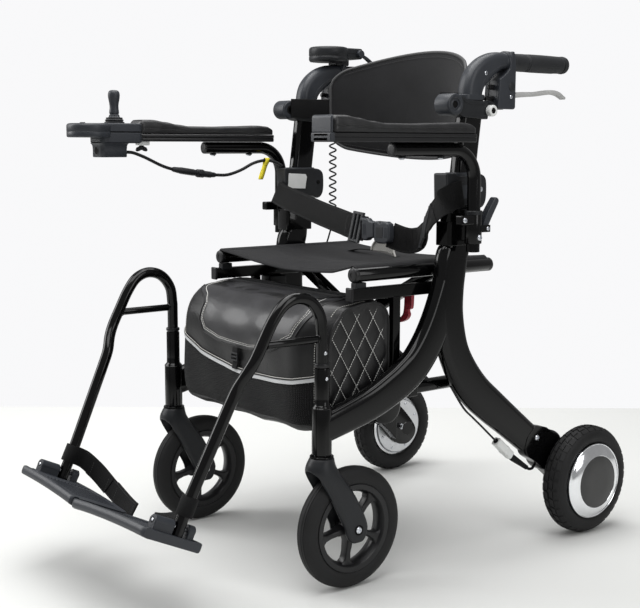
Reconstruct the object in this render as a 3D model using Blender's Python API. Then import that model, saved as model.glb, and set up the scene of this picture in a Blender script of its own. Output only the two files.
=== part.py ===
# Electric walker: a folding rollator with a seat, hub-motor wheels, a joystick and swing-away footrests.
# Metres, +Z up. The footrests point to -Y, the push grips to +Y, and the user's left is +X.
# The origin is on the floor, in the middle of the walker.
import math

import bmesh
import bpy
from mathutils import Matrix, Vector

for old in list(bpy.data.objects):
    bpy.data.objects.remove(old)

# Clearances
GAP = 0.0003
RUNNING = 0.0006
SLIDE = 0.0005

# Wheels
WHEEL_R = 0.100
REAR_X = 0.272
REAR_Y = 0.400
REAR_WIDTH = 0.045
HUB_R = 0.0695
HUB_DISC_R = 0.0485
HUB_BULGE = 0.010
SHAFT_R = 0.0065
CASTER_X = 0.2265
CASTER_Y = -0.183
CASTER_TRAIL = 0.056
CASTER_WIDTH = 0.032
AXLE_R = 0.005
SPOKES = 5
TYRE_SIDES = 24
TREAD_R = WHEEL_R / math.cos(math.pi / TYRE_SIDES)

# Side frame
FRAME_X = 0.2275
LEG_THICK = 0.030
HEAD_R = 0.016
HEAD_LOW = 0.2285
HEAD_HIGH = 0.309
RECEIVER_R = 0.012
RECEIVER_HIGH = 0.368
STEM_R = 0.008
SLEEVE_LOW = 0.547
SLEEVE_HIGH = 0.587
OUTER_TUBE_HIGH = 0.612

# Handle post, which slides in the side frame
POST_DEPTH = 0.046
POST_THICK = 0.024
POST_ROUND = 0.008
POST_FOOT_Z = 0.470
POST_TOP_Z = 0.792
POST_REF = Vector((FRAME_X, 0.0985, 0.547))
POST_LEAN = Vector((0.0, 0.033, 0.253)).normalized()
HANDLE_DROP = 0.05

# Handle
GRIP_R = 0.0155
GRIP_Z = 0.8545
GRIP_START = 0.2195
GRIP_END = 0.361

# Seat and cross brace
PIVOT_X = 0.1965
PIVOT_Z = 0.305
SEAT_X = PIVOT_X
SEAT_Z = 0.505
SEAT_R = 0.01175
SEAT_FRONT = -0.0995
SEAT_BACK = 0.214
ARM_THICK = 0.016
ARM_TALL = 0.022
ARM_A_Y = 0.066
ARM_B_Y = 0.096
SLING_THICK = 0.004
SLING_HALF = SEAT_X - 0.004
RAIL_HIGH = SEAT_Z - 0.021
RAIL_LOW = SEAT_Z - 0.041

# Armrest
ARM_X = 0.272
ARM_TUBE_R = 0.01125
ARM_TUBE_Y = 0.0975
ARM_TUBE_Z = 0.7065
ARM_TUBE_FRONT = -0.084
ARM_TUBE_FOOT = 0.538
ARM_BEND_R = 0.050
BASE_FRONT = -0.229
BASE_BACK = 0.074
BASE_WIDTH = 0.049
BASE_LOW = ARM_TUBE_Z + ARM_TUBE_R + GAP
BASE_HIGH = 0.7315
CAP_DEPTH = 0.006
PAD_X = 0.2805
SOCKET_R = 0.0142
CLAMP_PIVOT = (ARM_X, 0.1175, 0.577)
CLAMP_PIN_R = 0.002

# Footrest
HANGER_R = 0.0095
PLATE_TILT = math.radians(25.5)


# Small tools for building closed bodies

def material(name, color, roughness, metallic=0.0):
    made = bpy.data.materials.new(name)
    made.use_nodes = True
    shader = made.node_tree.nodes["Principled BSDF"]
    shader.inputs["Base Color"].default_value = (*color, 1.0)
    shader.inputs["Roughness"].default_value = roughness
    shader.inputs["Metallic"].default_value = metallic
    return made


def from_bmesh(bm):
    bmesh.ops.recalc_face_normals(bm, faces=bm.faces)
    mesh = bpy.data.meshes.new("body")
    bm.to_mesh(mesh)
    bm.free()
    made = bpy.data.objects.new("body", mesh)
    bpy.context.collection.objects.link(made)
    return made


def loft(rings, loop=False):
    # Skins a row of rings that have the same number of points
    bm = bmesh.new()
    rows = [[bm.verts.new(point) for point in ring] for ring in rings]
    count = len(rows[0])
    for index in range(len(rows) if loop else len(rows) - 1):
        near = rows[index]
        far = rows[(index + 1) % len(rows)]
        for step in range(count):
            after = (step + 1) % count
            bm.faces.new((near[step], near[after], far[after], far[step]))
    if not loop:
        bm.faces.new(rows[0][::-1])
        bm.faces.new(rows[-1])
    return from_bmesh(bm)


def circle(radius, sides):
    turn = 2 * math.pi / sides
    return [(radius * math.cos(turn * (k + 0.5)), radius * math.sin(turn * (k + 0.5))) for k in range(sides)]


def rounded_rectangle(width, height, radius, steps=2):
    # Corner arcs of a few steps each, width along the first axis
    points = []
    for corner, (sx, sy) in enumerate(((1, 1), (-1, 1), (-1, -1), (1, -1))):
        middle_x = sx * (width / 2 - radius)
        middle_y = sy * (height / 2 - radius)
        for step in range(steps + 1):
            angle = math.pi / 2 * (corner + step / steps)
            points.append((middle_x + radius * math.cos(angle), middle_y + radius * math.sin(angle)))
    return points


def basis(axis):
    axis = Vector(axis).normalized()
    helper = Vector((0, 0, 1)) if abs(axis.z) < 0.9 else Vector((1, 0, 0))
    first = helper.cross(axis).normalized()
    return axis, first, axis.cross(first)


def turned(profile, origin, axis, sides, loop=False):
    # Turns (radius, height) points about an axis through the origin given
    axis, first, second = basis(axis)
    origin = Vector(origin)
    rings = []
    for radius, height in profile:
        rings.append([origin + axis * height + first * a + second * b for a, b in circle(radius, sides)])
    return loft(rings, loop)


def rod(start, end, radius, sides=12):
    start = Vector(start)
    end = Vector(end)
    return turned([(radius, 0), (radius, (end - start).length)], start, end - start, sides)


def smooth(points, per_span):
    # A smooth curve through the points given, with the same number of steps in each span
    points = [Vector(point) for point in points]
    padded = [2 * points[0] - points[1]] + points + [2 * points[-1] - points[-2]]
    result = []
    for index in range(1, len(padded) - 2):
        before, start, end, after = padded[index - 1:index + 3]
        for step in range(per_span):
            t = step / per_span
            result.append(0.5 * (2 * start + (end - before) * t + (2 * before - 5 * start + 4 * end - after) * t * t
                                 + (3 * start - before - 3 * end + after) * t ** 3))
    result.append(points[-1])
    return result


def swept(path, sections, across):
    # Sweeps flat sections along a path; their first axis is the direction across
    across = Vector(across).normalized()
    rings = []
    for index, point in enumerate(path):
        ahead = path[min(index + 1, len(path) - 1)]
        behind = path[max(index - 1, 0)]
        tangent = (ahead - behind).normalized()
        up = tangent.cross(across).normalized()
        side = up.cross(tangent).normalized()
        section = sections[index] if isinstance(sections[0], list) else sections
        rings.append([point + side * a + up * b for a, b in section])
    return loft(rings)


def tube(path, radius, sides=12, across=(1, 0, 0)):
    return swept([Vector(point) for point in path], circle(radius, sides), across)


def arc(center, radius, start, end, steps, x=0.0):
    # Points of an arc in a plane of constant x, angles in degrees from +Y towards +Z
    points = []
    for step in range(steps + 1):
        angle = math.radians(start + (end - start) * step / steps)
        points.append(Vector((x, center[0] + radius * math.cos(angle), center[1] + radius * math.sin(angle))))
    return points


def prism(outline, axis, low, high):
    # Extrudes an outline of the two other axes, in their X, Y, Z order
    rings = []
    for height in (low, high):
        ring = []
        for a, b in outline:
            ring.append({"X": (height, a, b), "Y": (a, height, b), "Z": (a, b, height)}[axis])
        rings.append(ring)
    return loft(rings)


def block(low, high, bevel=0.0, segments=1):
    bm = bmesh.new()
    bmesh.ops.create_cube(bm, size=1.0)
    low = Vector(low)
    high = Vector(high)
    for vert in bm.verts:
        vert.co = Vector([low[k] if vert.co[k] < 0 else high[k] for k in range(3)])
    if bevel:
        bmesh.ops.bevel(bm, geom=bm.edges[:], offset=bevel, segments=segments, affect="EDGES", profile=0.5)
    return from_bmesh(bm)


def combine(base, operation, tools):
    for tool in tools:
        modifier = base.modifiers.new(operation.lower(), "BOOLEAN")
        modifier.operation = operation
        modifier.object = tool
    graph = bpy.context.evaluated_depsgraph_get()
    baked = bpy.data.meshes.new_from_object(base.evaluated_get(graph))
    base.modifiers.clear()
    base.data = baked
    for tool in tools:
        bpy.data.objects.remove(tool)
    return base


def fuse(base, *tools):
    return combine(base, "UNION", tools)


def cut(base, *tools):
    return combine(base, "DIFFERENCE", tools)


def mirrored(source):
    # The same piece for the other side of the walker
    bm = bmesh.new()
    bm.from_mesh(source.data)
    bmesh.ops.transform(bm, matrix=Matrix.Scale(-1, 4, (1, 0, 0)), verts=bm.verts)
    bmesh.ops.reverse_faces(bm, faces=bm.faces)
    return from_bmesh(bm)


def publish(body, name, finish, pivot=(0, 0, 0)):
    # Names the piece, gives it its own material and puts its origin on its joint
    body.name = name
    body.data.name = name
    body.data.materials.clear()
    body.data.materials.append(material(name, *finish))
    body.data.transform(Matrix.Translation(-Vector(pivot)))
    body.location = pivot
    body.data.shade_smooth()
    body.data.set_sharp_from_angle(angle=math.radians(35))
    return body


def publish_pair(body, name, finish, pivot=(0, 0, 0)):
    other = mirrored(body)
    publish(body, "left_" + name, finish, pivot)
    publish(other, "right_" + name, finish, (-pivot[0], pivot[1], pivot[2]))


# Finishes: colour, roughness, metallic
GLOSS_PAINT = ((0.012, 0.012, 0.013), 0.22, 0.4)
SATIN_PLASTIC = ((0.030, 0.031, 0.034), 0.48, 0.0)
GREY_PLASTIC = ((0.055, 0.060, 0.066), 0.45, 0.0)
RUBBER = ((0.020, 0.020, 0.021), 0.70, 0.0)
POLISHED = ((0.82, 0.82, 0.84), 0.18, 1.0)
LEVER_GREY = ((0.66, 0.66, 0.65), 0.40, 0.0)
FABRIC = ((0.018, 0.018, 0.019), 0.85, 0.0)
LEATHER = ((0.020, 0.020, 0.022), 0.42, 0.0)
RED = ((0.45, 0.02, 0.05), 0.45, 0.0)


def on_post(height):
    # The point of the post's middle line at a height
    return POST_REF + POST_LEAN * ((height - POST_REF.z) / POST_LEAN.z)


def post_hole(low, high, clearance):
    section = rounded_rectangle(POST_THICK + 2 * clearance, POST_DEPTH + 2 * clearance, POST_ROUND + clearance, 2)
    return swept([on_post(low), on_post(high)], section, (1, 0, 0))


# Side frame: two curved oval legs, head tube, footrest receiver, brace rails and the armrest socket

def leg(points, depths, thick):
    path = smooth([(FRAME_X, y, z) for y, z in points], 1)
    sections = [rounded_rectangle(thick, depth, thick * 0.44, 2) for depth in depths]
    return swept(path, sections, (1, 0, 0))


def side_frame():
    rear = leg(
        [(0.0985, OUTER_TUBE_HIGH), (0.0985, SLEEVE_LOW), (0.092, 0.526), (0.088, 0.500), (0.085, 0.470),
         (0.085, 0.432), (0.092, 0.390), (0.103, 0.358), (0.123, 0.324), (0.153, 0.289), (0.191, 0.258),
         (0.235, 0.225), (0.285, 0.187)],
        [POST_DEPTH + 0.010, POST_DEPTH + 0.010, POST_DEPTH + 0.017, POST_DEPTH + 0.016, POST_DEPTH + 0.015,
         POST_DEPTH + 0.014, POST_DEPTH + 0.014, 0.060, 0.062, 0.063, 0.062, 0.058, 0.055],
        LEG_THICK)
    front = leg(
        [(0.087, 0.505), (0.076, 0.464), (0.060, 0.424), (0.040, 0.387), (0.015, 0.355), (-0.010, 0.335),
         (-0.040, 0.318), (-0.093, 0.295), (CASTER_Y, 0.270)],
        [0.052, 0.058, 0.059, 0.060, 0.060, 0.060, 0.058, 0.054, 0.048],
        LEG_THICK - 0.001)
    head = turned(
        [(HEAD_R, HEAD_LOW), (HEAD_R, HEAD_HIGH - 0.004), (RECEIVER_R + 0.001, HEAD_HIGH),
         (RECEIVER_R, HEAD_HIGH + 0.001), (RECEIVER_R, RECEIVER_HIGH)],
        (CASTER_X, CASTER_Y, 0), (0, 0, 1), 16)
    sleeve_front = 0.100 - POST_DEPTH / 2 - 0.008
    sleeve_back = 0.100 + POST_DEPTH / 2 + 0.008
    sleeve = block((FRAME_X - 0.018, sleeve_front, SLEEVE_LOW), (FRAME_X + 0.018, sleeve_back, SLEEVE_HIGH))
    # The rail catches the seat tube, and its upright and foot bracket carry the brace's lower pivot
    rail = block((PIVOT_X - 0.003, -0.109, RAIL_LOW), (PIVOT_X + 0.011, 0.085, RAIL_HIGH))
    saddle = block((PIVOT_X - 0.008, -0.096, RAIL_HIGH - 0.004), (PIVOT_X + 0.008, -0.074, SEAT_Z - SEAT_R - GAP))
    rail_bracket = block((PIVOT_X + 0.009, 0.060, RAIL_LOW + 0.002), (FRAME_X - 0.005, 0.083, RAIL_HIGH - 0.002))
    upright = block((PIVOT_X, -0.020, 0.325), (PIVOT_X + 0.012, -0.004, RAIL_LOW + 0.002))
    front_foot = block((PIVOT_X - 0.011, 0.008, 0.294), (FRAME_X - 0.008, 0.0285, 0.350))
    upright_foot = block((PIVOT_X + 0.002, -0.019, 0.326), (FRAME_X - 0.006, -0.005, 0.344))
    rear_foot = block((PIVOT_X - 0.011, 0.1285, 0.294), (FRAME_X - 0.006, 0.146, 0.316))
    pivot_front = rod((PIVOT_X, 0.020, PIVOT_Z), (PIVOT_X, 0.040, PIVOT_Z), 0.006)
    pivot_rear = rod((PIVOT_X, 0.132, PIVOT_Z), (PIVOT_X, 0.112, PIVOT_Z), 0.006)
    # Armrest socket on the outer side, a sleeve on a web, with the tube's bore left open at both ends
    socket = rod((ARM_X, ARM_TUBE_Y, 0.552), (ARM_X, ARM_TUBE_Y, 0.606), SOCKET_R, 16)
    web = block((FRAME_X + 0.012, ARM_TUBE_Y - 0.012, 0.556), (ARM_X - 0.006, ARM_TUBE_Y + 0.010, 0.602))
    # Two ears and a pin behind the socket hold the clamp lever
    ears = [block((x, 0.1000, CLAMP_PIVOT[2] - 0.006), (x + 0.003, 0.1235, CLAMP_PIVOT[2] + 0.006))
            for x in (ARM_X - 0.0145, ARM_X + 0.0115)]
    clamp_pin = rod((ARM_X - 0.013, *CLAMP_PIVOT[1:]), (ARM_X + 0.013, *CLAMP_PIVOT[1:]), CLAMP_PIN_R, 8)
    frame = fuse(rear, front, head, sleeve, rail, saddle, rail_bracket, upright, upright_foot, front_foot,
                 rear_foot, pivot_front, pivot_rear, web, socket, *ears, clamp_pin)
    post_bore = post_hole(POST_FOOT_Z - HANDLE_DROP - 0.012, OUTER_TUBE_HIGH + 0.02, SLIDE)
    stem_bore = rod((CASTER_X, CASTER_Y, HEAD_LOW - 0.01), (CASTER_X, CASTER_Y, 0.262), STEM_R + RUNNING)
    hanger_bore = rod((CASTER_X, CASTER_Y, 0.302), (CASTER_X, CASTER_Y, RECEIVER_HIGH + 0.01),
                      HANGER_R + RUNNING, 16)
    arm_bore = rod((ARM_X, ARM_TUBE_Y, 0.545), (ARM_X, ARM_TUBE_Y, 0.615), ARM_TUBE_R + SLIDE, 16)
    return cut(frame, post_bore, stem_bore, hanger_bore, arm_bore)


publish_pair(side_frame(), "side_frame", GLOSS_PAINT)


# Caster: a fork with two blades, a stem in the head tube and a spoked wheel

CASTER_AXLE = (CASTER_X, CASTER_Y + CASTER_TRAIL, WHEEL_R)


def caster_fork():
    y = CASTER_AXLE[1]
    end = [(y + 0.016 * math.cos(math.radians(a)), WHEEL_R + 0.016 * math.sin(math.radians(a)))
           for a in (20, -20, -60, -100, -140)]
    outline = [(-0.204, 0.225), (-0.162, 0.225), (-0.148, 0.205), (-0.128, 0.160)] + end + [
        (-0.150, 0.112), (-0.168, 0.140), (-0.190, 0.158), (-0.207, 0.172), (-0.2105, 0.195), (-0.2095, 0.214)]
    half = CASTER_WIDTH / 2 + 0.0025
    blade = 0.0075
    body = prism(outline, "X", CASTER_X - half - blade, CASTER_X + half + blade)
    room = rod((CASTER_X - half, y, WHEEL_R), (CASTER_X + half, y, WHEEL_R), WHEEL_R + 0.004, 28)
    cut(body, room)
    stem = turned(
        [(0.0175, 0.222), (0.0185, 0.2255), (0.0165, HEAD_LOW - 0.0005), (STEM_R, HEAD_LOW - 0.0005), (STEM_R, 0.255)],
        (CASTER_X, CASTER_Y, 0), (0, 0, 1), 20)
    bolt = rod((CASTER_X - half - blade - 0.002, y, WHEEL_R), (CASTER_X + half + blade + 0.002, y, WHEEL_R),
               AXLE_R, 12)
    return fuse(body, stem, bolt)


def caster_wheel():
    half = CASTER_WIDTH / 2
    tyre = turned(
        [(TREAD_R, -0.009), (TREAD_R, 0.009), (WHEEL_R - 0.010, half), (0.066, half - 0.003),
         (0.066, -half + 0.003), (WHEEL_R - 0.010, -half)],
        CASTER_AXLE, (1, 0, 0), TYRE_SIDES, loop=True)
    disc = rod((CASTER_X - 0.007, *CASTER_AXLE[1:]), (CASTER_X + 0.007, *CASTER_AXLE[1:]), 0.068, TYRE_SIDES)
    windows = []
    for spoke in range(SPOKES):
        turn = 2 * math.pi * spoke / SPOKES
        outline = []
        for radius, side in ((0.024, -0.30), (0.024, 0.30), (0.061, 0.45), (0.061, -0.45)):
            angle = turn + side
            outline.append((CASTER_AXLE[1] + radius * math.cos(angle), WHEEL_R + radius * math.sin(angle)))
        windows.append(prism(outline, "X", CASTER_X - 0.02, CASTER_X + 0.02))
    cut(disc, *windows)
    hub = rod((CASTER_X - half, *CASTER_AXLE[1:]), (CASTER_X + half, *CASTER_AXLE[1:]), 0.016, 16)
    wheel = fuse(disc, tyre, hub)
    return cut(wheel, rod((CASTER_X - 0.03, *CASTER_AXLE[1:]), (CASTER_X + 0.03, *CASTER_AXLE[1:]),
                          AXLE_R + RUNNING, 12))


publish_pair(caster_fork(), "caster_fork", SATIN_PLASTIC, (CASTER_X, CASTER_Y, HEAD_LOW))
publish_pair(caster_wheel(), "caster_wheel", RUBBER, CASTER_AXLE)


# Rear wheel: a hub motor with its tyre, held by the bracket at the end of the rear leg

REAR_AXLE = (REAR_X, REAR_Y, WHEEL_R)


def motor_hub():
    half = REAR_WIDTH / 2
    hub = turned(
        [(SHAFT_R, -half - 0.013), (SHAFT_R, -half - 0.002), (0.058, -half - 0.002), (0.0665, -half + 0.008),
         (0.0665, half - 0.003), (HUB_R, half + 0.001), (0.060, half + 0.0065), (HUB_DISC_R, half + HUB_BULGE)],
        REAR_AXLE, (1, 0, 0), TYRE_SIDES)
    return hub


def rear_tyre():
    half = REAR_WIDTH / 2
    inner = 0.0665 + GAP
    return turned(
        [(TREAD_R, -0.009), (TREAD_R, 0.009), (WHEEL_R - 0.006, 0.019), (0.084, half), (inner, half - 0.006),
         (inner, -half + 0.009), (0.084, -half), (WHEEL_R - 0.006, -0.019)],
        REAR_AXLE, (1, 0, 0), TYRE_SIDES, loop=True)


def motor_bracket():
    inner = FRAME_X - 0.002
    outer = REAR_X - REAR_WIDTH / 2 - 0.006
    plate = prism(
        [(0.296, 0.209), (0.275, 0.158), (0.318, 0.128), (0.372, 0.083), (0.388, 0.066), (0.420, 0.058),
         (0.440, 0.070), (0.446, 0.090), (0.405, 0.140), (0.350, 0.182)],
        "X", inner - 0.006, outer)
    drum = turned([(0.034, -0.004), (0.038, 0.0), (0.038, 0.026), (0.034, 0.030)],
                  (FRAME_X - 0.014, 0.337, 0.156), (1, 0, 0), 20)
    body = fuse(plate, drum)
    leg_room = leg([(0.235, 0.225), (0.2855, 0.1866)], [0.0566, 0.0566], LEG_THICK + 0.0012)
    bore = rod((inner - 0.02, REAR_Y, WHEEL_R), (outer + 0.02, REAR_Y, WHEEL_R), SHAFT_R + RUNNING, 28)
    return cut(body, leg_room, bore)


publish_pair(motor_hub(), "motor_hub", POLISHED, REAR_AXLE)
publish_pair(rear_tyre(), "rear_tyre", RUBBER, REAR_AXLE)
publish_pair(motor_bracket(), "motor_bracket", GLOSS_PAINT)


# Handle: a post that slides in the frame, a collar round it, the curved elbow, grip and brake

def handle_post():
    section = rounded_rectangle(POST_THICK, POST_DEPTH, POST_ROUND, 2)
    return swept([on_post(POST_FOOT_Z), on_post(POST_TOP_Z)], section, (1, 0, 0))


def height_collar():
    outline = [(0.066, OUTER_TUBE_HIGH + GAP), (0.133, OUTER_TUBE_HIGH + GAP), (0.144, 0.608), (0.1535, 0.613),
               (0.1585, 0.626), (0.1585, 0.650), (0.1550, 0.660), (0.1470, 0.665), (0.133, 0.667), (0.064, 0.6675)]
    body = prism(outline, "X", FRAME_X - 0.0185, FRAME_X + 0.0145)
    return cut(body, post_hole(0.56, 0.70, SLIDE))


def handle_elbow():
    spine = [(0.1275, 0.794), (0.1295, 0.8075), (0.1355, 0.821), (0.1455, 0.832), (0.1595, 0.8425),
             (0.177, 0.851), (0.190, 0.8545), (0.2025, 0.8545)]
    depths = [0.040, 0.0415, 0.043, 0.043, 0.041, 0.036, 0.031, 0.0285]
    path = smooth([(FRAME_X, y, z) for y, z in spine], 1)
    sections = [rounded_rectangle(0.031, depth, 0.010, 2) for depth in depths]
    return swept(path, sections, (1, 0, 0))


def hand_grip():
    length = GRIP_END - GRIP_START
    return turned(
        [(GRIP_R - 0.001, 0), (GRIP_R, 0.002), (GRIP_R, length - 0.006), (GRIP_R - 0.002, length - 0.001),
         (GRIP_R - 0.005, length)],
        (FRAME_X, GRIP_START, GRIP_Z), (0, 1, 0), 20)


BRAKE_PIVOT = (0.231, 0.207, 0.797)


def brake_housing():
    outline = [(0.176, 0.776), (0.180, 0.774), (0.216, 0.774), (0.219, 0.777), (0.219, 0.8715), (0.2035, 0.8715),
               (0.2035, 0.8375), (0.190, 0.832), (0.176, 0.821)]
    body = prism(outline, "X", FRAME_X - 0.0165, 0.247)
    adjusters = [rod((0.231, 0.168, 0.811), (0.231, 0.180, 0.811), 0.0045, 8),
                 rod((0.231, 0.160, 0.792), (0.231, 0.180, 0.792), 0.0045, 8)]
    button = rod((0.244, 0.2085, 0.812), (0.2485, 0.2085, 0.812), 0.008, 12)
    fuse(body, button, *adjusters)
    slot = block((0.2225, 0.195, 0.783), (0.2395, 0.235, 0.813))
    pin = rod((0.2215, BRAKE_PIVOT[1], BRAKE_PIVOT[2]), (0.2405, BRAKE_PIVOT[1], BRAKE_PIVOT[2]), 0.0025, 8)
    return fuse(cut(body, slot), pin)


def brake_lever():
    points = [(0.2015, 0.797), (0.222, 0.7985), (0.250, 0.8005), (0.280, 0.802), (0.316, 0.806), (0.338, 0.8045),
              (0.355, 0.797)]
    heights = [0.010, 0.010, 0.009, 0.008, 0.008, 0.007, 0.005]
    widths = [0.012, 0.012, 0.011, 0.012, 0.014, 0.015, 0.013]
    path = smooth([(0.231, y, z) for y, z in points], 2)
    sections = []
    for index in range(len(path)):
        share = index / 2
        near = int(min(share, len(heights) - 2))
        blend = share - near
        height = heights[near] * (1 - blend) + heights[near + 1] * blend
        width = widths[near] * (1 - blend) + widths[near + 1] * blend
        sections.append(rounded_rectangle(width, height, height * 0.4, 1))
    body = swept(path, sections, (1, 0, 0))
    return cut(body, rod((0.21, BRAKE_PIVOT[1], BRAKE_PIVOT[2]), (0.25, BRAKE_PIVOT[1], BRAKE_PIVOT[2]),
                         0.0025 + SLIDE, 8))


BACK_PIVOT = (0.223, 0.078, 0.780)


def backrest_bracket():
    disc = turned([(0.016, -0.012), (0.018, -0.010), (0.018, 0.0215), (0.016, 0.0235)], BACK_PIVOT, (1, 0, 0), 24)
    neck = prism([(0.084, 0.7940), (0.084, 0.766), (0.096, 0.761), (0.156, 0.7565), (0.156, 0.7865), (0.110, 0.7885),
                  (0.100, 0.7925)], "X", 0.2115, 0.2445)
    knob = turned([(0.0085, 0), (0.0095, 0.003), (0.0095, 0.010), (0.007, 0.012)], (0.240, 0.158, 0.771),
                  (1, 0, 0), 12)
    body = fuse(neck, disc, knob)
    return cut(body, post_hole(0.72, 0.82, GAP))


publish_pair(handle_post(), "handle_post", GLOSS_PAINT, tuple(on_post(POST_FOOT_Z)))
publish_pair(height_collar(), "height_collar", SATIN_PLASTIC)
publish_pair(handle_elbow(), "handle_elbow", GREY_PLASTIC)
publish_pair(hand_grip(), "hand_grip", RUBBER)
publish_pair(brake_housing(), "brake_housing", GREY_PLASTIC)
publish_pair(brake_lever(), "brake_lever", LEVER_GREY, BRAKE_PIVOT)
publish_pair(backrest_bracket(), "backrest_bracket", SATIN_PLASTIC, BACK_PIVOT)


# Backrest: a bowed padded panel with a strap at each end that runs to the brackets' discs

BACK_HALF = 0.187


def backrest_middle(x):
    return 0.240 - 0.082 * (x / BACK_HALF) ** 2


def backrest_panel():
    columns = 14
    rows = 7
    bm = bmesh.new()
    faces = {}
    for side in (-1, 1):
        for i in range(columns + 1):
            x = BACK_HALF * (2 * i / columns - 1)
            top = 0.884 - 0.0364 * (x / BACK_HALF) ** 2
            low = 0.688 + 0.024 * (x / BACK_HALF) ** 2
            for j in range(rows + 1):
                share = j / rows
                crown = (1 - abs(2 * share - 1) ** 3) * (1 - abs(x / BACK_HALF) ** 4)
                half = 0.0025 + 0.0055 * crown
                faces[side, i, j] = bm.verts.new((x, backrest_middle(x) + side * half, low + (top - low) * share))
    for i in range(columns):
        for j in range(rows):
            for side in (-1, 1):
                bm.faces.new([faces[side, a, b] for a, b in ((i, j), (i + 1, j), (i + 1, j + 1), (i, j + 1))])
    edge = [(i, 0) for i in range(columns)] + [(columns, j) for j in range(rows)]
    edge += [(i, rows) for i in range(columns, 0, -1)] + [(0, j) for j in range(rows, 0, -1)]
    for here, after in zip(edge, edge[1:] + edge[:1]):
        bm.faces.new((faces[-1, *here], faces[-1, *after], faces[1, *after], faces[1, *here]))
    panel = from_bmesh(bm)
    straps = []
    for side in (-1, 1):
        outline = [(0.190, 0.1625), (0.2090, 0.128), (0.2105, 0.108), (0.2075, 0.108), (0.2055, 0.127), (0.180, 0.1605)]
        straps.append(prism([(side * x, y) for x, y in outline], "Z", 0.764, 0.802))
    return fuse(panel, *straps)


publish(backrest_panel(), "backrest_panel", FABRIC, (0, BACK_PIVOT[1], BACK_PIVOT[2]))


# Control pod on the right handle, with its thumb throttle

THROTTLE_PIVOT = (-0.2030, 0.246, 0.893)


def control_pod():
    disc = turned([(0.037, 0.876), (0.039, 0.878), (0.039, 0.902), (0.036, 0.905)], (-FRAME_X, 0.1835, 0), (0, 0, 1), 24)
    box = block((-FRAME_X - 0.020, 0.205, 0.883), (-FRAME_X + 0.020, 0.256, 0.9045), 0.002)
    neck = block((-FRAME_X - 0.014, 0.192, 0.8718), (-FRAME_X + 0.014, 0.226, 0.886))
    pin = rod((-FRAME_X + 0.018, *THROTTLE_PIVOT[1:]), (-0.1995, *THROTTLE_PIVOT[1:]), 0.003, 10)
    return fuse(box, disc, neck, pin)


def thumb_throttle():
    boss = rod((-0.2070, *THROTTLE_PIVOT[1:]), (-0.1990, *THROTTLE_PIVOT[1:]), 0.0075, 14)
    path = smooth([(-0.2030, 0.248, 0.891), (-0.2030, 0.262, 0.884), (-0.2025, 0.276, 0.874),
                   (-0.2020, 0.284, 0.868)], 2)
    sections = [rounded_rectangle(0.008 + 0.0008 * k, 0.0055, 0.002, 1) for k in range(len(path))]
    paddle = swept(path, sections, (1, 0, 0))
    body = fuse(boss, paddle)
    return cut(body, rod((-0.21, *THROTTLE_PIVOT[1:]), (-0.19, *THROTTLE_PIVOT[1:]), 0.003 + SLIDE, 10))


publish(control_pod(), "control_pod", SATIN_PLASTIC)
publish(thumb_throttle(), "thumb_throttle", GREY_PLASTIC, THROTTLE_PIVOT)


# Armrests: a bent tube that slides in the socket, a base, a pad and the clamp lever

def armrest_tube():
    path = [Vector((ARM_X, ARM_TUBE_FRONT, ARM_TUBE_Z))]
    path += arc((ARM_TUBE_Y - ARM_BEND_R, ARM_TUBE_Z - ARM_BEND_R), ARM_BEND_R, 90, 0, 6, ARM_X)
    path += [Vector((ARM_X, ARM_TUBE_Y, ARM_TUBE_FOOT))]
    return tube(path, ARM_TUBE_R, 12)


def armrest_base(cap):
    body = block((PAD_X - BASE_WIDTH / 2, BASE_FRONT, BASE_LOW), (PAD_X + BASE_WIDTH / 2, BASE_BACK, BASE_HIGH), 0.002)
    if cap:
        nose = block((PAD_X - BASE_WIDTH / 2, BASE_FRONT, BASE_LOW + 0.003),
                     (PAD_X + BASE_WIDTH / 2, BASE_FRONT + CAP_DEPTH, 0.7585), 0.0025)
        body = fuse(body, nose)
    return body


# Heights of the pad's top from its front end to its back
PAD_TOPS = [(-0.2290, 0.7565), (-0.2200, 0.7582), (-0.1967, 0.7584), (-0.1712, 0.7548), (-0.1452, 0.7504),
            (-0.1188, 0.7474), (-0.0650, 0.7472), (-0.0124, 0.7486), (0.0373, 0.7502), (0.0560, 0.7490),
            (0.0680, 0.7450), (0.0740, 0.7400)]


def pad_height(y):
    for near, far in zip(PAD_TOPS, PAD_TOPS[1:]):
        if y <= far[0]:
            return near[1] + (far[1] - near[1]) * (y - near[0]) / (far[0] - near[0])
    return PAD_TOPS[-1][1]


def armrest_pad(front):
    rings = []
    stations = 12
    for k in range(stations + 1):
        share = k / stations
        y = front + (BASE_BACK - 0.002 - front) * share
        top = pad_height(y)
        end = min(share, 1 - share) * stations
        pull = 0.003 * max(0, 1 - end)
        half = BASE_WIDTH / 2 - 0.001 - pull
        low = BASE_HIGH + GAP
        tall = top - pull / 2 - low
        rings.append([(PAD_X + dx, y, low + rise * tall) for dx, rise in (
            (half - 0.001, 0), (half, 0.20), (half, 0.65), (half - 0.003, 0.92), (half - 0.009, 1),
            (-half + 0.009, 1), (-half + 0.003, 0.92), (-half, 0.65), (-half, 0.20), (-half + 0.001, 0))])
    return loft(rings)


def armrest_clamp_lever():
    width = 0.0105
    boss = rod((ARM_X - width, *CLAMP_PIVOT[1:]), (ARM_X + width, *CLAMP_PIVOT[1:]), 0.0048, 12)
    handle = prism([(0.1140, 0.580), (0.1215, 0.5735), (0.1330, 0.592), (0.1495, 0.6185), (0.1495, 0.6255),
                    (0.1430, 0.6275), (0.1260, 0.606)], "X", ARM_X - 0.007, ARM_X + 0.007)
    body = fuse(boss, handle)
    return cut(body, rod((ARM_X - 0.02, *CLAMP_PIVOT[1:]), (ARM_X + 0.02, *CLAMP_PIVOT[1:]), CLAMP_PIN_R + SLIDE, 8))


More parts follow.
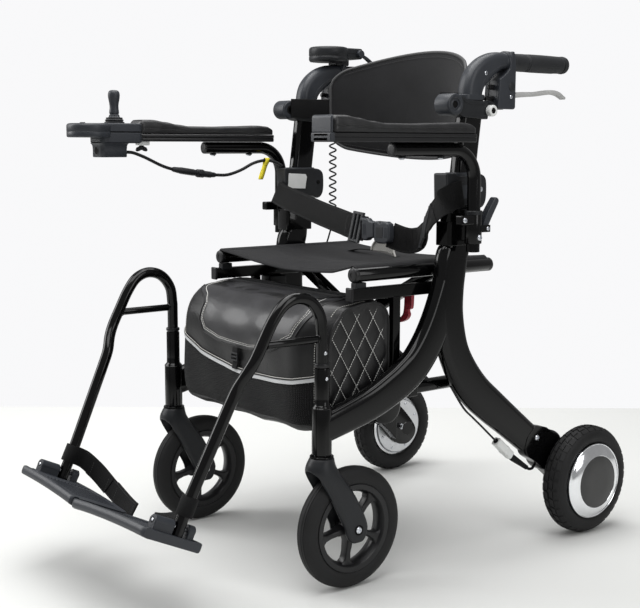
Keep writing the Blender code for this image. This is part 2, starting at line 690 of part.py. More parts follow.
def mirror_last(body):
    # Keeps only the copy for the right side
    other = mirrored(body)
    bpy.data.objects.remove(body)
    return other


publish_pair(armrest_tube(), "armrest_tube", GLOSS_PAINT)
publish(armrest_base(True), "left_armrest_base", SATIN_PLASTIC)
publish(mirror_last(armrest_base(False)), "right_armrest_base", SATIN_PLASTIC)
publish(armrest_pad(BASE_FRONT + CAP_DEPTH + 0.0005), "left_armrest_pad", LEATHER)
publish(mirror_last(armrest_pad(BASE_FRONT + 0.002)), "right_armrest_pad", LEATHER)
publish_pair(armrest_clamp_lever(), "armrest_clamp_lever", SATIN_PLASTIC, CLAMP_PIVOT)


# Joystick at the front of the right armrest

STICK_X = -0.2662
STICK_Y = -0.275
STICK_PIVOT = (STICK_X, STICK_Y, 0.7515)
BUTTON_Y = -0.338
BUTTON_Z = 0.750
WELL_R = 0.0128


def joystick_housing():
    lobe = turned([(0.036, 0.725), (0.039, 0.7275), (0.039, 0.7475), (0.0365, 0.750)], (STICK_X, -0.326, 0),
                  (0, 0, 1), 28)
    box = block((STICK_X - 0.025, -0.314, 0.7145), (STICK_X + 0.025, BASE_FRONT - 0.0008, 0.7505), 0.004)
    lower = block((STICK_X - 0.020, -0.312, 0.690), (STICK_X + 0.020, -0.2585, 0.718), 0.003)
    boot = turned([(0.018, 0.7485), (0.018, 0.7530), (0.0160, 0.7550), (0.0165, 0.7580), (0.0145, 0.7610),
                   (WELL_R, 0.7610), (WELL_R, 0.7485)], (STICK_X, STICK_Y, 0), (0, 0, 1), 20, loop=True)
    body = fuse(box, lobe, lower)
    cut(body, rod((STICK_X, STICK_Y, 0.7385), (STICK_X, STICK_Y, 0.77), WELL_R, 20),
        rod((STICK_X, BUTTON_Y, 0.7465), (STICK_X, BUTTON_Y, 0.76), 0.0055, 16))
    return fuse(body, boot)


def joystick_stick():
    return turned([(0.0055, 0.7465), (0.0068, 0.7515), (0.0072, 0.7605), (0.0088, 0.7680), (0.0080, 0.7800),
                   (0.0100, 0.7940), (0.0106, 0.8010), (0.0084, 0.8075), (0.0040, 0.8095)],
                  (STICK_X, STICK_Y, 0), (0, 0, 1), 16)


def joystick_gimbal():
    return turned([(0.0035, 0.7395), (0.0045, 0.7410), (0.0045, 0.7425), (0.0035, 0.7437)], (STICK_X, STICK_Y, 0),
                  (0, 0, 1), 12)


def power_button():
    return turned([(0.0050, 0.7477), (0.0050, 0.7512), (0.0042, 0.7520)], (STICK_X, BUTTON_Y, 0), (0, 0, 1), 16)


publish(joystick_housing(), "joystick_housing", GREY_PLASTIC)
publish(joystick_stick(), "joystick_stick", GREY_PLASTIC, STICK_PIVOT)
publish(joystick_gimbal(), "joystick_gimbal", SATIN_PLASTIC, STICK_PIVOT)
publish(power_button(), "power_button", SATIN_PLASTIC, (STICK_X, BUTTON_Y, BUTTON_Z))


# Footrests: a bent hanger that swings in the receiver, a plate hinged at its foot, and a heel strap

HINGE = Vector((0.1925, -0.4250, 0.148))
PLATE_BACK = Vector((0, math.cos(PLATE_TILT), -math.sin(PLATE_TILT)))
PLATE_UP = Vector((0, math.sin(PLATE_TILT), math.cos(PLATE_TILT)))
PIN_R = 0.003
PLATE_TOP = -0.011
PLATE_THICK = 0.016
PLATE_FRONT = -0.070
PLATE_REAR = 0.040
PLATE_OUTER = 0.0195
PLATE_SPLIT = 0.014
PLATE_GAP = 0.0012
EDGE_UNDERCUT = 0.005
BOW = 0.008


def at_hinge(x, back, up):
    # A point in the hinge's own directions: across, back along the plate, and up along the tube
    return Vector((HINGE.x + x, HINGE.y, HINGE.z)) + PLATE_BACK * back + PLATE_UP * up


def footrest_hanger():
    path = [Vector((CASTER_X, CASTER_Y, 0.308))]
    path += smooth([(CASTER_X, CASTER_Y, 0.420), (0.2265, -0.188, 0.451), (0.2270, -0.206, 0.474),
                    (0.2275, -0.232, 0.4815), (0.2270, -0.257, 0.473), (0.2260, -0.276, 0.451),
                    (0.2250, -0.293, 0.421), (0.2240, -0.308, 0.393), (0.2180, -0.3185, 0.373),
                    (0.2070, -0.3290, 0.349), (0.2030, -0.342, 0.322)], 1)
    path += [at_hinge(0, 0, 0.050), at_hinge(0, 0, -0.0235)]
    body = tube(path, HANGER_R, 12)
    bar = rod((0.2265, CASTER_Y, 0.414), (0.2245, -0.298, 0.414), 0.0062, 10)
    fuse(body, bar)
    return cut(body, rod(at_hinge(0, -0.02, 0), at_hinge(0, 0.02, 0), PIN_R + SLIDE, 10))


def footplate(inner):
    # The plate bows down towards the walker's middle; its inner edge is undercut so that it can flip up alone
    stations = [PLATE_OUTER, -0.015, -0.060, -0.110, -0.155, inner]
    rings = []
    for x in stations:
        drop = BOW * (x / HINGE.x - 0.1) ** 2 if x < 0 else 0
        top = PLATE_TOP - drop
        low = top - PLATE_THICK
        shift = EDGE_UNDERCUT if x == inner else 0
        rings.append([at_hinge(x + shift * part, back, up) for back, up, part in (
            (PLATE_FRONT, low + 0.004, 0.8), (PLATE_FRONT, top - 0.003, 0.2), (PLATE_FRONT + 0.004, top, 0),
            (PLATE_REAR - 0.004, top, 0), (PLATE_REAR, top - 0.003, 0.2), (PLATE_REAR, low + 0.004, 0.8),
            (PLATE_REAR - 0.004, low, 1), (PLATE_FRONT + 0.004, low, 1))])
    plate = loft(rings)
    ears = []
    for low, high in ((-0.050, -0.0135), (0.0135, 0.026)):
        barrel = rod(at_hinge(0, low, 0), at_hinge(0, high, 0), 0.009, 14)
        web = loft([[at_hinge(x, back, up) for x, up in ((-0.009, PLATE_TOP - 0.005), (0.009, PLATE_TOP - 0.005),
                                                          (0.009, 0.0), (-0.009, 0.0))] for back in (low, high)])
        ears += [barrel, web]
    plate = fuse(plate, *ears)
    corners = ((-0.012, -0.0125), (0.03, -0.0125), (0.03, 0.0125), (-0.012, 0.0125))
    notch = loft([[at_hinge(x, back, up) for x, back in corners] for up in (-0.05, -0.0005)])
    cut(plate, notch)
    return fuse(plate, rod(at_hinge(0, -0.020, 0), at_hinge(0, 0.020, 0), PIN_R, 10))


def heel_strap():
    side = -(HANGER_R + 0.0024)
    route = [at_hinge(side, -0.003, 0.033), at_hinge(side, 0.006, 0.033), at_hinge(side - 0.001, 0.017, 0.032),
             (0.1720, -0.3905, 0.1640), (0.1480, -0.3820, 0.1490), (0.1150, -0.3780, 0.1320), (0.0800, -0.3775, 0.1190),
             (0.0500, -0.3785, 0.1105), (0.0320, -0.3790, 0.1070)]
    band = swept(smooth(route, 1), rounded_rectangle(0.031, 0.0025, 0.001, 1), PLATE_UP)
    wrap = turned([(0.0135, -0.012), (0.0135, 0.012), (HANGER_R + 0.0008, 0.012), (HANGER_R + 0.0008, -0.012)],
                  at_hinge(0, 0, 0.033), PLATE_UP, 16, loop=True)
    return fuse(band, wrap)


publish_pair(footrest_hanger(), "footrest_hanger", GLOSS_PAINT, (CASTER_X, CASTER_Y, 0.308))
publish(footplate(-HINGE.x - PLATE_SPLIT + PLATE_GAP / 2), "left_footplate", GREY_PLASTIC, tuple(HINGE))
publish(mirror_last(footplate(-HINGE.x + PLATE_SPLIT + PLATE_GAP / 2)), "right_footplate", GREY_PLASTIC,
        (-HINGE.x, HINGE.y, HINGE.z))
publish_pair(heel_strap(), "heel_strap", FABRIC, tuple(HINGE))


# Folding cross brace: each arm turns on one side frame and carries the other side's seat tube

def cross_arm(middle_y):
    # Runs from the lower pivot on the left to the seat tube on the right
    low = Vector((PIVOT_X, 0, PIVOT_Z))
    high = Vector((-SEAT_X, 0, SEAT_Z))
    along = (high - low).normalized()
    up = Vector((0, 1, 0)).cross(along)
    rings = []
    for y in (middle_y - ARM_THICK / 2, middle_y + ARM_THICK / 2):
        here = Vector((0, y, 0))
        rings.append([low + here - up * ARM_TALL / 2, high + here - up * ARM_TALL / 2, high + here + up * ARM_TALL / 2,
                      low + here + up * ARM_TALL / 2])
    bar = loft(rings)
    seat = rod((-SEAT_X, SEAT_FRONT, SEAT_Z), (-SEAT_X, SEAT_BACK, SEAT_Z), SEAT_R, 16)
    sleeve = rod((PIVOT_X, 0.0292, PIVOT_Z), (PIVOT_X, 0.1278, PIVOT_Z), 0.0115, 16)
    return fuse(bar, seat, sleeve)


def pivot_bores(body, side):
    bores = [rod((side * PIVOT_X, y - 0.018, PIVOT_Z), (side * PIVOT_X, y + 0.018, PIVOT_Z), 0.006 + RUNNING, 12)
             for y in (0.0245, 0.1285)]
    return cut(body, *bores)


CENTRE = (0, (ARM_A_Y + ARM_B_Y) / 2, (PIVOT_Z + SEAT_Z) / 2)


def cross_arm_a():
    body = cross_arm(ARM_A_Y)
    bolt = rod((0, ARM_A_Y, CENTRE[2]), (0, ARM_B_Y + 0.012, CENTRE[2]), 0.005, 12)
    spacer = rod((0, ARM_A_Y, CENTRE[2]), (0, ARM_B_Y - ARM_THICK / 2 - GAP, CENTRE[2]), 0.009, 14)
    return pivot_bores(fuse(body, bolt, spacer), 1)


def cross_arm_b():
    body = mirror_last(cross_arm(ARM_B_Y))
    lug = rod((LOCK_PIVOT[0], ARM_B_Y, LOCK_PIVOT[2]), (LOCK_PIVOT[0], ARM_B_Y + 0.020, LOCK_PIVOT[2]), 0.003, 10)
    fuse(body, lug)
    cut(body, rod((0, ARM_B_Y - 0.02, CENTRE[2]), (0, ARM_B_Y + 0.02, CENTRE[2]), 0.005 + RUNNING, 12))
    return pivot_bores(body, -1)


LOCK_X = 0.105
LOCK_PIVOT = (LOCK_X, ARM_B_Y + 0.0135, PIVOT_Z + (LOCK_X + PIVOT_X) * (SEAT_Z - PIVOT_Z) / (PIVOT_X + SEAT_X))


def fold_lock_lever():
    x, y, z = LOCK_PIVOT
    outline = [(x - 0.009, z + 0.006), (x, z + 0.0095), (x + 0.009, z + 0.006), (x + 0.007, z - 0.034),
               (x - 0.003, z - 0.037), (x + 0.001, z - 0.047), (x - 0.007, z - 0.057), (x - 0.027, z - 0.063),
               (x - 0.031, z - 0.058), (x - 0.015, z - 0.048), (x - 0.011, z - 0.034)]
    body = prism(outline, "Y", ARM_B_Y + ARM_THICK / 2 + 0.0008, ARM_B_Y + ARM_THICK / 2 + 0.009)
    return cut(body, rod((x, y - 0.02, z), (x, y + 0.02, z), 0.003 + SLIDE, 10))


publish(cross_arm_a(), "cross_arm_a", GLOSS_PAINT, (PIVOT_X, ARM_A_Y, PIVOT_Z))
publish(cross_arm_b(), "cross_arm_b", GLOSS_PAINT, CENTRE)
publish(fold_lock_lever(), "fold_lock_lever", RED, LOCK_PIVOT)


# Soft pieces: seat sling, storage bag and lap belt

def seat_sling():
    columns = 12
    rows = 9
    bm = bmesh.new()
    grid = {}
    for i in range(columns + 1):
        x = SLING_HALF * (2 * i / columns - 1)
        for j in range(rows + 1):
            y = SEAT_FRONT + 0.002 + (SEAT_BACK - SEAT_FRONT - 0.012) * j / rows
            sag = 0.011 * max(0.0, 1 - (x / (SLING_HALF - 0.008)) ** 2)
            fold = 0.0022 * math.exp(-((y - SEAT_FRONT - 0.05 - 0.35 * abs(x)) / 0.016) ** 2)
            fold += 0.0018 * math.exp(-((y - SEAT_BACK + 0.05 + 0.25 * abs(x)) / 0.016) ** 2)
            top = SEAT_Z + SEAT_R + GAP + SLING_THICK - sag + fold * (1 - (x / SLING_HALF) ** 2)
            grid[1, i, j] = bm.verts.new((x, y, top))
            grid[-1, i, j] = bm.verts.new((x, y, top - SLING_THICK))
    for i in range(columns):
        for j in range(rows):
            for side in (-1, 1):
                bm.faces.new([grid[side, a, b] for a, b in ((i, j), (i + 1, j), (i + 1, j + 1), (i, j + 1))])
    rim = [(i, 0) for i in range(columns)] + [(columns, j) for j in range(rows)]
    rim += [(i, rows) for i in range(columns, 0, -1)] + [(0, j) for j in range(rows, 0, -1)]
    for here, after in zip(rim, rim[1:] + rim[:1]):
        bm.faces.new((grid[-1, *here], grid[-1, *after], grid[1, *after], grid[1, *here]))
    sling = from_bmesh(bm)
    tab = block((0.002, 0.124, SEAT_Z), (0.024, 0.127, SEAT_Z + 0.037))
    return fuse(sling, tab)


def storage_bag():
    half = 0.2065
    top = RAIL_HIGH - 0.0175
    outline = [(-0.176, 0.252), (-0.190, 0.262), (-0.1965, 0.290), (-0.196, top - 0.0700), (-0.188, top - 0.0400),
               (-0.172, top - 0.0200), (-0.148, top - 0.0075), (-0.060, top), (-0.036, top - 0.0080),
               (-0.0235, top - 0.0300), (-0.0225, 0.345), (-0.034, 0.329)]
    middle = (-0.110, 0.360)
    rings = []
    # The front draws back round the corners at both ends
    for x, keep, back in ((-half, 0.93, 0.034), (-0.190, 0.965, 0.017), (-0.160, 1.0, 0.001), (0.160, 1.0, 0.001),
                          (0.190, 0.965, 0.017), (half, 0.93, 0.034)):
        rings.append([(x, middle[0] + (y - middle[0]) * keep + (back if y < -0.140 else 0.0),
                       middle[1] + (z - middle[1]) * keep) for y, z in outline])
    return loft(rings)


BELT_TALL = 0.044
BELT_THICK = 0.003


def belt(route):
    return swept(smooth(route, 2), rounded_rectangle(BELT_TALL, BELT_THICK, 0.001, 1), (0.0, 0.25, 0.97))


def lap_belt_left():
    band = belt([(0.2050, 0.1200, 0.6390), (0.2034, 0.1000, 0.6290), (0.1975, 0.0820, 0.6080), (0.1900, 0.0660, 0.5830),
                 (0.1730, 0.0560, 0.5600), (0.1560, 0.0440, 0.5560), (0.1380, 0.0330, 0.5590)])
    socket = block((0.108, 0.020, 0.546), (0.148, 0.034, 0.584), 0.003)
    return fuse(socket, band)


def lap_belt_right():
    band = belt([(-0.2300, 0.0555, 0.6220), (-0.2000, 0.0540, 0.6130), (-0.1373, 0.0480, 0.6010),
                 (-0.0650, 0.0390, 0.5880), (0.0150, 0.0280, 0.5760), (0.0450, 0.0260, 0.5710),
                 (0.0800, 0.0260, 0.5680)])
    tongue = block((0.068, 0.020, 0.548), (0.1072, 0.034, 0.588), 0.003)
    return fuse(tongue, band)


publish(seat_sling(), "seat_sling", FABRIC)
publish(storage_bag(), "storage_bag", LEATHER)
publish(lap_belt_left(), "lap_belt_left", FABRIC)
publish(lap_belt_right(), "lap_belt_right", FABRIC)


def battery_pack():
    # Hangs from the right rail, behind the bag
    case = block((-0.184, -0.014, RAIL_LOW - 0.126), (-0.084, 0.050, RAIL_LOW - 0.026), 0.004)
    tab = block((-0.209, 0.004, RAIL_LOW - 0.040), (-0.178, 0.044, RAIL_LOW - GAP))
    return fuse(case, tab)


publish(battery_pack(), "battery_pack", SATIN_PLASTIC)


# Cables

def cord(route, radius, resolution, per_span):
    # A round cord through hand-chosen points, as a curve with filled ends
    points = smooth(route, per_span)
    curve = bpy.data.curves.new("cord", "CURVE")
    curve.dimensions = "3D"
    curve.bevel_depth = radius
    curve.bevel_resolution = resolution
    curve.use_fill_caps = True
    spline = curve.splines.new("POLY")
    spline.points.add(len(points) - 1)
    for point, place in zip(spline.points, points):
        point.co = (*place, 1.0)
    made = bpy.data.objects.new("cord", curve)
    bpy.context.collection.objects.link(made)
    return made


def publish_cord(made, name, finish):
    made.name = name
    made.data.name = name
    made.data.materials.append(material(name, *finish))


JOYSTICK_CABLE_R = 0.003
JOYSTICK_ROUTE = [(-0.2600, -0.2581, 0.6990), (-0.2600, -0.2500, 0.6988), (-0.2600, -0.2400, 0.6975),
                  (-0.2600, -0.2200, 0.6905), (-0.2600, -0.2040, 0.6835), (-0.2600, -0.1860, 0.6755),
                  (-0.2600, -0.1720, 0.6705), (-0.2600, -0.1603, 0.6675)]
CONNECTOR_ROUTE = [(-0.2600, -0.1600, 0.6674), (-0.2600, -0.1320, 0.6630), (-0.2600, -0.1100, 0.6600),
                   (-0.2600, -0.0830, 0.6565), (-0.2600, -0.0650, 0.6552)]
TAIL_ROUTE = [(-0.2600, -0.0650, 0.6552), (-0.2600, -0.0370, 0.6552), (-0.2600, -0.0060, 0.6638),
              (-0.2585, 0.0200, 0.6760), (-0.2555, 0.0400, 0.6815), (-0.2510, 0.0540, 0.6820),
              (-0.2450, 0.0660, 0.6785), (-0.2400, 0.0740, 0.6735), (-0.2380, 0.0768, 0.6705)]


def joystick_connector():
    # Two moulded halves that meet in a collar, with the lead that goes on to the frame
    path = smooth(CONNECTOR_ROUTE, 2)
    radii = [0.0045, 0.0060, 0.0062, 0.0060, 0.0058, 0.0074, 0.0074, 0.0060, 0.0040]
    halves = swept(path, [circle(radius, 8) for radius in radii], (1, 0, 0))
    lead = tube(smooth(TAIL_ROUTE, 1), JOYSTICK_CABLE_R, 8)
    return fuse(halves, lead)


publish_cord(cord(JOYSTICK_ROUTE, JOYSTICK_CABLE_R, 2, 2), "joystick_cable", RUBBER)
publish(joystick_connector(), "joystick_connector", RUBBER)


MOTOR_DRUM = Vector((FRAME_X, 0.337, 0.156))
MOTOR_DRUM_R = 0.038
MOTOR_CABLE_R = 0.0026


def motor_cable():
    # Leaves the rear leg, passes the plug and a ribbed boot, and enters the bracket's drum
    inward = Vector((0, -0.70, -0.714)).normalized()
    path = smooth([(FRAME_X, 0.0955, 0.3040), (FRAME_X, 0.1270, 0.2620), (FRAME_X, 0.1490, 0.2425),
                   (FRAME_X, 0.1720, 0.2230), (FRAME_X, 0.203, 0.1960)], 1)
    radii = [MOTOR_CABLE_R] * len(path)
    plug = [((0.2095, 0.1905), 0.0085), ((0.2130, 0.1875), 0.0100), ((0.2440, 0.1600), 0.0100),
            ((0.2480, 0.1568), 0.0080)]
    for (y, z), radius in plug:
        path.append(Vector((FRAME_X, y, z)))
        radii.append(radius)
    ribs = 6
    start = Vector((FRAME_X, 0.2510, 0.1543))
    end = Vector((FRAME_X, 0.2900, 0.1290))
    for k in range(ribs):
        for share, radius in ((k / ribs, 0.0042), ((k + 0.5) / ribs, 0.0066 - 0.0002 * k)):
            path.append(start.lerp(end, share))
            radii.append(radius)
    path.append(Vector((FRAME_X, 0.2985, 0.1245)))
    radii.append(MOTOR_CABLE_R)
    path.append(MOTOR_DRUM + inward * (MOTOR_DRUM_R + 0.0060))
    radii.append(MOTOR_CABLE_R)
    path.append(MOTOR_DRUM + inward * (MOTOR_DRUM_R + 0.0006))
    radii.append(MOTOR_CABLE_R)
    return swept(path, [circle(radius, 8) for radius in radii], (1, 0, 0))


publish_pair(motor_cable(), "motor_cable", RUBBER)


CURLS = 10
CURL_STEPS = 8
CURL_R = 0.0065
CURL_TOP = 0.716
CURL_PITCH = 0.016
HANDSET_R = 0.0015
HANDSET_X = -0.2225
HANDSET_Y = 0.1915


def handset_route():
    points = [Vector((HANDSET_X, HANDSET_Y, 0.7737)), Vector((HANDSET_X, HANDSET_Y, 0.7600)),
              Vector((HANDSET_X + 0.003, HANDSET_Y, 0.738)),
              Vector((HANDSET_X + CURL_R * 0.8, HANDSET_Y - 0.001, 0.7215))]
    for step in range(CURLS * CURL_STEPS + 1):
        turn = 2 * math.pi * step / CURL_STEPS
        points.append(Vector((HANDSET_X + CURL_R * math.cos(turn), HANDSET_Y - CURL_R * math.sin(turn),
                              CURL_TOP - CURL_PITCH * step / CURL_STEPS)))
    points += [Vector(place) for place in ((-0.2180, 0.1870, 0.5505), (-0.2210, 0.1840, 0.5380),
                                           (-0.2245, 0.1780, 0.5150), (-0.2265, 0.1660, 0.4920),
                                           (-0.2275, 0.1480, 0.4700), (-0.2275, 0.1310, 0.4590),
                                           (-0.2275, 0.1160, 0.4560))]
    return points


def least_gap(points, radius, apart):
    # The least distance between stretches of the cord that are not neighbours along it
    least = 1.0
    for first in range(len(points)):
        for second in range(first + apart, len(points)):
            least = min(least, (points[first] - points[second]).length)
    return least - 2 * radius


print("handset cord least gap to itself, mm:", round(1000 * least_gap(handset_route(), HANDSET_R, CURL_STEPS - 2), 2))
publish_cord(cord(handset_route(), HANDSET_R, 1, 1), "handset_cord", RUBBER)


# Joint tree: an empty on each joint's axis carries the pieces that move with it

joint_places = {}


def carry(name, place, pieces, parent=None):
    empty = bpy.data.objects.new(name, None)
    bpy.context.collection.objects.link(empty)
    joint_places[name] = Vector(place)
    empty.location = place
    if parent:
        empty.parent = bpy.data.objects[parent]
        empty.location = Vector(place) - joint_places[parent]
    for piece in pieces:
        carried = bpy.data.objects[piece]
        carried.parent = empty
        carried.location = carried.location - Vector(place)


def on_side(place, side):
    return Vector((side * place[0], place[1], place[2]))


carry("fold_arm_a", (PIVOT_X, ARM_A_Y, PIVOT_Z), ["cross_arm_a", "seat_sling"])
carry("fold_arm_b", CENTRE, ["cross_arm_b"], "fold_arm_a")
carry("fold_lock", LOCK_PIVOT, ["fold_lock_lever"], "fold_arm_b")
carry("right_frame", (-PIVOT_X, ARM_B_Y, PIVOT_Z),
      ["right_side_frame", "right_motor_bracket", "right_height_collar", "right_motor_cable", "lap_belt_right",
       "handset_cord", "battery_pack"], "fold_arm_b")
for name, side, frame in (("left", 1, None), ("right", -1, "right_frame")):
    swivel = (CASTER_X, CASTER_Y, HEAD_LOW)
    receiver = (CASTER_X, CASTER_Y, RECEIVER_HIGH)
    slide = on_post(POST_FOOT_Z)
    socket = (ARM_X, ARM_TUBE_Y, ARM_TUBE_FOOT)
    carry(name + "_caster", on_side(swivel, side), [name + "_caster_fork"], frame)
    carry(name + "_caster_roll", on_side(CASTER_AXLE, side), [name + "_caster_wheel"], name + "_caster")
    carry(name + "_drive", on_side(REAR_AXLE, side), [name + "_motor_hub", name + "_rear_tyre"], frame)
    carry(name + "_handle", on_side(slide, side),
          [name + "_" + piece for piece in ("handle_post", "handle_elbow", "hand_grip", "brake_housing",
                                            "backrest_bracket")], frame)
    carry(name + "_brake", on_side(BRAKE_PIVOT, side), [name + "_brake_lever"], name + "_handle")
    carry(name + "_armrest", on_side(socket, side),
          [name + "_" + piece for piece in ("armrest_tube", "armrest_base", "armrest_pad")], frame)
    carry(name + "_clamp", on_side(CLAMP_PIVOT, side), [name + "_armrest_clamp_lever"], frame)
    carry(name + "_footrest", on_side(receiver, side), [name + "_footrest_hanger", name + "_heel_strap"], frame)
    carry(name + "_plate_flip", on_side(HINGE, side), [name + "_footplate"], name + "_footrest")
carry("backrest_tilt", (0, BACK_PIVOT[1], BACK_PIVOT[2]), ["backrest_panel"], "left_handle")
carry("throttle", THROTTLE_PIVOT, ["thumb_throttle"], "right_handle")
carry("joystick", STICK_PIVOT, ["joystick_housing", "joystick_cable", "joystick_connector"], "right_armrest")
carry("joystick_pitch", STICK_PIVOT, ["joystick_gimbal"], "joystick")
carry("joystick_roll", STICK_PIVOT, ["joystick_stick"], "joystick_pitch")
carry("power_switch", (STICK_X, BUTTON_Y, BUTTON_Z), ["power_button"], "joystick")
bpy.data.objects["control_pod"].parent = bpy.data.objects["right_handle"]
bpy.data.objects["control_pod"].location = -joint_places["right_handle"]
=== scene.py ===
# Electric walker: the looks of every piece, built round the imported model.
# Metres, +Z up. The footrests point to -Y, the push grips to +Y, and the user's left is +X.
import math

import bmesh
import bpy
from mathutils import Matrix, Vector


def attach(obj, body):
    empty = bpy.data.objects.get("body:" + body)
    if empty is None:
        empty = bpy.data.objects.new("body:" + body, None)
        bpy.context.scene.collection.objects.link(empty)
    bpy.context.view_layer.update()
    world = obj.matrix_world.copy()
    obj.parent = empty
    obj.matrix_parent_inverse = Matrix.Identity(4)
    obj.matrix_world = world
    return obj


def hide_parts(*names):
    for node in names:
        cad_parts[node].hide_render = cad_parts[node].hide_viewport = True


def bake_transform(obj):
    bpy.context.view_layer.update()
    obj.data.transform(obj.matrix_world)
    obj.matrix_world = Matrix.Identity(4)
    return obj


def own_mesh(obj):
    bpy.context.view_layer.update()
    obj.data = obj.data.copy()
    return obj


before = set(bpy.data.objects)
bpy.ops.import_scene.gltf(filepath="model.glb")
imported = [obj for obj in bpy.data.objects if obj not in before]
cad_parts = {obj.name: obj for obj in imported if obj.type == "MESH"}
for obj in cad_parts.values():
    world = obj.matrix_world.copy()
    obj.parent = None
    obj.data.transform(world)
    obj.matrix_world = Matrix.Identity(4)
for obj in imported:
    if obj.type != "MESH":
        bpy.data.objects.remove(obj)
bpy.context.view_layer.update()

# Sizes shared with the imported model
WHEEL_R = 0.1
REAR_AXLE = Vector((0.272, 0.4, 0.1))
REAR_HALF = 0.0225
CASTER = Vector((0.2265, -0.183, 0.2285))
CASTER_AXLE = Vector((0.2265, -0.127, 0.1))
CASTER_HALF = 0.016
FRAME_X = 0.2275
LEG_THICK = 0.03
RECEIVER_HIGH = 0.368
POST_REF = Vector((FRAME_X, 0.0985, 0.547))
POST_LEAN = Vector((0.0, 0.033, 0.253)).normalized()
POST_DEPTH = 0.046
POST_THICK = 0.024
GRIP_Z = 0.8545
BRAKE_PIVOT = Vector((0.231, 0.207, 0.797))
BACK_PIVOT = Vector((0.223, 0.078, 0.78))
PIVOT_X = 0.1965
PIVOT_Z = 0.305
SEAT_Z = 0.505
SEAT_R = 0.01175
SEAT_FRONT = -0.0995
SEAT_BACK = 0.214
ARM_A_Y = 0.066
ARM_B_Y = 0.096
ARM_X = 0.272
ARM_TUBE_R = 0.01125
SOCKET_R = 0.0142
SOCKET_Y = 0.0975
ARM_TUBE_Z = 0.7065
RAIL_HIGH = SEAT_Z - 0.021
RAIL_LOW = SEAT_Z - 0.041
PAD_X = 0.2805
BASE_FRONT = -0.229
BASE_BACK = 0.074
BASE_WIDTH = 0.049
BASE_LOW = 0.7181
BASE_HIGH = 0.7315
CAP_DEPTH = 0.006
CLAMP_PIVOT = Vector((ARM_X, 0.1175, 0.577))
STICK = Vector((-0.2662, -0.275, 0.7515))
HANGER_R = 0.0095
HANGER_X = 0.2265
HINGE = Vector((0.1925, -0.425, 0.148))
PLATE_TILT = math.radians(25.5)
PLATE_BACK = Vector((0, math.cos(PLATE_TILT), -math.sin(PLATE_TILT)))
PLATE_UP = Vector((0, math.sin(PLATE_TILT), math.cos(PLATE_TILT)))
CASTER_COLUMN = (CASTER.x, CASTER.y, 0)
GRIP_LINE = (FRAME_X, 0, GRIP_Z)
ROD_EDGE = 0.0006
FULL_TURN = 2 * math.pi

# Directions: X runs to the user's left, Y to the back
OUTWARD = (1, 0, 0)
INWARD = (-1, 0, 0)
BACKWARD = (0, 1, 0)
FORWARD = (0, -1, 0)
UPWARD = (0, 0, 1)
DOWNWARD = (0, 0, -1)


# Camera, at the photograph's place: 640 x 608, horizon near the top quarter

CAMERA_PLACE = Vector((1.6812, -1.3124, 0.7176))
CAMERA_AZIMUTH = math.radians(52.28)
CAMERA_DOWN = math.radians(7.7)
CAMERA_ROLL = math.radians(0.16)
CAMERA_LENS = 67.26
SENSOR_WIDTH = 36.0
NEAREST_SEEN = 0.05

camera = bpy.data.objects.new("camera", bpy.data.cameras.new("camera"))
bpy.context.collection.objects.link(camera)
camera.data.lens = CAMERA_LENS
camera.data.sensor_width = SENSOR_WIDTH
camera.data.sensor_fit = "HORIZONTAL"
camera.data.clip_start = NEAREST_SEEN
turn = Matrix.Rotation(CAMERA_AZIMUTH, 4, "Z") @ Matrix.Rotation(math.pi / 2 - CAMERA_DOWN, 4, "X")
camera.matrix_world = Matrix.Translation(CAMERA_PLACE) @ turn @ Matrix.Rotation(CAMERA_ROLL, 4, "Z")
bpy.context.scene.camera = camera


# Building blocks for meshes

def mesh_piece(name, points, faces, material, spots=None, sharp=35):
    mesh = bpy.data.meshes.new(name)
    mesh.from_pydata([tuple(point) for point in points], [], faces)
    if spots:
        layer = mesh.uv_layers.new(name="UVMap")
        for loop, spot in zip(layer.data, spots):
            loop.uv = spot
    bm = bmesh.new()
    bm.from_mesh(mesh)
    bmesh.ops.recalc_face_normals(bm, faces=bm.faces)
    bm.to_mesh(mesh)
    bm.free()
    mesh.shade_smooth()
    mesh.set_sharp_from_angle(angle=math.radians(sharp))
    mesh.materials.append(material)
    made = bpy.data.objects.new(name, mesh)
    bpy.context.collection.objects.link(made)
    return made


def skin(name, rings, material, loop=False, caps=True, open_ring=False, sharp=35):
    # Skins a row of rings. The map runs along the row and round the ring, both in metres
    count = len(rings[0])
    rows = len(rings)
    middles = [sum((Vector(point) for point in ring), Vector()) / count for ring in rings]
    along = [0.0]
    for index in range(rows):
        along.append(along[-1] + (middles[(index + 1) % rows] - middles[index]).length)
    around = [0.0]
    for step in range(count):
        around.append(around[-1] + (Vector(rings[0][(step + 1) % count]) - Vector(rings[0][step])).length)
    faces = []
    spots = []
    for row in range(rows if loop else rows - 1):
        for step in range(count - 1 if open_ring else count):
            near = row * count
            far = ((row + 1) % rows) * count
            after = (step + 1) % count
            faces.append((near + step, near + after, far + after, far + step))
            spots += [(along[row], around[step]), (along[row], around[step + 1]),
                    (along[row + 1], around[step + 1]), (along[row + 1], around[step])]
    if caps and not loop:
        for start in (0, (rows - 1) * count):
            faces.append(tuple(range(start, start + count)))
            spots += [(0.0, 0.0)] * count
    points = [point for ring in rings for point in ring]
    return mesh_piece(name, points, faces, material, spots, sharp)


def circle(radius, sides):
    turn = FULL_TURN / sides
    return [(radius * math.cos(turn * (k + 0.5)), radius * math.sin(turn * (k + 0.5)))
            for k in range(sides)]


def rounded(width, height, radius, steps=6):
    points = []
    for corner, (sx, sy) in enumerate(((1, 1), (-1, 1), (-1, -1), (1, -1))):
        for step in range(steps + 1):
            angle = math.pi / 2 * (corner + step / steps)
            points.append((sx * (width / 2 - radius) + radius * math.cos(angle),
                    sy * (height / 2 - radius) + radius * math.sin(angle)))
    return points


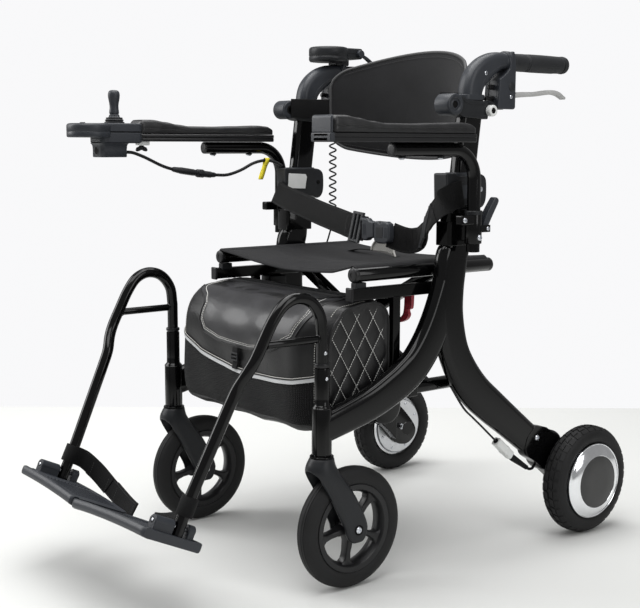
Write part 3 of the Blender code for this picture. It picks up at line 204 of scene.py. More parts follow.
def smooth(points, steps):
    # A smooth curve through points of any number of values
    points = [Vector(point) for point in points]
    padded = [2 * points[0] - points[1]] + points + [2 * points[-1] - points[-2]]
    result = []
    for index in range(1, len(padded) - 2):
        before, start, end, after = padded[index - 1:index + 3]
        for step in range(steps):
            t = step / steps
            bend = (2 * before - 5 * start + 4 * end - after) * t * t
            twist = (3 * start - before - 3 * end + after) * t ** 3
            result.append(0.5 * (2 * start + (end - before) * t + bend + twist))
    result.append(points[-1])
    return result


def outline_of(points, steps):
    return [(p[0], p[1]) for p in smooth(points, steps)]


def rounded_at(x, y, width, height, radius, steps):
    return [(x + a, y + b) for a, b in rounded(width, height, radius, steps)]


def shifted(points, x, y, z):
    return [point + Vector((x, y, z)) for point in points]


def evenly(low, span, steps):
    return [low + span * k / steps for k in range(steps + 1)]


def across_of(half, steps):
    # Even places from one side to the other, with the middle at zero
    return [half * (2 * k / steps - 1) for k in range(steps + 1)]


def net(points, columns, rows, up_axis):
    # The faces of points set column by column, and their places on the map
    faces = []
    spots = []
    for i in range(columns):
        for j in range(rows):
            face = tuple(a * (rows + 1) + b for a, b in ((i, j), (i + 1, j), (i + 1, j + 1), (i, j + 1)))
            faces.append(face)
            spots += [(points[k][0], points[k][up_axis]) for k in face]
    return faces, spots


def swept(name, path, sections, material, across=OUTWARD, sharp=35):
    # Sweeps a flat section, or one for each point, along a path; the first axis is the direction across
    path = [Vector(point) for point in path]
    across = Vector(across).normalized()
    rings = []
    for index, point in enumerate(path):
        tangent = (path[min(index + 1, len(path) - 1)] - path[max(index - 1, 0)]).normalized()
        up = tangent.cross(across).normalized()
        side = up.cross(tangent).normalized()
        section = sections[index] if isinstance(sections[0], list) else sections
        rings.append([point + side * a + up * b for a, b in section])
    return skin(name, rings, material, sharp=sharp)


def tube(name, path, radius, material, sides=24, across=OUTWARD):
    return swept(name, path, circle(radius, sides), material, across)


def axes_of(axis):
    axis = Vector(axis).normalized()
    helper = Vector(UPWARD) if abs(axis.z) < 0.9 else Vector(OUTWARD)
    first = helper.cross(axis).normalized()
    return axis, first, axis.cross(first)


def turned(name, profile, origin, axis, material, sides=48, loop=False, sharp=35):
    # Turns (radius, height) points about an axis through the origin given
    axis, first, second = axes_of(axis)
    origin = Vector(origin)
    rings = [[origin + axis * height + first * a + second * b for a, b in circle(radius, sides)]
            for radius, height in profile]
    return skin(name, rings, material, loop=loop, sharp=sharp)


def rod(name, start, end, radius, material, sides=24):
    # A round bar whose end edges are eased
    start = Vector(start)
    length = (Vector(end) - start).length
    edge = min(ROD_EDGE, radius * 0.4)
    profile = [(radius - edge, 0), (radius - edge * 0.3, edge * 0.3), (radius, edge),
            (radius, length - edge), (radius - edge * 0.3, length - edge * 0.3), (radius - edge, length)]
    return turned(name, profile, start, Vector(end) - start, material, sides, sharp=60)


def eased(piece, width):
    # Rounds the hard edges and keeps the flats flat
    bevel = piece.modifiers.new("edges", "BEVEL")
    bevel.width = width
    bevel.segments = 3
    bevel.limit_method = "ANGLE"
    bevel.angle_limit = math.radians(35)
    weigh = piece.modifiers.new("shade", "WEIGHTED_NORMAL")
    weigh.keep_sharp = False
    piece.data.set_sharp_from_angle(angle=math.pi)
    return piece


def prism(name, outline, axis, low, high, material, edge=0.001):
    # Extrudes an outline of the two other axes, in their X, Y, Z order
    rings = [[{"X": (height, a, b), "Y": (a, height, b), "Z": (a, b, height)}[axis] for a, b in outline]
            for height in (low, high)]
    made = skin(name, rings, material)
    return eased(made, edge) if edge else made


def block(name, low, high, material, edge=0.001):
    outline = [(low[0], low[1]), (high[0], low[1]), (high[0], high[1]), (low[0], high[1])]
    return prism(name, outline, "Z", low[2], high[2], material, edge)


def bake(piece):
    graph = bpy.context.evaluated_depsgraph_get()
    piece.data = bpy.data.meshes.new_from_object(piece.evaluated_get(graph))
    piece.modifiers.clear()
    return piece


def joined(name, parts):
    # One mesh from several pieces, which keep their materials
    materials = []
    bm = bmesh.new()
    for part in parts:
        bake(part)
        made = part.data.materials[0]
        if made not in materials:
            materials.append(made)
        start = len(bm.faces)
        bm.from_mesh(part.data)
        bm.faces.ensure_lookup_table()
        for face in bm.faces[start:]:
            face.material_index = materials.index(made)
    first = parts[0]
    mesh = bpy.data.meshes.new(name)
    bm.to_mesh(mesh)
    bm.free()
    for material in materials:
        mesh.materials.append(material)
    first.data = mesh
    first.name = name
    for part in parts[1:]:
        bpy.data.objects.remove(part)
    return first


def mirrored(source, name):
    # The same piece for the other side of the walker
    bake(source)
    mesh = source.data.copy()
    bm = bmesh.new()
    bm.from_mesh(mesh)
    bmesh.ops.transform(bm, matrix=Matrix.Scale(-1, 4, OUTWARD), verts=bm.verts)
    bmesh.ops.reverse_faces(bm, faces=bm.faces)
    bm.to_mesh(mesh)
    bm.free()
    made = bpy.data.objects.new(name, mesh)
    bpy.context.collection.objects.link(made)
    return made


def put(piece, body, nodes=()):
    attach(piece, body)
    if nodes:
        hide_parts(*nodes)
    return piece


def put_pair(piece, body, nodes=()):
    # Names, mirrors and places the left and the right copy
    stem = piece.name
    other = mirrored(piece, "right_" + stem)
    piece.name = "left_" + stem
    for side, made in (("left_", piece), ("right_", other)):
        put(made, side + body, [side + node for node in nodes])
    return piece, other


def both_sides(name, parts, body):
    # The joined parts take the place of the node of the same name on each side
    return put_pair(joined(name, parts), body, [name])


def one_piece(name, parts, body):
    return put(joined(name, parts), body, [name])


def other_side(source, name, body):
    # Places the mirrored copy alone
    made = put(mirrored(source, name), body, [name])
    bpy.data.objects.remove(source)
    return made


def screw(name, place, axis, radius, material, proud=None):
    # A domed head with a round socket
    proud = proud or radius * 0.55
    profile = [(radius * 0.42, proud * 0.35), (radius * 0.42, proud * 0.97), (radius * 0.55, proud),
            (radius * 0.8, proud * 0.86), (radius * 0.96, proud * 0.5), (radius, 0.0), (radius, -0.0005)]
    return turned(name, profile, place, axis, material, 20, sharp=50)


def dashes(name, lines, length, gap, radius, material, sides=5):
    # Stitches: short rounded dashes along each line of points
    points = []
    faces = []
    for line in lines:
        line = [Vector(point) for point in line]
        reach = [0.0]
        for here, after in zip(line, line[1:]):
            reach.append(reach[-1] + (after - here).length)

        def at(distance):
            for index in range(len(line) - 1):
                if distance <= reach[index + 1] or index == len(line) - 2:
                    span = max(reach[index + 1] - reach[index], 1e-9)
                    return line[index].lerp(line[index + 1], (distance - reach[index]) / span)

        start = gap / 2
        while start + length <= reach[-1]:
            ends = (at(start), at(start + length))
            _, first, second = axes_of(ends[1] - ends[0])
            base = len(points)
            for share, size in ((0, 0.3), (0.2, 1.0), (0.8, 1.0), (1, 0.3)):
                middle = ends[0].lerp(ends[1], share)
                points += [middle + (first * a + second * b) * size for a, b in circle(radius, sides)]
            for row in range(3):
                for step in range(sides):
                    after = (step + 1) % sides
                    faces.append((base + row * sides + step, base + row * sides + after,
                            base + (row + 1) * sides + after, base + (row + 1) * sides + step))
            faces.append(tuple(base + step for step in range(sides)))
            faces.append(tuple(base + 3 * sides + step for step in range(sides)))
            start += length + gap
    return mesh_piece(name, points, faces, material, sharp=80)


# Materials: each one has its own grain, tint and roughness, from its surface's place in metres

def set_inputs(node, **values):
    for key, value in values.items():
        node.inputs[key.replace("_", " ")].default_value = value


def link(tree, source, output, target, entry):
    tree.links.new(source.outputs[output], target.inputs[entry])


def add(tree, kind, settings=None, **values):
    made = tree.nodes.new(kind)
    for key, value in (settings or {}).items():
        setattr(made, key, value)
    set_inputs(made, **values)
    return made


def start_material(name, roughness, metallic=0.0, coat=0.0, sheen=0.0, specular=0.5):
    made = bpy.data.materials.new(name)
    made.use_nodes = True
    tree = made.node_tree
    shader = tree.nodes["Principled BSDF"]
    set_inputs(shader, Roughness=roughness, Metallic=metallic, Coat_Weight=coat, Coat_Roughness=0.06)
    set_inputs(shader, Sheen_Weight=sheen, Sheen_Roughness=0.5, Specular_IOR_Level=specular)
    return made, tree, shader


def shade(color, factor):
    return tuple(min(1.0, value * factor) for value in color) + (1.0,)


def patchy(tree, shader, color, roughness, scale, tint, spread):
    # Slow changes of tint and roughness over the surface
    place = add(tree, "ShaderNodeTexCoord")
    cloud = add(tree, "ShaderNodeTexNoise", Scale=scale, Detail=5.0, Roughness=0.6)
    ramp = add(tree, "ShaderNodeValToRGB")
    for stop, place_on_ramp, factor in zip(ramp.color_ramp.elements, (0.35, 0.7), (1 - tint, 1 + tint)):
        stop.position = place_on_ramp
        stop.color = shade(color, factor)
    low = max(0.02, roughness - spread)
    high = min(1.0, roughness + spread)
    rough = add(tree, "ShaderNodeMapRange", From_Min=0.3, From_Max=0.7, To_Min=low, To_Max=high)
    link(tree, place, "Object", cloud, "Vector")
    link(tree, cloud, "Fac", ramp, "Fac")
    link(tree, cloud, "Fac", rough, "Value")
    link(tree, ramp, "Color", shader, "Base Color")
    link(tree, rough, "Result", shader, "Roughness")
    return place


def bumped(tree, shader, height, strength, distance):
    bump = add(tree, "ShaderNodeBump", Strength=strength, Distance=distance)
    tree.links.new(height, bump.inputs["Height"])
    link(tree, bump, "Normal", shader, "Normal")


def grained(name, color, roughness, metallic=0.0, coat=0.0, specular=0.5, patches=(14.0, 0.12, 0.05),
        grain=1500.0, strength=0.12):
    # Paint, plastic and rubber: a fine grain over slow patches
    made, tree, shader = start_material(name, roughness, metallic, coat, specular=specular)
    place = patchy(tree, shader, color, roughness, *patches)
    noise = add(tree, "ShaderNodeTexNoise", Scale=grain, Detail=3.0, Roughness=0.55)
    link(tree, place, "Object", noise, "Vector")
    bumped(tree, shader, noise.outputs["Fac"], strength, 0.0003)
    return made


def woven(name, color, roughness, pitch, strength, sheen=0.2, tint=0.18, coordinates="UV"):
    # Cloth: warp and weft as two crossed waves, on the map's metres
    made, tree, shader = start_material(name, roughness, sheen=sheen, specular=0.15)
    place = patchy(tree, shader, color, roughness, 22.0, tint, 0.05)
    wave_scale = 0.314 / pitch
    warp = add(tree, "ShaderNodeTexWave", {"bands_direction": "X"}, Scale=wave_scale, Distortion=0.6)
    weft = add(tree, "ShaderNodeTexWave", {"bands_direction": "Y"}, Scale=wave_scale, Distortion=0.6)
    both = add(tree, "ShaderNodeMath", {"operation": "MULTIPLY"})
    for wave in (warp, weft):
        link(tree, place, coordinates, wave, "Vector")
    link(tree, warp, "Fac", both, 0)
    link(tree, weft, "Fac", both, 1)
    bumped(tree, shader, both.outputs["Value"], strength, pitch * 0.5)
    return made


def ribbed(name, color, roughness, pitch, strength, sheen=0.15):
    # Webbing: close ribs across its length, with a finer weave between them
    made, tree, shader = start_material(name, roughness, sheen=sheen, specular=0.15)
    place = patchy(tree, shader, color, roughness, 30.0, 0.2, 0.06)
    rib = add(tree, "ShaderNodeTexWave", {"bands_direction": "X"}, Scale=0.314 / pitch, Distortion=0.4)
    fine = add(tree, "ShaderNodeTexWave", {"bands_direction": "DIAGONAL"}, Scale=0.9 / pitch,
            Distortion=1.0)
    mix = add(tree, "ShaderNodeMath", {"operation": "MULTIPLY_ADD"})
    mix.inputs[1].default_value = 0.35
    for wave in (rib, fine):
        link(tree, place, "UV", wave, "Vector")
    link(tree, fine, "Fac", mix, 0)
    link(tree, rib, "Fac", mix, 2)
    bumped(tree, shader, mix.outputs["Value"], strength, pitch * 0.5)
    return made


def leathery(name, color, roughness, scale=900.0, strength=0.25, coat=0.05):
    # Coated cloth: fine pebbles and a few soft creases
    made, tree, shader = start_material(name, roughness, coat=coat, specular=0.4)
    place = patchy(tree, shader, color, roughness, 16.0, 0.25, 0.07)
    pebble = add(tree, "ShaderNodeTexVoronoi", Scale=scale)
    crease = add(tree, "ShaderNodeTexNoise", Scale=26.0, Detail=3.0, Distortion=0.8)
    mix = add(tree, "ShaderNodeMath", {"operation": "MULTIPLY_ADD"})
    mix.inputs[1].default_value = 6.0
    for texture in (pebble, crease):
        link(tree, place, "Object", texture, "Vector")
    link(tree, crease, "Fac", mix, 0)
    link(tree, pebble, "Distance", mix, 2)
    bumped(tree, shader, mix.outputs["Value"], strength, 0.0006)
    return made


def brushed(name, color, roughness, middle, strength):
    # Turned metal: fine rings about an axle that runs across
    made, tree, shader = start_material(name, roughness, metallic=1.0)
    place = patchy(tree, shader, color, roughness, 40.0, 0.05, 0.06)
    shift = add(tree, "ShaderNodeMapping")
    shift.inputs["Location"].default_value = [-value for value in middle]
    wave = add(tree, "ShaderNodeTexWave", {"wave_type": "RINGS", "rings_direction": "X"}, Scale=260.0,
            Distortion=2.0, Detail=2.0)
    link(tree, place, "Object", shift, "Vector")
    link(tree, shift, "Vector", wave, "Vector")
    bumped(tree, shader, wave.outputs["Fac"], strength, 0.0001)
    return made


PAINT = grained("gloss_black_paint", (0.0018, 0.0018, 0.002), 0.12, coat=0.13, specular=0.22,
        patches=(9.0, 0.1, 0.03), grain=420.0, strength=0.03)
SATIN = grained("satin_black_plastic", (0.012, 0.013, 0.015), 0.42, specular=0.3,
        patches=(20.0, 0.15, 0.06), grain=2200.0, strength=0.15)
GREY = grained("grey_plastic", (0.026, 0.029, 0.035), 0.4, specular=0.35, patches=(18.0, 0.1, 0.05),
        grain=2400.0, strength=0.12)
# Near black: the real black of ties, plugs and seams, and painted shade filling holes, sockets, slots and
# gaps
DARK = grained("black_and_painted_hole_shade", (0.004, 0.004, 0.004), 0.8, specular=0.15, grain=1500.0)
GRIP = grained("grip_rubber", (0.015, 0.016, 0.018), 0.55, specular=0.3, patches=(25.0, 0.15, 0.08),
        grain=1800.0, strength=0.2)
TYRE = grained("tyre_rubber", (0.012, 0.012, 0.0125), 0.62, specular=0.25, patches=(30.0, 0.3, 0.12),
        grain=900.0, strength=0.22)
RIM = grained("wheel_plastic", (0.009, 0.009, 0.01), 0.36, specular=0.35, patches=(16.0, 0.1, 0.05),
        grain=1600.0, strength=0.08)
LEVER = grained("lever_grey", (0.42, 0.42, 0.415), 0.42, patches=(30.0, 0.04, 0.05), grain=1600.0,
        strength=0.08)
WHITE = grained("white_plastic", (0.72, 0.73, 0.72), 0.38, patches=(30.0, 0.04, 0.05), grain=1600.0,
        strength=0.06)
ZINC = grained("zinc_screw", (0.66, 0.68, 0.72), 0.28, metallic=1.0, grain=2500.0, strength=0.08)
RED = grained("red_lever", (0.42, 0.012, 0.035), 0.35, coat=0.2, grain=1500.0, strength=0.06)
TAG = grained("yellow_tag", (0.83, 0.7, 0.03), 0.55, patches=(60.0, 0.06, 0.05), grain=900.0, strength=0.1)
CORD = grained("cord_rubber", (0.0085, 0.0085, 0.0095), 0.48, specular=0.3, grain=2600.0, strength=0.1)
CLOTH = woven("matte_cloth", (0.015, 0.015, 0.016), 0.85, 0.0011, 0.35, sheen=0.06)
SEAT_CLOTH = woven("seat_cloth", (0.011, 0.011, 0.0122), 0.62, 0.0008, 0.25, sheen=0.03)
MESH = woven("mesh_cloth", (0.006, 0.006, 0.0066), 0.6, 0.003, 1.0, sheen=0.04, tint=0.35)
LEATHER = leathery("bag_leather", (0.006, 0.006, 0.0066), 0.38)
PAD_LEATHER = leathery("pad_leather", (0.0105, 0.0105, 0.0115), 0.42, 700.0, 0.12)
WEB = ribbed("webbing", (0.0036, 0.0036, 0.004), 0.66, 0.0016, 0.6, sheen=0.03)
THREAD = grained("white_thread", (0.62, 0.62, 0.6), 0.7, grain=3000.0, strength=0.2)
DARK_THREAD = grained("black_thread", (0.035, 0.035, 0.036), 0.6, grain=3000.0, strength=0.2)
BAND = woven("silver_band", (0.62, 0.63, 0.64), 0.38, 0.0008, 0.3, sheen=0.0, tint=0.08)
POLISH = brushed("polished_hub", (0.86, 0.87, 0.89), 0.13, REAR_AXLE, strength=0.02)
DISC = brushed("brushed_disc", (0.62, 0.63, 0.65), 0.34, REAR_AXLE, strength=0.1)
PALE = grained("pale_piping", (0.56, 0.55, 0.52), 0.6, grain=1500.0, strength=0.15)
PALE_NET = woven("pale_net", (0.2, 0.196, 0.186), 0.7, 0.0026, 1.0, coordinates="Object", tint=0.3)
FLAP_LEATHER = leathery("flap_leather", (0.024, 0.024, 0.026), 0.36, 820.0, 0.22, 0.1)
HUB_PLATE = grained("hub_plate", (0.03, 0.03, 0.03), 0.38, patches=(45.0, 0.2, 0.08), grain=1200.0,
        strength=0.12)


def dark_seam(name, lines, radius):
    return dashes(name, lines, 0.003, 0.0012, radius, DARK_THREAD, 4)


def strip(name, path, width, thick, corner, across=OUTWARD):
    # Flat webbing along a path
    return swept(name, path, rounded(width, thick, corner, 3), WEB, across, sharp=60)


# Side frames: two curved oval legs, the head tube, brace rails and the armrest socket

def on_post(height):
    return POST_REF + POST_LEAN * ((height - POST_REF.z) / POST_LEAN.z)


def leg(name, points, thick):
    # Points are (Y, Z, depth of the oval)
    rows = smooth(points, 7)
    path = [(FRAME_X, row[0], row[1]) for row in rows]
    sections = [rounded(thick, row[2], thick * 0.46, 6) for row in rows]
    return swept(name, path, sections, PAINT)


def side_frame():
    rear = leg("rear_leg", [(0.0985, 0.612, 0.056), (0.0985, 0.547, 0.056), (0.092, 0.526, 0.063),
            (0.088, 0.5, 0.062), (0.085, 0.47, 0.061), (0.085, 0.432, 0.06), (0.092, 0.39, 0.06),
            (0.103, 0.358, 0.06), (0.123, 0.324, 0.062), (0.153, 0.289, 0.063), (0.191, 0.258, 0.062),
            (0.235, 0.225, 0.058), (0.285, 0.187, 0.055)], LEG_THICK)
    front = leg("front_leg", [(0.087, 0.505, 0.052), (0.076, 0.464, 0.058), (0.06, 0.424, 0.059),
            (0.04, 0.387, 0.06), (0.015, 0.355, 0.06), (-0.01, 0.335, 0.06), (-0.04, 0.318, 0.058),
            (-0.093, 0.295, 0.054), (CASTER.y, 0.27, 0.048)], LEG_THICK - 0.001)
    head = turned("head_tube", [(0.0125, 0.2287), (0.0152, 0.2292), (0.016, 0.23), (0.016, 0.304),
            (0.0155, 0.306), (0.013, 0.3088), (0.0122, 0.31), (0.012, 0.32), (0.012, 0.366),
            (0.0116, 0.3676), (0.0102, RECEIVER_HIGH), (0.0102, 0.36)], CASTER_COLUMN, UPWARD, PAINT, 40)
    sleeve = prism("sleeve", rounded_at(FRAME_X, 0.1, 0.036, 0.062, 0.0065, 4), "Z", 0.547, 0.587, PAINT,
            0.0012)
    collar_seat = prism("collar_seat", rounded_at(FRAME_X, 0.0985, 0.0315, 0.0575, 0.012, 5), "Z", 0.606,
            0.6118, PAINT, 0.0008)
    rail = block("rail", (PIVOT_X - 0.003, -0.109, RAIL_LOW), (PIVOT_X + 0.011, 0.085, RAIL_HIGH), PAINT,
            0.0018)
    saddle = block("saddle", (PIVOT_X - 0.007, -0.096, 0.48),
            (PIVOT_X + 0.007, -0.074, SEAT_Z - SEAT_R - 0.0006), SATIN, 0.0015)
    rail_end = block("rail_end", (PIVOT_X - 0.0045, -0.1095, 0.4625), (PIVOT_X + 0.0125, -0.1045, 0.4855),
            RIM, 0.002)
    rail_bracket = block("rail_bracket", (PIVOT_X + 0.009, 0.06, 0.466), (FRAME_X - 0.005, 0.083, 0.482),
            PAINT)
    upright = block("upright", (PIVOT_X, -0.02, 0.325), (PIVOT_X + 0.012, -0.004, 0.466), PAINT, 0.0015)
    front_foot = block("front_foot", (PIVOT_X - 0.011, 0.008, 0.294), (FRAME_X - 0.008, 0.0285, 0.35),
            PAINT, 0.003)
    upright_foot = block("upright_foot", (PIVOT_X + 0.002, -0.019, 0.326), (FRAME_X - 0.006, -0.005, 0.344),
            PAINT)
    rear_foot = block("rear_foot", (PIVOT_X - 0.011, 0.1285, 0.294), (FRAME_X - 0.006, 0.146, 0.316), PAINT,
            0.003)
    pivots = [rod("pivot", (PIVOT_X, 0.0285, PIVOT_Z), (PIVOT_X, 0.0295, PIVOT_Z), 0.0075, ZINC),
            rod("pivot", (PIVOT_X, 0.1275, PIVOT_Z), (PIVOT_X, 0.1288, PIVOT_Z), 0.0075, ZINC)]
    socket = turned("socket", [(0.0125, 0.552), (0.0138, 0.5524), (SOCKET_R, 0.5536), (SOCKET_R, 0.6044),
            (0.0138, 0.6056), (0.0125, 0.606)], (ARM_X, SOCKET_Y, 0), UPWARD, PAINT, 40)
    web = block("socket_web", (FRAME_X + 0.012, 0.0855, 0.556), (ARM_X - 0.006, 0.1075, 0.602), PAINT,
            0.002)
    ear_plate = block("socket_ear", (ARM_X - 0.004, 0.06, 0.584), (ARM_X + 0.012, 0.09, 0.6), PAINT, 0.0025)
    mouth = turned("socket_mouth", [(0.0119, 0.6), (0.0119, 0.6068), (0.014, 0.6068), (0.015, 0.6055),
            (0.015, 0.6)], (ARM_X, SOCKET_Y, 0), UPWARD, SATIN, 32, loop=True)
    ears = [block("ear", (x, 0.1, CLAMP_PIVOT.z - 0.006), (x + 0.003, 0.1235, CLAMP_PIVOT.z + 0.006), PAINT,
            0.001) for x in (ARM_X - 0.0145, ARM_X + 0.0115)]
    release = turned("receiver_button", [(0.003, 0), (0.003, 0.0015), (0.002, 0.0024), (0.0006, 0.0027)],
            (CASTER.x + 0.0115, CASTER.y, 0.352), (1, 0, 0.02), ZINC, 14)
    welds = [turned("weld", [(0.0158, 0.303), (0.0166, 0.3045), (0.015, 0.3065)], CASTER_COLUMN, UPWARD,
            PAINT, 40)]
    parts = [rear, front, head, sleeve, collar_seat, rail, saddle, rail_end, rail_bracket, upright,
            front_foot, upright_foot, rear_foot, socket, web, ear_plate, mouth,
            release] + ears + pivots + welds
    both_sides("side_frame", parts, "frame")
    screws = [screw("socket_screw", (ARM_X + 0.0118, 0.0665, 0.592), OUTWARD, 0.0046, ZINC),
            screw("socket_screw", (ARM_X + SOCKET_R - 0.0004, 0.0985, 0.5625), OUTWARD, 0.005, ZINC),
            screw("foot_screw", (FRAME_X - 0.0195, 0.0185, 0.336), INWARD, 0.0042, ZINC)]
    put_pair(joined("frame_screws", screws), "frame")


side_frame()


# Casters

def caster():
    y, z = CASTER_AXLE.y, CASTER_AXLE.z
    inner = CASTER_HALF + 0.0025
    blade = 0.0075
    # Height, front edge, rear edge and half width of the fork's outer skin
    rows = smooth([(0.0785, -0.133, -0.1225, 0.0235), (0.08, -0.1385, -0.1165, 0.0252),
            (0.086, -0.1445, -0.1105, 0.026), (0.096, -0.1488, -0.1062, 0.026),
            (0.107, -0.1522, -0.106, 0.026), (0.1308, -0.1655, -0.115, 0.026),
            (0.1553, -0.1805, -0.1265, 0.026), (0.1731, -0.192, -0.137, 0.026),
            (0.188, -0.2025, -0.1475, 0.0258), (0.2, -0.2088, -0.1555, 0.0248),
            (0.21, -0.209, -0.1605, 0.023), (0.218, -0.2055, -0.1625, 0.0208),
            (0.2225, -0.2028, -0.1632, 0.0196), (0.224, -0.2015, -0.1645, 0.0183)], 3)
    rings = []
    for row in rows:
        deep = row[2] - row[1]
        corner = min(row[3], deep / 2) * (0.3 + 0.68 * min(1.0, max(0.0, (row[0] - 0.12) / 0.09)))
        rings.append([Vector((CASTER.x + a, (row[1] + row[2]) / 2 + b, row[0]))
                for a, b in rounded(2 * row[3], deep, corner, 6)])
    body = skin("fork_body", rings, SATIN, sharp=70)
    arch = [(CASTER.x - inner, 0.05), (CASTER.x + inner, 0.05)]
    arch += [(CASTER.x + inner * math.cos(turn * math.pi / 12),
            0.192 + 0.013 * math.sin(turn * math.pi / 12)) for turn in range(13)]
    room = prism("fork_room", arch, "Y", -0.26, -0.05, SATIN, 0)
    hollow = body.modifiers.new("room", "BOOLEAN")
    hollow.operation = "DIFFERENCE"
    hollow.solver = "EXACT"
    hollow.object = room
    bake(body)
    bpy.data.objects.remove(room)
    neck = turned("fork_neck", [(0.016, 0.2225), (0.0176, 0.2236), (0.0168, 0.225)], CASTER_COLUMN, UPWARD,
            SATIN, 40)
    ring = turned("fork_ring", [(0.016, 0.2232), (0.0186, 0.2238), (0.0194, 0.225), (0.019, 0.2268),
            (0.0172, 0.2279), (0.015, 0.2283)], CASTER_COLUMN, UPWARD, PAINT, 40)
    race = turned("fork_race", [(0.0138, 0.227), (0.014, 0.2284), (0.012, 0.2285)], CASTER_COLUMN, UPWARD,
            ZINC, 32)
    outer = CASTER.x + inner + blade
    # A near-black ring round the axle bolt: painted shade in its recess
    recess = turned("bolt_recess_shade", [(0.0074, 0.0002), (0.0085, 0.0005), (0.0088, -0.001)], (outer, y, z),
            OUTWARD, DARK)
    heads = [screw("axle_bolt", (outer, y, z), OUTWARD, 0.0056, ZINC, 0.0019),
            screw("axle_nut", (CASTER.x - inner - blade, y, z), INWARD, 0.0056, ZINC, 0.0019)]
    both_sides("caster_fork", [body, neck, ring, race, recess] + heads, "caster")

    half = CASTER_HALF
    tyre = turned("caster_tyre", [(WHEEL_R - 0.0002, -0.003), (WHEEL_R, -0.0018), (WHEEL_R, 0.0018),
            (WHEEL_R - 0.0002, 0.003), (WHEEL_R - 0.0012, 0.0036), (WHEEL_R - 0.0004, 0.0042),
            (WHEEL_R - 0.0008, 0.0068), (WHEEL_R - 0.0022, 0.0074), (WHEEL_R - 0.0016, 0.0082),
            (WHEEL_R - 0.0034, 0.011), (WHEEL_R - 0.0072, 0.0138), (WHEEL_R - 0.013, 0.0155), (0.08, half),
            (0.0748, half - 0.0006), (0.0736, half - 0.0022), (0.07, half - 0.0024), (0.07, -half + 0.0024),
            (0.0736, -half + 0.0022), (0.0748, -half + 0.0006), (0.08, -half), (WHEEL_R - 0.013, -0.0155),
            (WHEEL_R - 0.0072, -0.0138), (WHEEL_R - 0.0034, -0.011), (WHEEL_R - 0.0016, -0.0082),
            (WHEEL_R - 0.0022, -0.0074), (WHEEL_R - 0.0008, -0.0068), (WHEEL_R - 0.0004, -0.0042),
            (WHEEL_R - 0.0012, -0.0036)], CASTER_AXLE, OUTWARD, TYRE, 96, loop=True, sharp=50)
    rim = turned("caster_rim", [(0.073, half - 0.002), (0.0722, half - 0.0008), (0.064, half - 0.001),
            (0.0628, half - 0.0022), (0.0612, 0.008), (0.059, 0.005), (0.059, -0.005), (0.0612, -0.008),
            (0.0628, -half + 0.0022), (0.064, -half + 0.001), (0.0722, -half + 0.0008),
            (0.073, -half + 0.002)], CASTER_AXLE, OUTWARD, RIM, 96, loop=True, sharp=40)
    hub = turned("caster_hub", [(0.006, -half), (0.0135, -half), (0.015, -half + 0.0015), (0.0165, -0.009),
            (0.0165, 0.009), (0.015, half - 0.0015), (0.0135, half), (0.006, half)], CASTER_AXLE, OUTWARD,
            RIM, 40, loop=True)
    spokes = []
    for spoke in range(5):
        turn = FULL_TURN * (spoke + 0.5) / 5 + 0.17
        along = Vector((0, math.cos(turn), math.sin(turn)))
        across = Vector((0, -math.sin(turn), math.cos(turn)))
        rings = []
        for radius, wide, thick in ((0.014, 0.0075, 0.012), (0.024, 0.0052, 0.01), (0.042, 0.0048, 0.0085),
                (0.053, 0.0062, 0.0085), (0.058, 0.0095, 0.009), (0.0612, 0.015, 0.0095)):
            rings.append([CASTER_AXLE + along * radius + across * b + Vector((a, 0, 0))
                    for a, b in rounded(2 * thick, 2 * wide, 0.003, 3)])
        spokes.append(skin("spoke", rings, RIM, sharp=50))
    both_sides("caster_wheel", [tyre, rim, hub] + spokes, "caster_wheel")


caster()


# Drive wheels: a block tread, a polished conical cover outside and a brushed screwed cover inside

TREAD_BLOCKS = 34


def tread_block(points, faces, low_x, high_x, turn_low, turn_high, skew, inner, outer, drop):
    # One rubber block between two angles; skew leans its edges, drop lowers its outer side
    base = len(points)
    for radius, ease in ((inner, 0.0), (outer, 0.06)):
        for x, side in ((low_x, 0), (high_x, 1)):
            for angle, end in ((turn_low, 1), (turn_high, -1)):
                edge = (high_x - low_x) * ease * (1 if side == 0 else -1)
                lower = drop if side == 1 else 0.0
                spin = angle + end * ease * (turn_high - turn_low) + skew * side
                reach = radius - (lower if radius == outer else 0.0)
                place = Vector((x + edge, reach * math.cos(spin), reach * math.sin(spin)))
                points.append(REAR_AXLE + place)
    for face in ((0, 1, 3, 2), (4, 6, 7, 5), (0, 4, 5, 1), (2, 3, 7, 6), (0, 2, 6, 4), (1, 5, 7, 3)):
        faces.append(tuple(base + k for k in face))


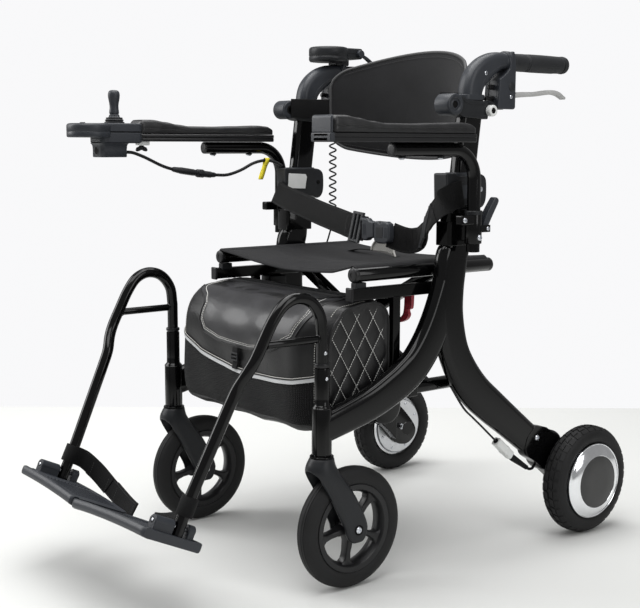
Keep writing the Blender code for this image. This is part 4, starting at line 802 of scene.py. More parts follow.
def drive_wheel():
    half = REAR_HALF
    tyre = turned("drive_tyre", [(0.0975, -0.01), (0.0978, 0.0), (0.0975, 0.01), (0.0955, 0.0145),
            (0.0915, 0.019), (0.087, 0.0215), (0.081, half), (0.075, half - 0.0004),
            (0.0712, half - 0.0022), (0.07, half - 0.0045), (0.067, half - 0.006), (0.067, -half + 0.008),
            (0.07, -half + 0.004), (0.076, -half), (0.081, -half), (0.087, -0.0215), (0.0915, -0.019),
            (0.0955, -0.0145)], REAR_AXLE, OUTWARD, TYRE, 120, loop=True, sharp=60)
    points = []
    faces = []
    pitch = FULL_TURN / TREAD_BLOCKS
    for index in range(TREAD_BLOCKS):
        turn = pitch * index
        for side, shift in ((1, 0.0), (-1, 0.5)):
            start = turn + shift * pitch
            tread_block(points, faces, side * 0.0014, side * 0.0098, start + 0.1 * pitch,
                    start + 0.9 * pitch, 0.22 * pitch * side, 0.097, WHEEL_R, 0.0006)
            tread_block(points, faces, side * 0.0112, side * 0.0182, start + 0.3 * pitch,
                    start + 1.12 * pitch, 0.0, 0.0905, 0.0985, 0.0042)
    blocks = mesh_piece("tread", points, faces, TYRE, sharp=30)
    tyre = joined("drive_tyre", [tyre, blocks])
    put_pair(tyre, "drive_wheel", ["rear_tyre"])

    rim = turned("drive_rim", [(0.066, half - 0.006), (0.0695, half - 0.001), (0.0695, half + 0.0012),
            (0.0686, half + 0.002), (0.0676, half + 0.0014), (0.0664, half + 0.0018), (0.064, half + 0.004),
            (0.056, half + 0.008), (0.0496, half + 0.0098), (0.0488, half + 0.01), (0.0482, half + 0.0096),
            (0.048, half + 0.0085)], REAR_AXLE, OUTWARD, POLISH, 120, sharp=28)
    plate = turned("drive_plate", [(0.0479, half + 0.0085), (0.0478, half + 0.0094), (0.047, half + 0.0097),
            (0.025, half + 0.0098), (0.002, half + 0.0099)], REAR_AXLE, OUTWARD, HUB_PLATE, 96)
    drum = turned("motor_drum", [(0.012, -half - 0.0015), (0.0575, -half - 0.0015), (0.059, -half - 0.0005),
            (0.06, -half + 0.004), (0.0664, -half + 0.0085), (0.0664, half - 0.006)], REAR_AXLE, OUTWARD,
            DISC, 96, sharp=28)
    lip = turned("motor_lip", [(0.0664, -half + 0.0086), (0.065, -half + 0.005), (0.0612, -half + 0.003),
            (0.06, -half + 0.006)], REAR_AXLE, OUTWARD, POLISH, 96, loop=True)
    shaft = rod("motor_shaft", REAR_AXLE - Vector((half + 0.013, 0, 0)), REAR_AXLE - Vector((half, 0, 0)),
            0.0063, ZINC)
    seal = turned("motor_seal", [(0.007, -half - 0.004), (0.013, -half - 0.0035), (0.014, -half - 0.0015),
            (0.014, -half)], REAR_AXLE, OUTWARD, SATIN, 40)
    screws = []
    for index in range(8):
        turn = FULL_TURN * (index + 0.5) / 8
        place = REAR_AXLE + Vector((-half - 0.0013, 0.0505 * math.cos(turn), 0.0505 * math.sin(turn)))
        screws.append(screw("cover_screw", place, INWARD, 0.0032, ZINC, 0.0016))
    both_sides("motor_hub", [drum, lip, rim, plate, shaft, seal] + screws, "drive_wheel")


drive_wheel()


# Motor brackets with their drums and bolts, and the motor cables

MOTOR_DRUM = Vector((FRAME_X, 0.337, 0.156))


def motor_bracket():
    outline = outline_of([(0.296, 0.209), (0.273, 0.186), (0.275, 0.158), (0.3, 0.14), (0.345, 0.104),
            (0.378, 0.072), (0.4, 0.06), (0.425, 0.06), (0.443, 0.076), (0.441, 0.098), (0.405, 0.14),
            (0.36, 0.177), (0.325, 0.202)], 4)
    arm = prism("bracket_arm", outline, "X", FRAME_X + 0.0152, 0.2434, PAINT, 0.0022)
    inner_arm = prism("bracket_inner", [(y, z) for y, z in outline if y < 0.372], "X", FRAME_X - 0.008,
            FRAME_X + 0.0153, PAINT, 0.0022)
    drum = turned("bracket_drum", [(0.002, -0.003), (0.03, -0.0032), (0.0345, -0.002), (0.0372, 0.001),
            (0.038, 0.004), (0.038, 0.023), (0.0372, 0.0262), (0.0345, 0.029), (0.03, 0.03), (0.002, 0.03)],
            (FRAME_X - 0.014, MOTOR_DRUM.y, MOTOR_DRUM.z), OUTWARD, PAINT, 64, sharp=60)
    seat = turned("bracket_seat", [(0.015, 0), (0.0142, 0.0012), (0.007, 0.0014)],
            (FRAME_X - 0.008, 0.4, 0.1), INWARD, PAINT, 32)
    # The last of these is a flat near-black disc for a hole in the arm: painted shade
    bolts = [screw("bracket_bolt", (FRAME_X + 0.0152, 0.3, 0.186), OUTWARD, 0.0052, ZINC),
            screw("bracket_bolt", (FRAME_X - 0.017, 0.337, 0.156), INWARD, 0.0052, ZINC),
            screw("bracket_hole_shade", (FRAME_X + 0.016, 0.352, 0.14), OUTWARD, 0.004, DARK, 0.0006)]
    both_sides("motor_bracket", [arm, inner_arm, drum, seat] + bolts, "frame")


motor_bracket()


def motor_cable():
    lead = smooth([(FRAME_X, 0.0955, 0.304), (FRAME_X, 0.127, 0.262), (FRAME_X, 0.149, 0.2425),
            (FRAME_X, 0.172, 0.223), (FRAME_X, 0.203, 0.196), (FRAME_X, 0.211, 0.189)], 5)
    twins = [tube("twin_lead", shifted(lead, side * 0.0014, 0, 0), 0.0013, CORD, 12) for side in (-1, 1)]
    along = (Vector((FRAME_X, 0.248, 0.1568)) - Vector((FRAME_X, 0.2095, 0.1905))).normalized()
    start = Vector((FRAME_X, 0.2095, 0.1905))
    plug_rings = [(0.0, 0.0135), (0.0008, 0.015), (0.026, 0.015), (0.0268, 0.0165), (0.032, 0.0165),
            (0.0328, 0.015), (0.048, 0.015), (0.049, 0.0135)]
    plug = swept("cable_plug", [start + along * reach for reach, _ in plug_rings], [rounded(size, size,
            0.003, 3) for _, size in plug_rings], WHITE)
    # A near-black disc in the plug's opening: painted shade
    mouth = tube("plug_mouth_shade", [start - along * 0.0008, start + along * 0.001], 0.0046, DARK, 16)
    boot_start = Vector((FRAME_X, 0.2505, 0.1547))
    boot_end = Vector((FRAME_X, 0.292, 0.1278))
    ribs = 9
    path = []
    radii = []
    for rib in range(ribs):
        size = 0.0064 - 0.00025 * rib
        for share, radius in ((0.0, size * 0.62), (0.25, size * 0.66), (0.4, size), (0.7, size),
                (0.85, size * 0.66)):
            path.append(boot_start.lerp(boot_end, (rib + share) / ribs))
            radii.append(radius)
    boot = swept("cable_boot", path, [circle(radius, 20) for radius in radii], CORD, sharp=45)
    inward = Vector((0, -0.7, -0.714)).normalized()
    tail = tube("cable_tail", smooth([boot_end, (FRAME_X, 0.2985, 0.1245), MOTOR_DRUM + inward * 0.044,
            MOTOR_DRUM + inward * 0.0375], 5), 0.0026, CORD, 14)
    turns = [k * math.pi / 8 for k in range(17)]
    loop = [boot_start + Vector((0, 0.0058 * math.cos(turn), 0.0058 * math.sin(turn))) for turn in turns]
    tie = tube("cable_tie", loop, 0.0008, DARK, 8)
    both_sides("motor_cable", twins + [plug, mouth, boot, tail, tie], "frame")


motor_cable()


# Handles: the post, its collar, the curved elbow with the grip, and the brake

def handle_post():
    ends = [(470, 0.992), (472, 1.0), (792, 1.0)]
    path = [on_post(height / 1000) for height, _ in ends]
    sections = [[(a * keep, b * keep) for a, b in rounded(POST_THICK, POST_DEPTH, 0.0085, 8)]
            for _, keep in ends]
    post = swept("handle_post", path, sections, PAINT)
    holes = []
    # Near-black discs stand for the post's height holes: painted shade inside them
    for height in (0.69, 0.712, 0.734):
        place = on_post(height) + Vector((POST_THICK / 2 - 0.0002, 0, 0))
        holes.append(turned("height_hole_shade", [(0.0006, 0.0003), (0.0034, 0.0003), (0.0038, -0.0003)], place,
                OUTWARD, DARK, 20))
    both_sides("handle_post", [post] + holes, "handle")


handle_post()


def height_collar():
    # A moulded clamp round the post, open at its top, with a lip at the back that is pulled to release it
    low = 0.6125
    heel = outline_of([(0.133, low), (0.144, 0.608), (0.1535, 0.613), (0.1585, 0.626), (0.1585, 0.65),
            (0.155, 0.66), (0.147, 0.665), (0.133, 0.667)], 3)
    side = heel + [(0.064, 0.6675), (0.066, low)]
    parts = [prism("collar_shell", side, "X", FRAME_X - 0.0183, FRAME_X + 0.0143, SATIN, 0.003)]
    middle = on_post(0.6668)
    lip = rounded_at(FRAME_X, middle.y - 0.002, 0.0325, 0.06, 0.012, 7)
    parts.append(prism("collar_lip", lip, "Z", 0.6615, 0.6682, GREY, 0.0016))
    # A thin near-black ring at the collar's open top: painted shade in the gap round the post
    parts.append(prism("collar_gap_shade", rounded_at(FRAME_X, middle.y, POST_THICK + 0.0022, POST_DEPTH + 0.0022,
            0.0095, 7), "Z", 0.66, 0.66855, DARK, 0.0003))
    parts.append(turned("collar_recess", [(0.0012, 0.0004), (0.0052, 0.0004), (0.0062, 0.0012),
            (0.007, 0.001), (0.0072, -0.001)], (FRAME_X + 0.0141, 0.144, 0.64), OUTWARD, SATIN, 28))
    parts.append(screw("collar_screw", (FRAME_X + 0.0146, 0.144, 0.64), OUTWARD, 0.0044, ZINC, 0.0012))
    parts.append(prism("collar_plate", [(0.078, 0.624), (0.122, 0.626), (0.122, 0.648), (0.076, 0.646)],
            "X", FRAME_X + 0.014, FRAME_X + 0.0149, GREY, 0.0004))
    # A pale plate on the inner cheek, slanted like the post
    parts.append(prism("inner_plate", [(0.07, 0.629), (0.112, 0.6272), (0.116, 0.65), (0.113, 0.6555),
            (0.072, 0.6575)], "X", FRAME_X - 0.019, FRAME_X - 0.018, WHITE, 0.0004))
    parts.append(turned("collar_pin", [(0.0004, 0.002), (0.003, 0.002), (0.0038, 0.0012), (0.004, 0.0)],
            (FRAME_X - 0.0182, 0.144, 0.64), INWARD, DARK, 24))
    for height in (0.6215, 0.6255):
        parts.append(block("collar_rib", (FRAME_X - 0.01, 0.1545 + (height - 0.6215) * 0.5, height),
                (FRAME_X + 0.008, 0.158 + (height - 0.6215) * 0.5, height + 0.0018), GREY, 0.0007))
    both_sides("height_collar", parts, "frame")


height_collar()


def handle_elbow():
    rows = smooth([(0.1275, 0.794, 0.04), (0.1295, 0.8075, 0.0415), (0.1355, 0.821, 0.043),
            (0.1455, 0.832, 0.043), (0.1595, 0.8425, 0.041), (0.177, 0.851, 0.036), (0.19, 0.8545, 0.031),
            (0.2025, 0.8545, 0.0285)], 6)
    path = [Vector((FRAME_X, row[0], row[1])) for row in rows]
    elbow = swept("elbow", path, [rounded(0.031, row[2], 0.0125, 8) for row in rows], GREY)
    # The raised seam follows the outer edge a third of the way in
    parts = [elbow]
    for side in (-1, 1):
        seam = []
        for index, row in enumerate(rows[2:-6]):
            here = path[index + 2]
            tangent = (path[index + 3] - path[index + 1]).normalized()
            up = tangent.cross(Vector(OUTWARD)).normalized()
            seam.append(here + Vector((side * 0.0152, 0, 0)) + up * row[2] * 0.2)
        parts.append(tube("elbow_seam", seam, 0.0008, GREY, 10))
    foot = on_post(0.7935)
    parts.append(prism("elbow_foot", rounded_at(FRAME_X, foot.y - 0.003, 0.0315, 0.052, 0.0125, 8), "Z",
            0.788, 0.7975, GREY, 0.0016))
    parts.append(turned("elbow_collar", [(0.012, 0.201), (0.015, 0.2014), (0.0158, 0.2026), (0.0158, 0.21),
            (0.015, 0.2112), (0.012, 0.2116)], GRIP_LINE, BACKWARD, GREY, 40))
    parts.append(screw("elbow_screw", (FRAME_X + 0.015, 0.15, 0.833), OUTWARD, 0.0036, ZINC, 0.0014))
    both_sides("handle_elbow", parts, "handle")


handle_elbow()


def hand_grip():
    # Soft grip with a palm swell, two close grooves a third of the way along and an end cap
    rows = [(0.0125, 0.2192), (0.015, 0.2196), (0.0158, 0.2206), (0.0158, 0.224), (0.015, 0.2252)]
    for step in range(25):
        share = step / 24
        rows.append((0.0148 + 0.0008 * math.sin(math.pi * share), 0.2262 + 0.1208 * share))
    grooves = (0.256, 0.26)
    profile = []
    for radius, y in rows:
        for groove in grooves:
            radius -= 0.0011 * math.exp(-((y - groove) / 0.0009) ** 2)
        profile.append((radius, y))
    for groove in grooves:
        profile += [(0.0152 - 0.0012 * math.exp(-(step / 0.9) ** 2), groove + 0.0009 * step)
                for step in (-2, -1, 0, 1, 2)]
    profile.sort(key=lambda pair: pair[1])
    profile += [(0.015, 0.3474), (0.0136, 0.3482), (0.0136, 0.3492), (0.0152, 0.35), (0.0155, 0.354),
            (0.0146, 0.3588), (0.011, 0.3608), (0.004, 0.361), (0.0036, 0.3598), (0.0008, 0.3598)]
    grip = turned("grip", profile, GRIP_LINE, BACKWARD, GRIP, 56, sharp=50)
    ribs = []
    for index in range(14):
        turn = math.pi * (index + 0.5) / 14 + math.pi
        side = Vector((math.cos(turn), 0, math.sin(turn)))
        ribs.append(tube("grip_rib", [Vector((FRAME_X, y, GRIP_Z)) + side * 0.0151
                for y in (0.272, 0.29, 0.33)], 0.0006, GRIP, 8))
    both_sides("hand_grip", [grip] + ribs, "handle")


hand_grip()


def brake_housing():
    low_x = FRAME_X - 0.0163
    high_x = 0.2468
    # Two cheeks and a bridge leave the slot that the lever turns in
    outline = [(0.1762, 0.777), (0.18, 0.7742), (0.216, 0.7742), (0.2188, 0.7775), (0.2188, 0.845),
            (0.217, 0.862), (0.214, 0.8712), (0.2085, 0.8714), (0.206, 0.86), (0.2035, 0.842),
            (0.196, 0.8345), (0.18, 0.824)]
    parts = [prism("brake_cheek", outline, "X", low_x, 0.2226, GREY, 0.0022), prism("brake_cheek", outline,
            "X", 0.2394, high_x, GREY, 0.0022)]
    bridge = [(0.177, 0.779), (0.18, 0.776), (0.195, 0.776), (0.195, 0.813), (0.2182, 0.813),
            (0.2182, 0.845), (0.2165, 0.862), (0.2138, 0.8705), (0.2088, 0.8705), (0.2066, 0.86),
            (0.2042, 0.8415), (0.1962, 0.8338), (0.1806, 0.8232)]
    parts.append(prism("brake_bridge", bridge, "X", 0.222, 0.24, GREY, 0.0006))
    # A near-black strip in the lever's slot: painted shade
    parts.append(prism("brake_slot_shade", [(0.194, 0.777), (0.196, 0.777), (0.196, 0.8122), (0.194, 0.8122)],
            "X", 0.2225, 0.2395, DARK, 0))
    for y, z, reach in ((0.168, 0.811, 0.01), (0.16, 0.792, 0.018)):
        profile = [(0.0022, -0.0004), (0.0036, 0.0), (0.0042, 0.0008), (0.0042, 0.006), (0.0034, 0.0068),
                (0.0034, reach - 0.0042), (0.0045, reach - 0.0036), (0.0045, reach)]
        parts.append(turned("adjuster", profile, (0.231, y, z), BACKWARD, RIM, 12, sharp=25))
    parts.append(turned("brake_button", [(0.0086, -0.001), (0.0086, 0.0004), (0.0078, 0.001),
            (0.0074, 0.0022), (0.006, 0.003), (0.002, 0.0034), (0.0004, 0.0034)], (0.2452, 0.2085, 0.812),
            OUTWARD, SATIN, 40))
    parts.append(turned("brake_pin", [(0.0004, 0.0012), (0.0026, 0.0012), (0.0032, 0.0004),
            (0.0032, -0.0006)], (high_x, BRAKE_PIVOT.y, BRAKE_PIVOT.z - 0.002), OUTWARD, ZINC, 20))
    parts.append(turned("brake_clamp", [(0.016, 0.204), (0.0176, 0.2046), (0.0182, 0.2062),
            (0.0182, 0.2166), (0.0176, 0.2182), (0.016, 0.2188)], GRIP_LINE, BACKWARD, GREY, 48))
    both_sides("brake_housing", parts, "handle")

    rows = smooth([(0.2015, 0.797, 0.012, 0.01), (0.222, 0.7985, 0.012, 0.01), (0.25, 0.8005, 0.011, 0.009),
            (0.28, 0.802, 0.012, 0.008), (0.316, 0.806, 0.014, 0.008), (0.338, 0.8045, 0.015, 0.007),
            (0.355, 0.797, 0.013, 0.005)], 7)
    path = [Vector((0.231, row[0], row[1])) for row in rows]
    lever = swept("brake_lever", path, [rounded(row[2], row[3], min(row[2], row[3]) * 0.42, 5)
            for row in rows], LEVER)
    tip = rows[-1]
    end = turned("lever_end", [(0.0026, -0.0055), (0.0026, 0.0055)], (0.231, tip[0], tip[1]), OUTWARD,
            LEVER, 24)
    pivot = turned("lever_boss", [(0.0028, -0.0064), (0.006, -0.0064), (0.0066, -0.0056), (0.0066, 0.0056),
            (0.006, 0.0064), (0.0028, 0.0064)], BRAKE_PIVOT, OUTWARD, LEVER, 32, loop=True)
    both_sides("brake_lever", [lever, end, pivot], "brake_lever")


brake_housing()


KNOB = (0.2425, 0.158, 0.771)


def backrest_bracket():
    neck = outline_of([(0.084, 0.794), (0.1, 0.7925), (0.11, 0.7885), (0.154, 0.7866)], 4)
    neck += outline_of([(0.156, 0.785), (0.1562, 0.772), (0.1555, 0.758)], 3)
    neck += outline_of([(0.1535, 0.7568), (0.11, 0.759), (0.096, 0.7612), (0.084, 0.7665)], 4)
    parts = [prism("bracket_neck", neck, "X", 0.2118, 0.2442, SATIN, 0.003)]
    disc = [(0.006, -0.0118), (0.015, -0.012), (0.016, -0.011), (0.0178, -0.01), (0.018, -0.008),
            (0.018, 0.0205), (0.0174, 0.0222), (0.016, 0.0234), (0.012, 0.0235), (0.0106, 0.0228),
            (0.0098, 0.0216), (0.0088, 0.0216), (0.008, 0.0222), (0.006, 0.0222), (0.0056, 0.021),
            (0.0055, 0.012)]
    parts.append(turned("bracket_disc", disc, BACK_PIVOT, OUTWARD, GREY, 56, sharp=40))
    # A near-black fill in the disc's central hole: painted shade
    parts.append(turned("bracket_socket_shade", [(0.0004, 0.013), (0.0055, 0.013), (0.0055, 0.0212)], BACK_PIVOT,
            OUTWARD, DARK, 24))
    inner_face = [(0.0004, 0.0116), (0.005, 0.0118), (0.0052, 0.0124), (0.008, 0.0126), (0.0086, 0.0118)]
    parts.append(turned("bracket_inner", inner_face, BACK_PIVOT, INWARD, DARK, 40, sharp=40))
    parts.append(tube("bracket_seam", [(0.2446, 0.099, 0.786), (0.2446, 0.112, 0.7826),
            (0.2446, 0.15, 0.781)], 0.0007, SATIN, 8))
    knob = [(0.0048, 0.0108), (0.0052, 0.012), (0.0078, 0.0122), (0.0092, 0.0112), (0.0095, 0.0094),
            (0.0095, 0.003), (0.0085, 0.0015), (0.006, 0.001)]
    parts.append(turned("knob_ring", knob, KNOB, OUTWARD, WHITE, 40, sharp=40))
    # A near-black disc inside the knob ring's hole: painted shade
    parts.append(turned("knob_hole_shade", [(0.0004, 0.01), (0.0048, 0.01), (0.005, 0.0112)], KNOB, OUTWARD, DARK,
            28))
    both_sides("backrest_bracket", parts, "handle")


backrest_bracket()


# Backrest: a bowed padded panel with a piped edge and a strap at each end

BACK_HALF = 0.187
BACK_CORNER = 0.03
STRAP_Z = 0.783


def back_middle(x):
    return 0.24 - 0.082 * (x / BACK_HALF) ** 2


def back_edges(x):
    share = (x / BACK_HALF) ** 2
    inset = min(1.0, max(0.0, (abs(x) - BACK_HALF + BACK_CORNER) / BACK_CORNER))
    turned_in = BACK_CORNER * (1 - math.sqrt(max(0.0, 1 - inset * inset)))
    return 0.688 + 0.024 * share + 0.9 * turned_in, 0.884 - 0.0364 * share - 0.75 * turned_in


def backrest():
    columns = 96
    rows = 40
    places = across_of(BACK_HALF, columns)
    parts = []
    for side in (-1, 1):
        points = []
        for x in places:
            low, high = back_edges(x)
            for j in range(rows + 1):
                share = j / rows
                crown = (1 - abs(2 * share - 1) ** 3.2) * (1 - abs(x / BACK_HALF) ** 5)
                half = 0.0012 + 0.0066 * max(0.0, crown) ** 0.8
                z = low + (high - low) * share
                # Soft dents pull in towards the straps and from the seams
                dent = 0.001 * math.sin(26 * x + 9 * z) * math.sin(31 * z + 4 * x) * crown
                points.append((x, back_middle(x) + side * (half + dent), z))
        faces, spots = net(points, columns, rows, 2)
        parts.append(mesh_piece("back_face", points, faces, CLOTH, spots, sharp=80))
    edge = [Vector((x, back_middle(x), back_edges(x)[0])) for x in places]
    edge += [Vector((x, back_middle(x), back_edges(x)[1])) for x in reversed(places)]
    piping_rings = []
    for index, middle in enumerate(edge):
        tangent = (edge[(index + 1) % len(edge)] - edge[index - 1]).normalized()
        up = tangent.cross(Vector(BACKWARD)).normalized()
        piping_rings.append([middle + up * a + up.cross(tangent) * b for a, b in circle(0.003, 12)])
    parts.append(skin("back_piping", piping_rings, DARK_THREAD, loop=True, sharp=80))
    seams = []
    for side in (-1, 1):
        line = [Vector((x, back_middle(x) + side * 0.0049, back_edges(x)[1] - 0.0085))
                for x in places[6:-6]]
        seams.append(line)
        seams.append([Vector((point.x, point.y, back_edges(point.x)[0] + 0.0085)) for point in line])
    parts.append(dark_seam("back_stitches", seams, 0.0005))
    for side in (-1, 1):
        middle_line = smooth([(side * 0.178, 0.164), (side * 0.188, 0.159), (side * 0.1985, 0.143),
                (side * 0.206, 0.118), (side * 0.2088, 0.098), (side * 0.2092, 0.078)], 6)
        path = [Vector((p[0], p[1], STRAP_Z)) for p in middle_line]
        parts.append(strip("back_strap", path, 0.036, 0.0024, 0.0011, UPWARD))
        lines = [shifted(path[2:], side * 0.0013, 0, offset) for offset in (-0.015, 0.015)]
        parts.append(dark_seam("strap_stitches", lines, 0.0004))
        corners = ((0.0, 0.768), (0.022, 0.768), (0.022, 0.798), (0.0, 0.798), (0.0, 0.768))
        box = [Vector((side * (0.18 - reach), back_middle(0.18 - reach) + 0.0042, z))
                for reach, z in corners]
        parts.append(dark_seam("patch_stitches", [box], 0.0005))
    panel = one_piece("backrest_panel", parts, "backrest")
    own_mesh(panel)


backrest()


# Free cords: the joystick's cable with its connector and tail, and the curly handset cord

CABLE_X = -0.26
JOYSTICK_CABLE_R = 0.003
HANDSET_R = 0.0015
JOYSTICK_ROUTE = [(CABLE_X, -0.2581, 0.699), (CABLE_X, -0.25, 0.6988), (CABLE_X, -0.24, 0.6975),
        (CABLE_X, -0.22, 0.6905), (CABLE_X, -0.204, 0.6835), (CABLE_X, -0.186, 0.6755),
        (CABLE_X, -0.172, 0.6705), (CABLE_X, -0.1603, 0.6675)]
CONNECTOR_ROUTE = [(CABLE_X, -0.16, 0.6674), (CABLE_X, -0.132, 0.663), (CABLE_X, -0.11, 0.66),
        (CABLE_X, -0.083, 0.6565), (CABLE_X, -0.065, 0.6552)]
TAIL_ROUTE = [(CABLE_X, -0.065, 0.6552), (CABLE_X, -0.037, 0.6552), (CABLE_X, -0.006, 0.6638),
        (-0.2585, 0.02, 0.676), (-0.2555, 0.04, 0.6815), (-0.251, 0.054, 0.682), (-0.245, 0.066, 0.6785),
        (-0.24, 0.074, 0.6735), (-0.238, 0.0768, 0.6705)]
CURLS = 10
CURL_STEPS = 14
CURL_R = 0.0065
CURL_TOP = 0.716
CURL_PITCH = 0.016
HANDSET_X = -0.2225
HANDSET_Y = 0.1915


def cord_tube(name, path, radius):
    # A round cord as a mesh tube along its path, with one frame carried on from ring to ring
    path = [Vector(point) for point in path]
    side = axes_of(path[1] - path[0])[1]
    rings = []
    for index, point in enumerate(path):
        tangent = (path[min(index + 1, len(path) - 1)] - path[max(index - 1, 0)]).normalized()
        side = (side - tangent * side.dot(tangent)).normalized()
        up = tangent.cross(side)
        rings.append([point + side * a + up * b for a, b in circle(radius, 14)])
    return skin(name, rings, CORD, sharp=60)


def handset_route():
    points = [Vector((HANDSET_X, HANDSET_Y, 0.7737)), Vector((HANDSET_X, HANDSET_Y, 0.76)),
            Vector((HANDSET_X + 0.003, HANDSET_Y, 0.738)),
            Vector((HANDSET_X + CURL_R * 0.8, HANDSET_Y - 0.001, 0.7215))]
    start = smooth(points, 4)
    curls = []
    for step in range(CURLS * CURL_STEPS + 1):
        turn = FULL_TURN * step / CURL_STEPS
        curls.append(Vector((HANDSET_X + CURL_R * math.cos(turn), HANDSET_Y - CURL_R * math.sin(turn),
                CURL_TOP - CURL_PITCH * step / CURL_STEPS)))
    tail = [(-0.218, 0.187, 0.5505), (-0.221, 0.184, 0.538), (-0.2245, 0.178, 0.515),
            (-0.2265, 0.166, 0.492), (-0.2275, 0.148, 0.47), (-0.2275, 0.131, 0.459),
            (-0.2275, 0.116, 0.456)]
    return start + curls + smooth([curls[-1]] + tail, 4)[1:]


def joystick_cords():
    path = smooth(JOYSTICK_ROUTE, 3)
    cable = put(cord_tube("joystick_cable", path, JOYSTICK_CABLE_R), "right_armrest", ["joystick_cable"])
    halves_path = smooth(CONNECTOR_ROUTE, 12)
    shape = [(0.0, 0.0036), (0.03, 0.0048), (0.14, 0.0058), (0.16, 0.0063), (0.46, 0.0062), (0.5, 0.0056),
            (0.53, 0.0056), (0.535, 0.0074), (0.6, 0.0076), (0.66, 0.0074), (0.665, 0.006), (0.84, 0.006),
            (0.86, 0.0052), (0.97, 0.0046), (1.0, 0.0036)]
    rings_path = []
    radii = []
    for share, radius in shape:
        place = share * (len(halves_path) - 1)
        index = min(int(place), len(halves_path) - 2)
        rings_path.append(halves_path[index].lerp(halves_path[index + 1], place - index))
        radii.append(radius)
    halves = swept("connector_body", rings_path, [circle(radius, 28) for radius in radii], SATIN, sharp=28)
    ribs = []
    for rib in range(10):
        turn = FULL_TURN * rib / 10
        middle = rings_path[8]
        ribs.append(block("connector_rib", (middle.x - 0.0006, middle.y - 0.005, middle.z - 0.0003),
                (middle.x + 0.0006, middle.y + 0.005, middle.z + 0.0003), SATIN, 0.0002))
        offset = Vector((0.0075 * math.cos(turn), 0, 0.0075 * math.sin(turn)))
        ribs[-1].data.transform(Matrix.Translation(offset))
    connector = one_piece("joystick_connector", [halves] + ribs, "right_armrest")
    tail_path = smooth(TAIL_ROUTE, 4)
    tail = put(cord_tube("tail_lead", tail_path, JOYSTICK_CABLE_R), "right_armrest", ())
    cable_tag()


def cable_tag():
    # A small folded paper tag round the lead
    loop = [(0.0004, -0.037), (0.0014, -0.03), (0.001, -0.012), (0.0034, -0.004), (0.0042, 0.001),
            (0.0022, 0.0044), (-0.0012, 0.0046), (-0.0038, 0.0012), (-0.003, -0.004), (-0.0008, -0.012),
            (-0.0016, -0.028), (-0.001, -0.035)]
    middle = Vector((-0.2528, 0.05, 0.6822))
    lean = 0.4
    rings = []
    for row in smooth(loop, 4):
        shift = lean * min(row[1], 0.0)
        rings.append([middle + Vector((row[0], along + shift, row[1])) for along in (-0.0052, 0.0052)])
    sheet = skin("cable_tag", rings, TAG, caps=False, open_ring=True, sharp=60)
    thick = sheet.modifiers.new("paper", "SOLIDIFY")
    thick.thickness = 0.0004
    thick.offset = 0.0
    bake(sheet)
    put(sheet, "right_armrest", ())
    return sheet


joystick_cords()


def handset_cord():
    path = handset_route()
    curly = put(cord_tube("handset_cord", path, HANDSET_R + 0.0002), "right_frame", ["handset_cord"])
    relief = turned("handset_relief", [(0.0016, -0.018), (0.0021, -0.017), (0.0026, -0.006),
            (0.0034, -0.001), (0.0036, 0.0), (0.003, 0.0004)], (HANDSET_X, HANDSET_Y, 0.7742), UPWARD,
            SATIN, 24)
    put(relief, "right_handle")
    plug = turned("handset_plug", [(0.0016, -0.016), (0.0026, -0.015), (0.0036, -0.001), (0.004, 0.0),
            (0.004, 0.004)], (-0.2275, 0.116, 0.456), (0, -1, 0.05), SATIN, 24)
    put(plug, "right_frame")


handset_cord()


# Control pod on the right handle, with its thumb throttle

THROTTLE_PIVOT = Vector((-0.203, 0.246, 0.893))


def control_pod():
    middle = (-FRAME_X, 0.1835, 0)
    parts = [turned("pod_disc", [(0.03, 0.8755), (0.0365, 0.8762), (0.0384, 0.8782), (0.039, 0.881),
            (0.039, 0.885), (0.0382, 0.886), (0.0382, 0.8868), (0.039, 0.8878), (0.039, 0.899),
            (0.0382, 0.9022), (0.0362, 0.9042), (0.033, 0.905), (0.03, 0.9048), (0.0292, 0.904),
            (0.01, 0.9038), (0.0006, 0.9038)], middle, UPWARD, SATIN, 72, sharp=40)]
    parts.append(turned("pod_window", [(0.0286, 0.9036), (0.0286, 0.9044), (0.028, 0.9048), (0.01, 0.9049),
            (0.0006, 0.9049)], middle, UPWARD, RIM, 64))
    parts.append(block("pod_box", (-FRAME_X - 0.02, 0.21, 0.8832), (-FRAME_X + 0.02, 0.2558, 0.9044), SATIN,
            0.0035))
    parts.append(block("pod_neck", (-FRAME_X - 0.014, 0.193, 0.869), (-FRAME_X + 0.014, 0.226, 0.886),
            SATIN, 0.003))
    parts.append(block("pod_seam", (-FRAME_X - 0.0202, 0.212, 0.8932), (-FRAME_X + 0.0202, 0.2552, 0.894),
            DARK, 0.0002))
    for y in (0.23, 0.243):
        parts.append(turned("pod_key", [(0.0052, 0.903), (0.0052, 0.9048), (0.0046, 0.905),
                (0.0006, 0.905)], (-FRAME_X - 0.008, y, 0), UPWARD, GREY, 28))
    parts.append(turned("pod_strap", [(0.0157, 0.2065), (0.0176, 0.2072), (0.0186, 0.209), (0.0186, 0.213),
            (0.0176, 0.2148), (0.0157, 0.2155)], (-FRAME_X, 0, GRIP_Z), BACKWARD, SATIN, 40))
    one_piece("control_pod", parts, "right_handle")
    boss = turned("throttle_boss", [(0.003, -0.004), (0.007, -0.004), (0.0075, -0.0032), (0.0075, 0.0032),
            (0.007, 0.004), (0.003, 0.004)], THROTTLE_PIVOT, OUTWARD, GREY, 36)
    rows = smooth([(-0.203, 0.248, 0.891, 0.008), (-0.203, 0.262, 0.884, 0.01),
            (-0.2025, 0.276, 0.874, 0.0122), (-0.202, 0.284, 0.868, 0.0125)], 6)
    paddle = swept("throttle_paddle", [Vector(row[:3]) for row in rows], [rounded(row[3], 0.0054, 0.0024, 4)
            for row in rows], GREY)
    one_piece("thumb_throttle", [boss, paddle], "thumb_throttle")


control_pod()


# Armrests: the bent tube, a moulded base, a padded top with piped seams and the clamp lever

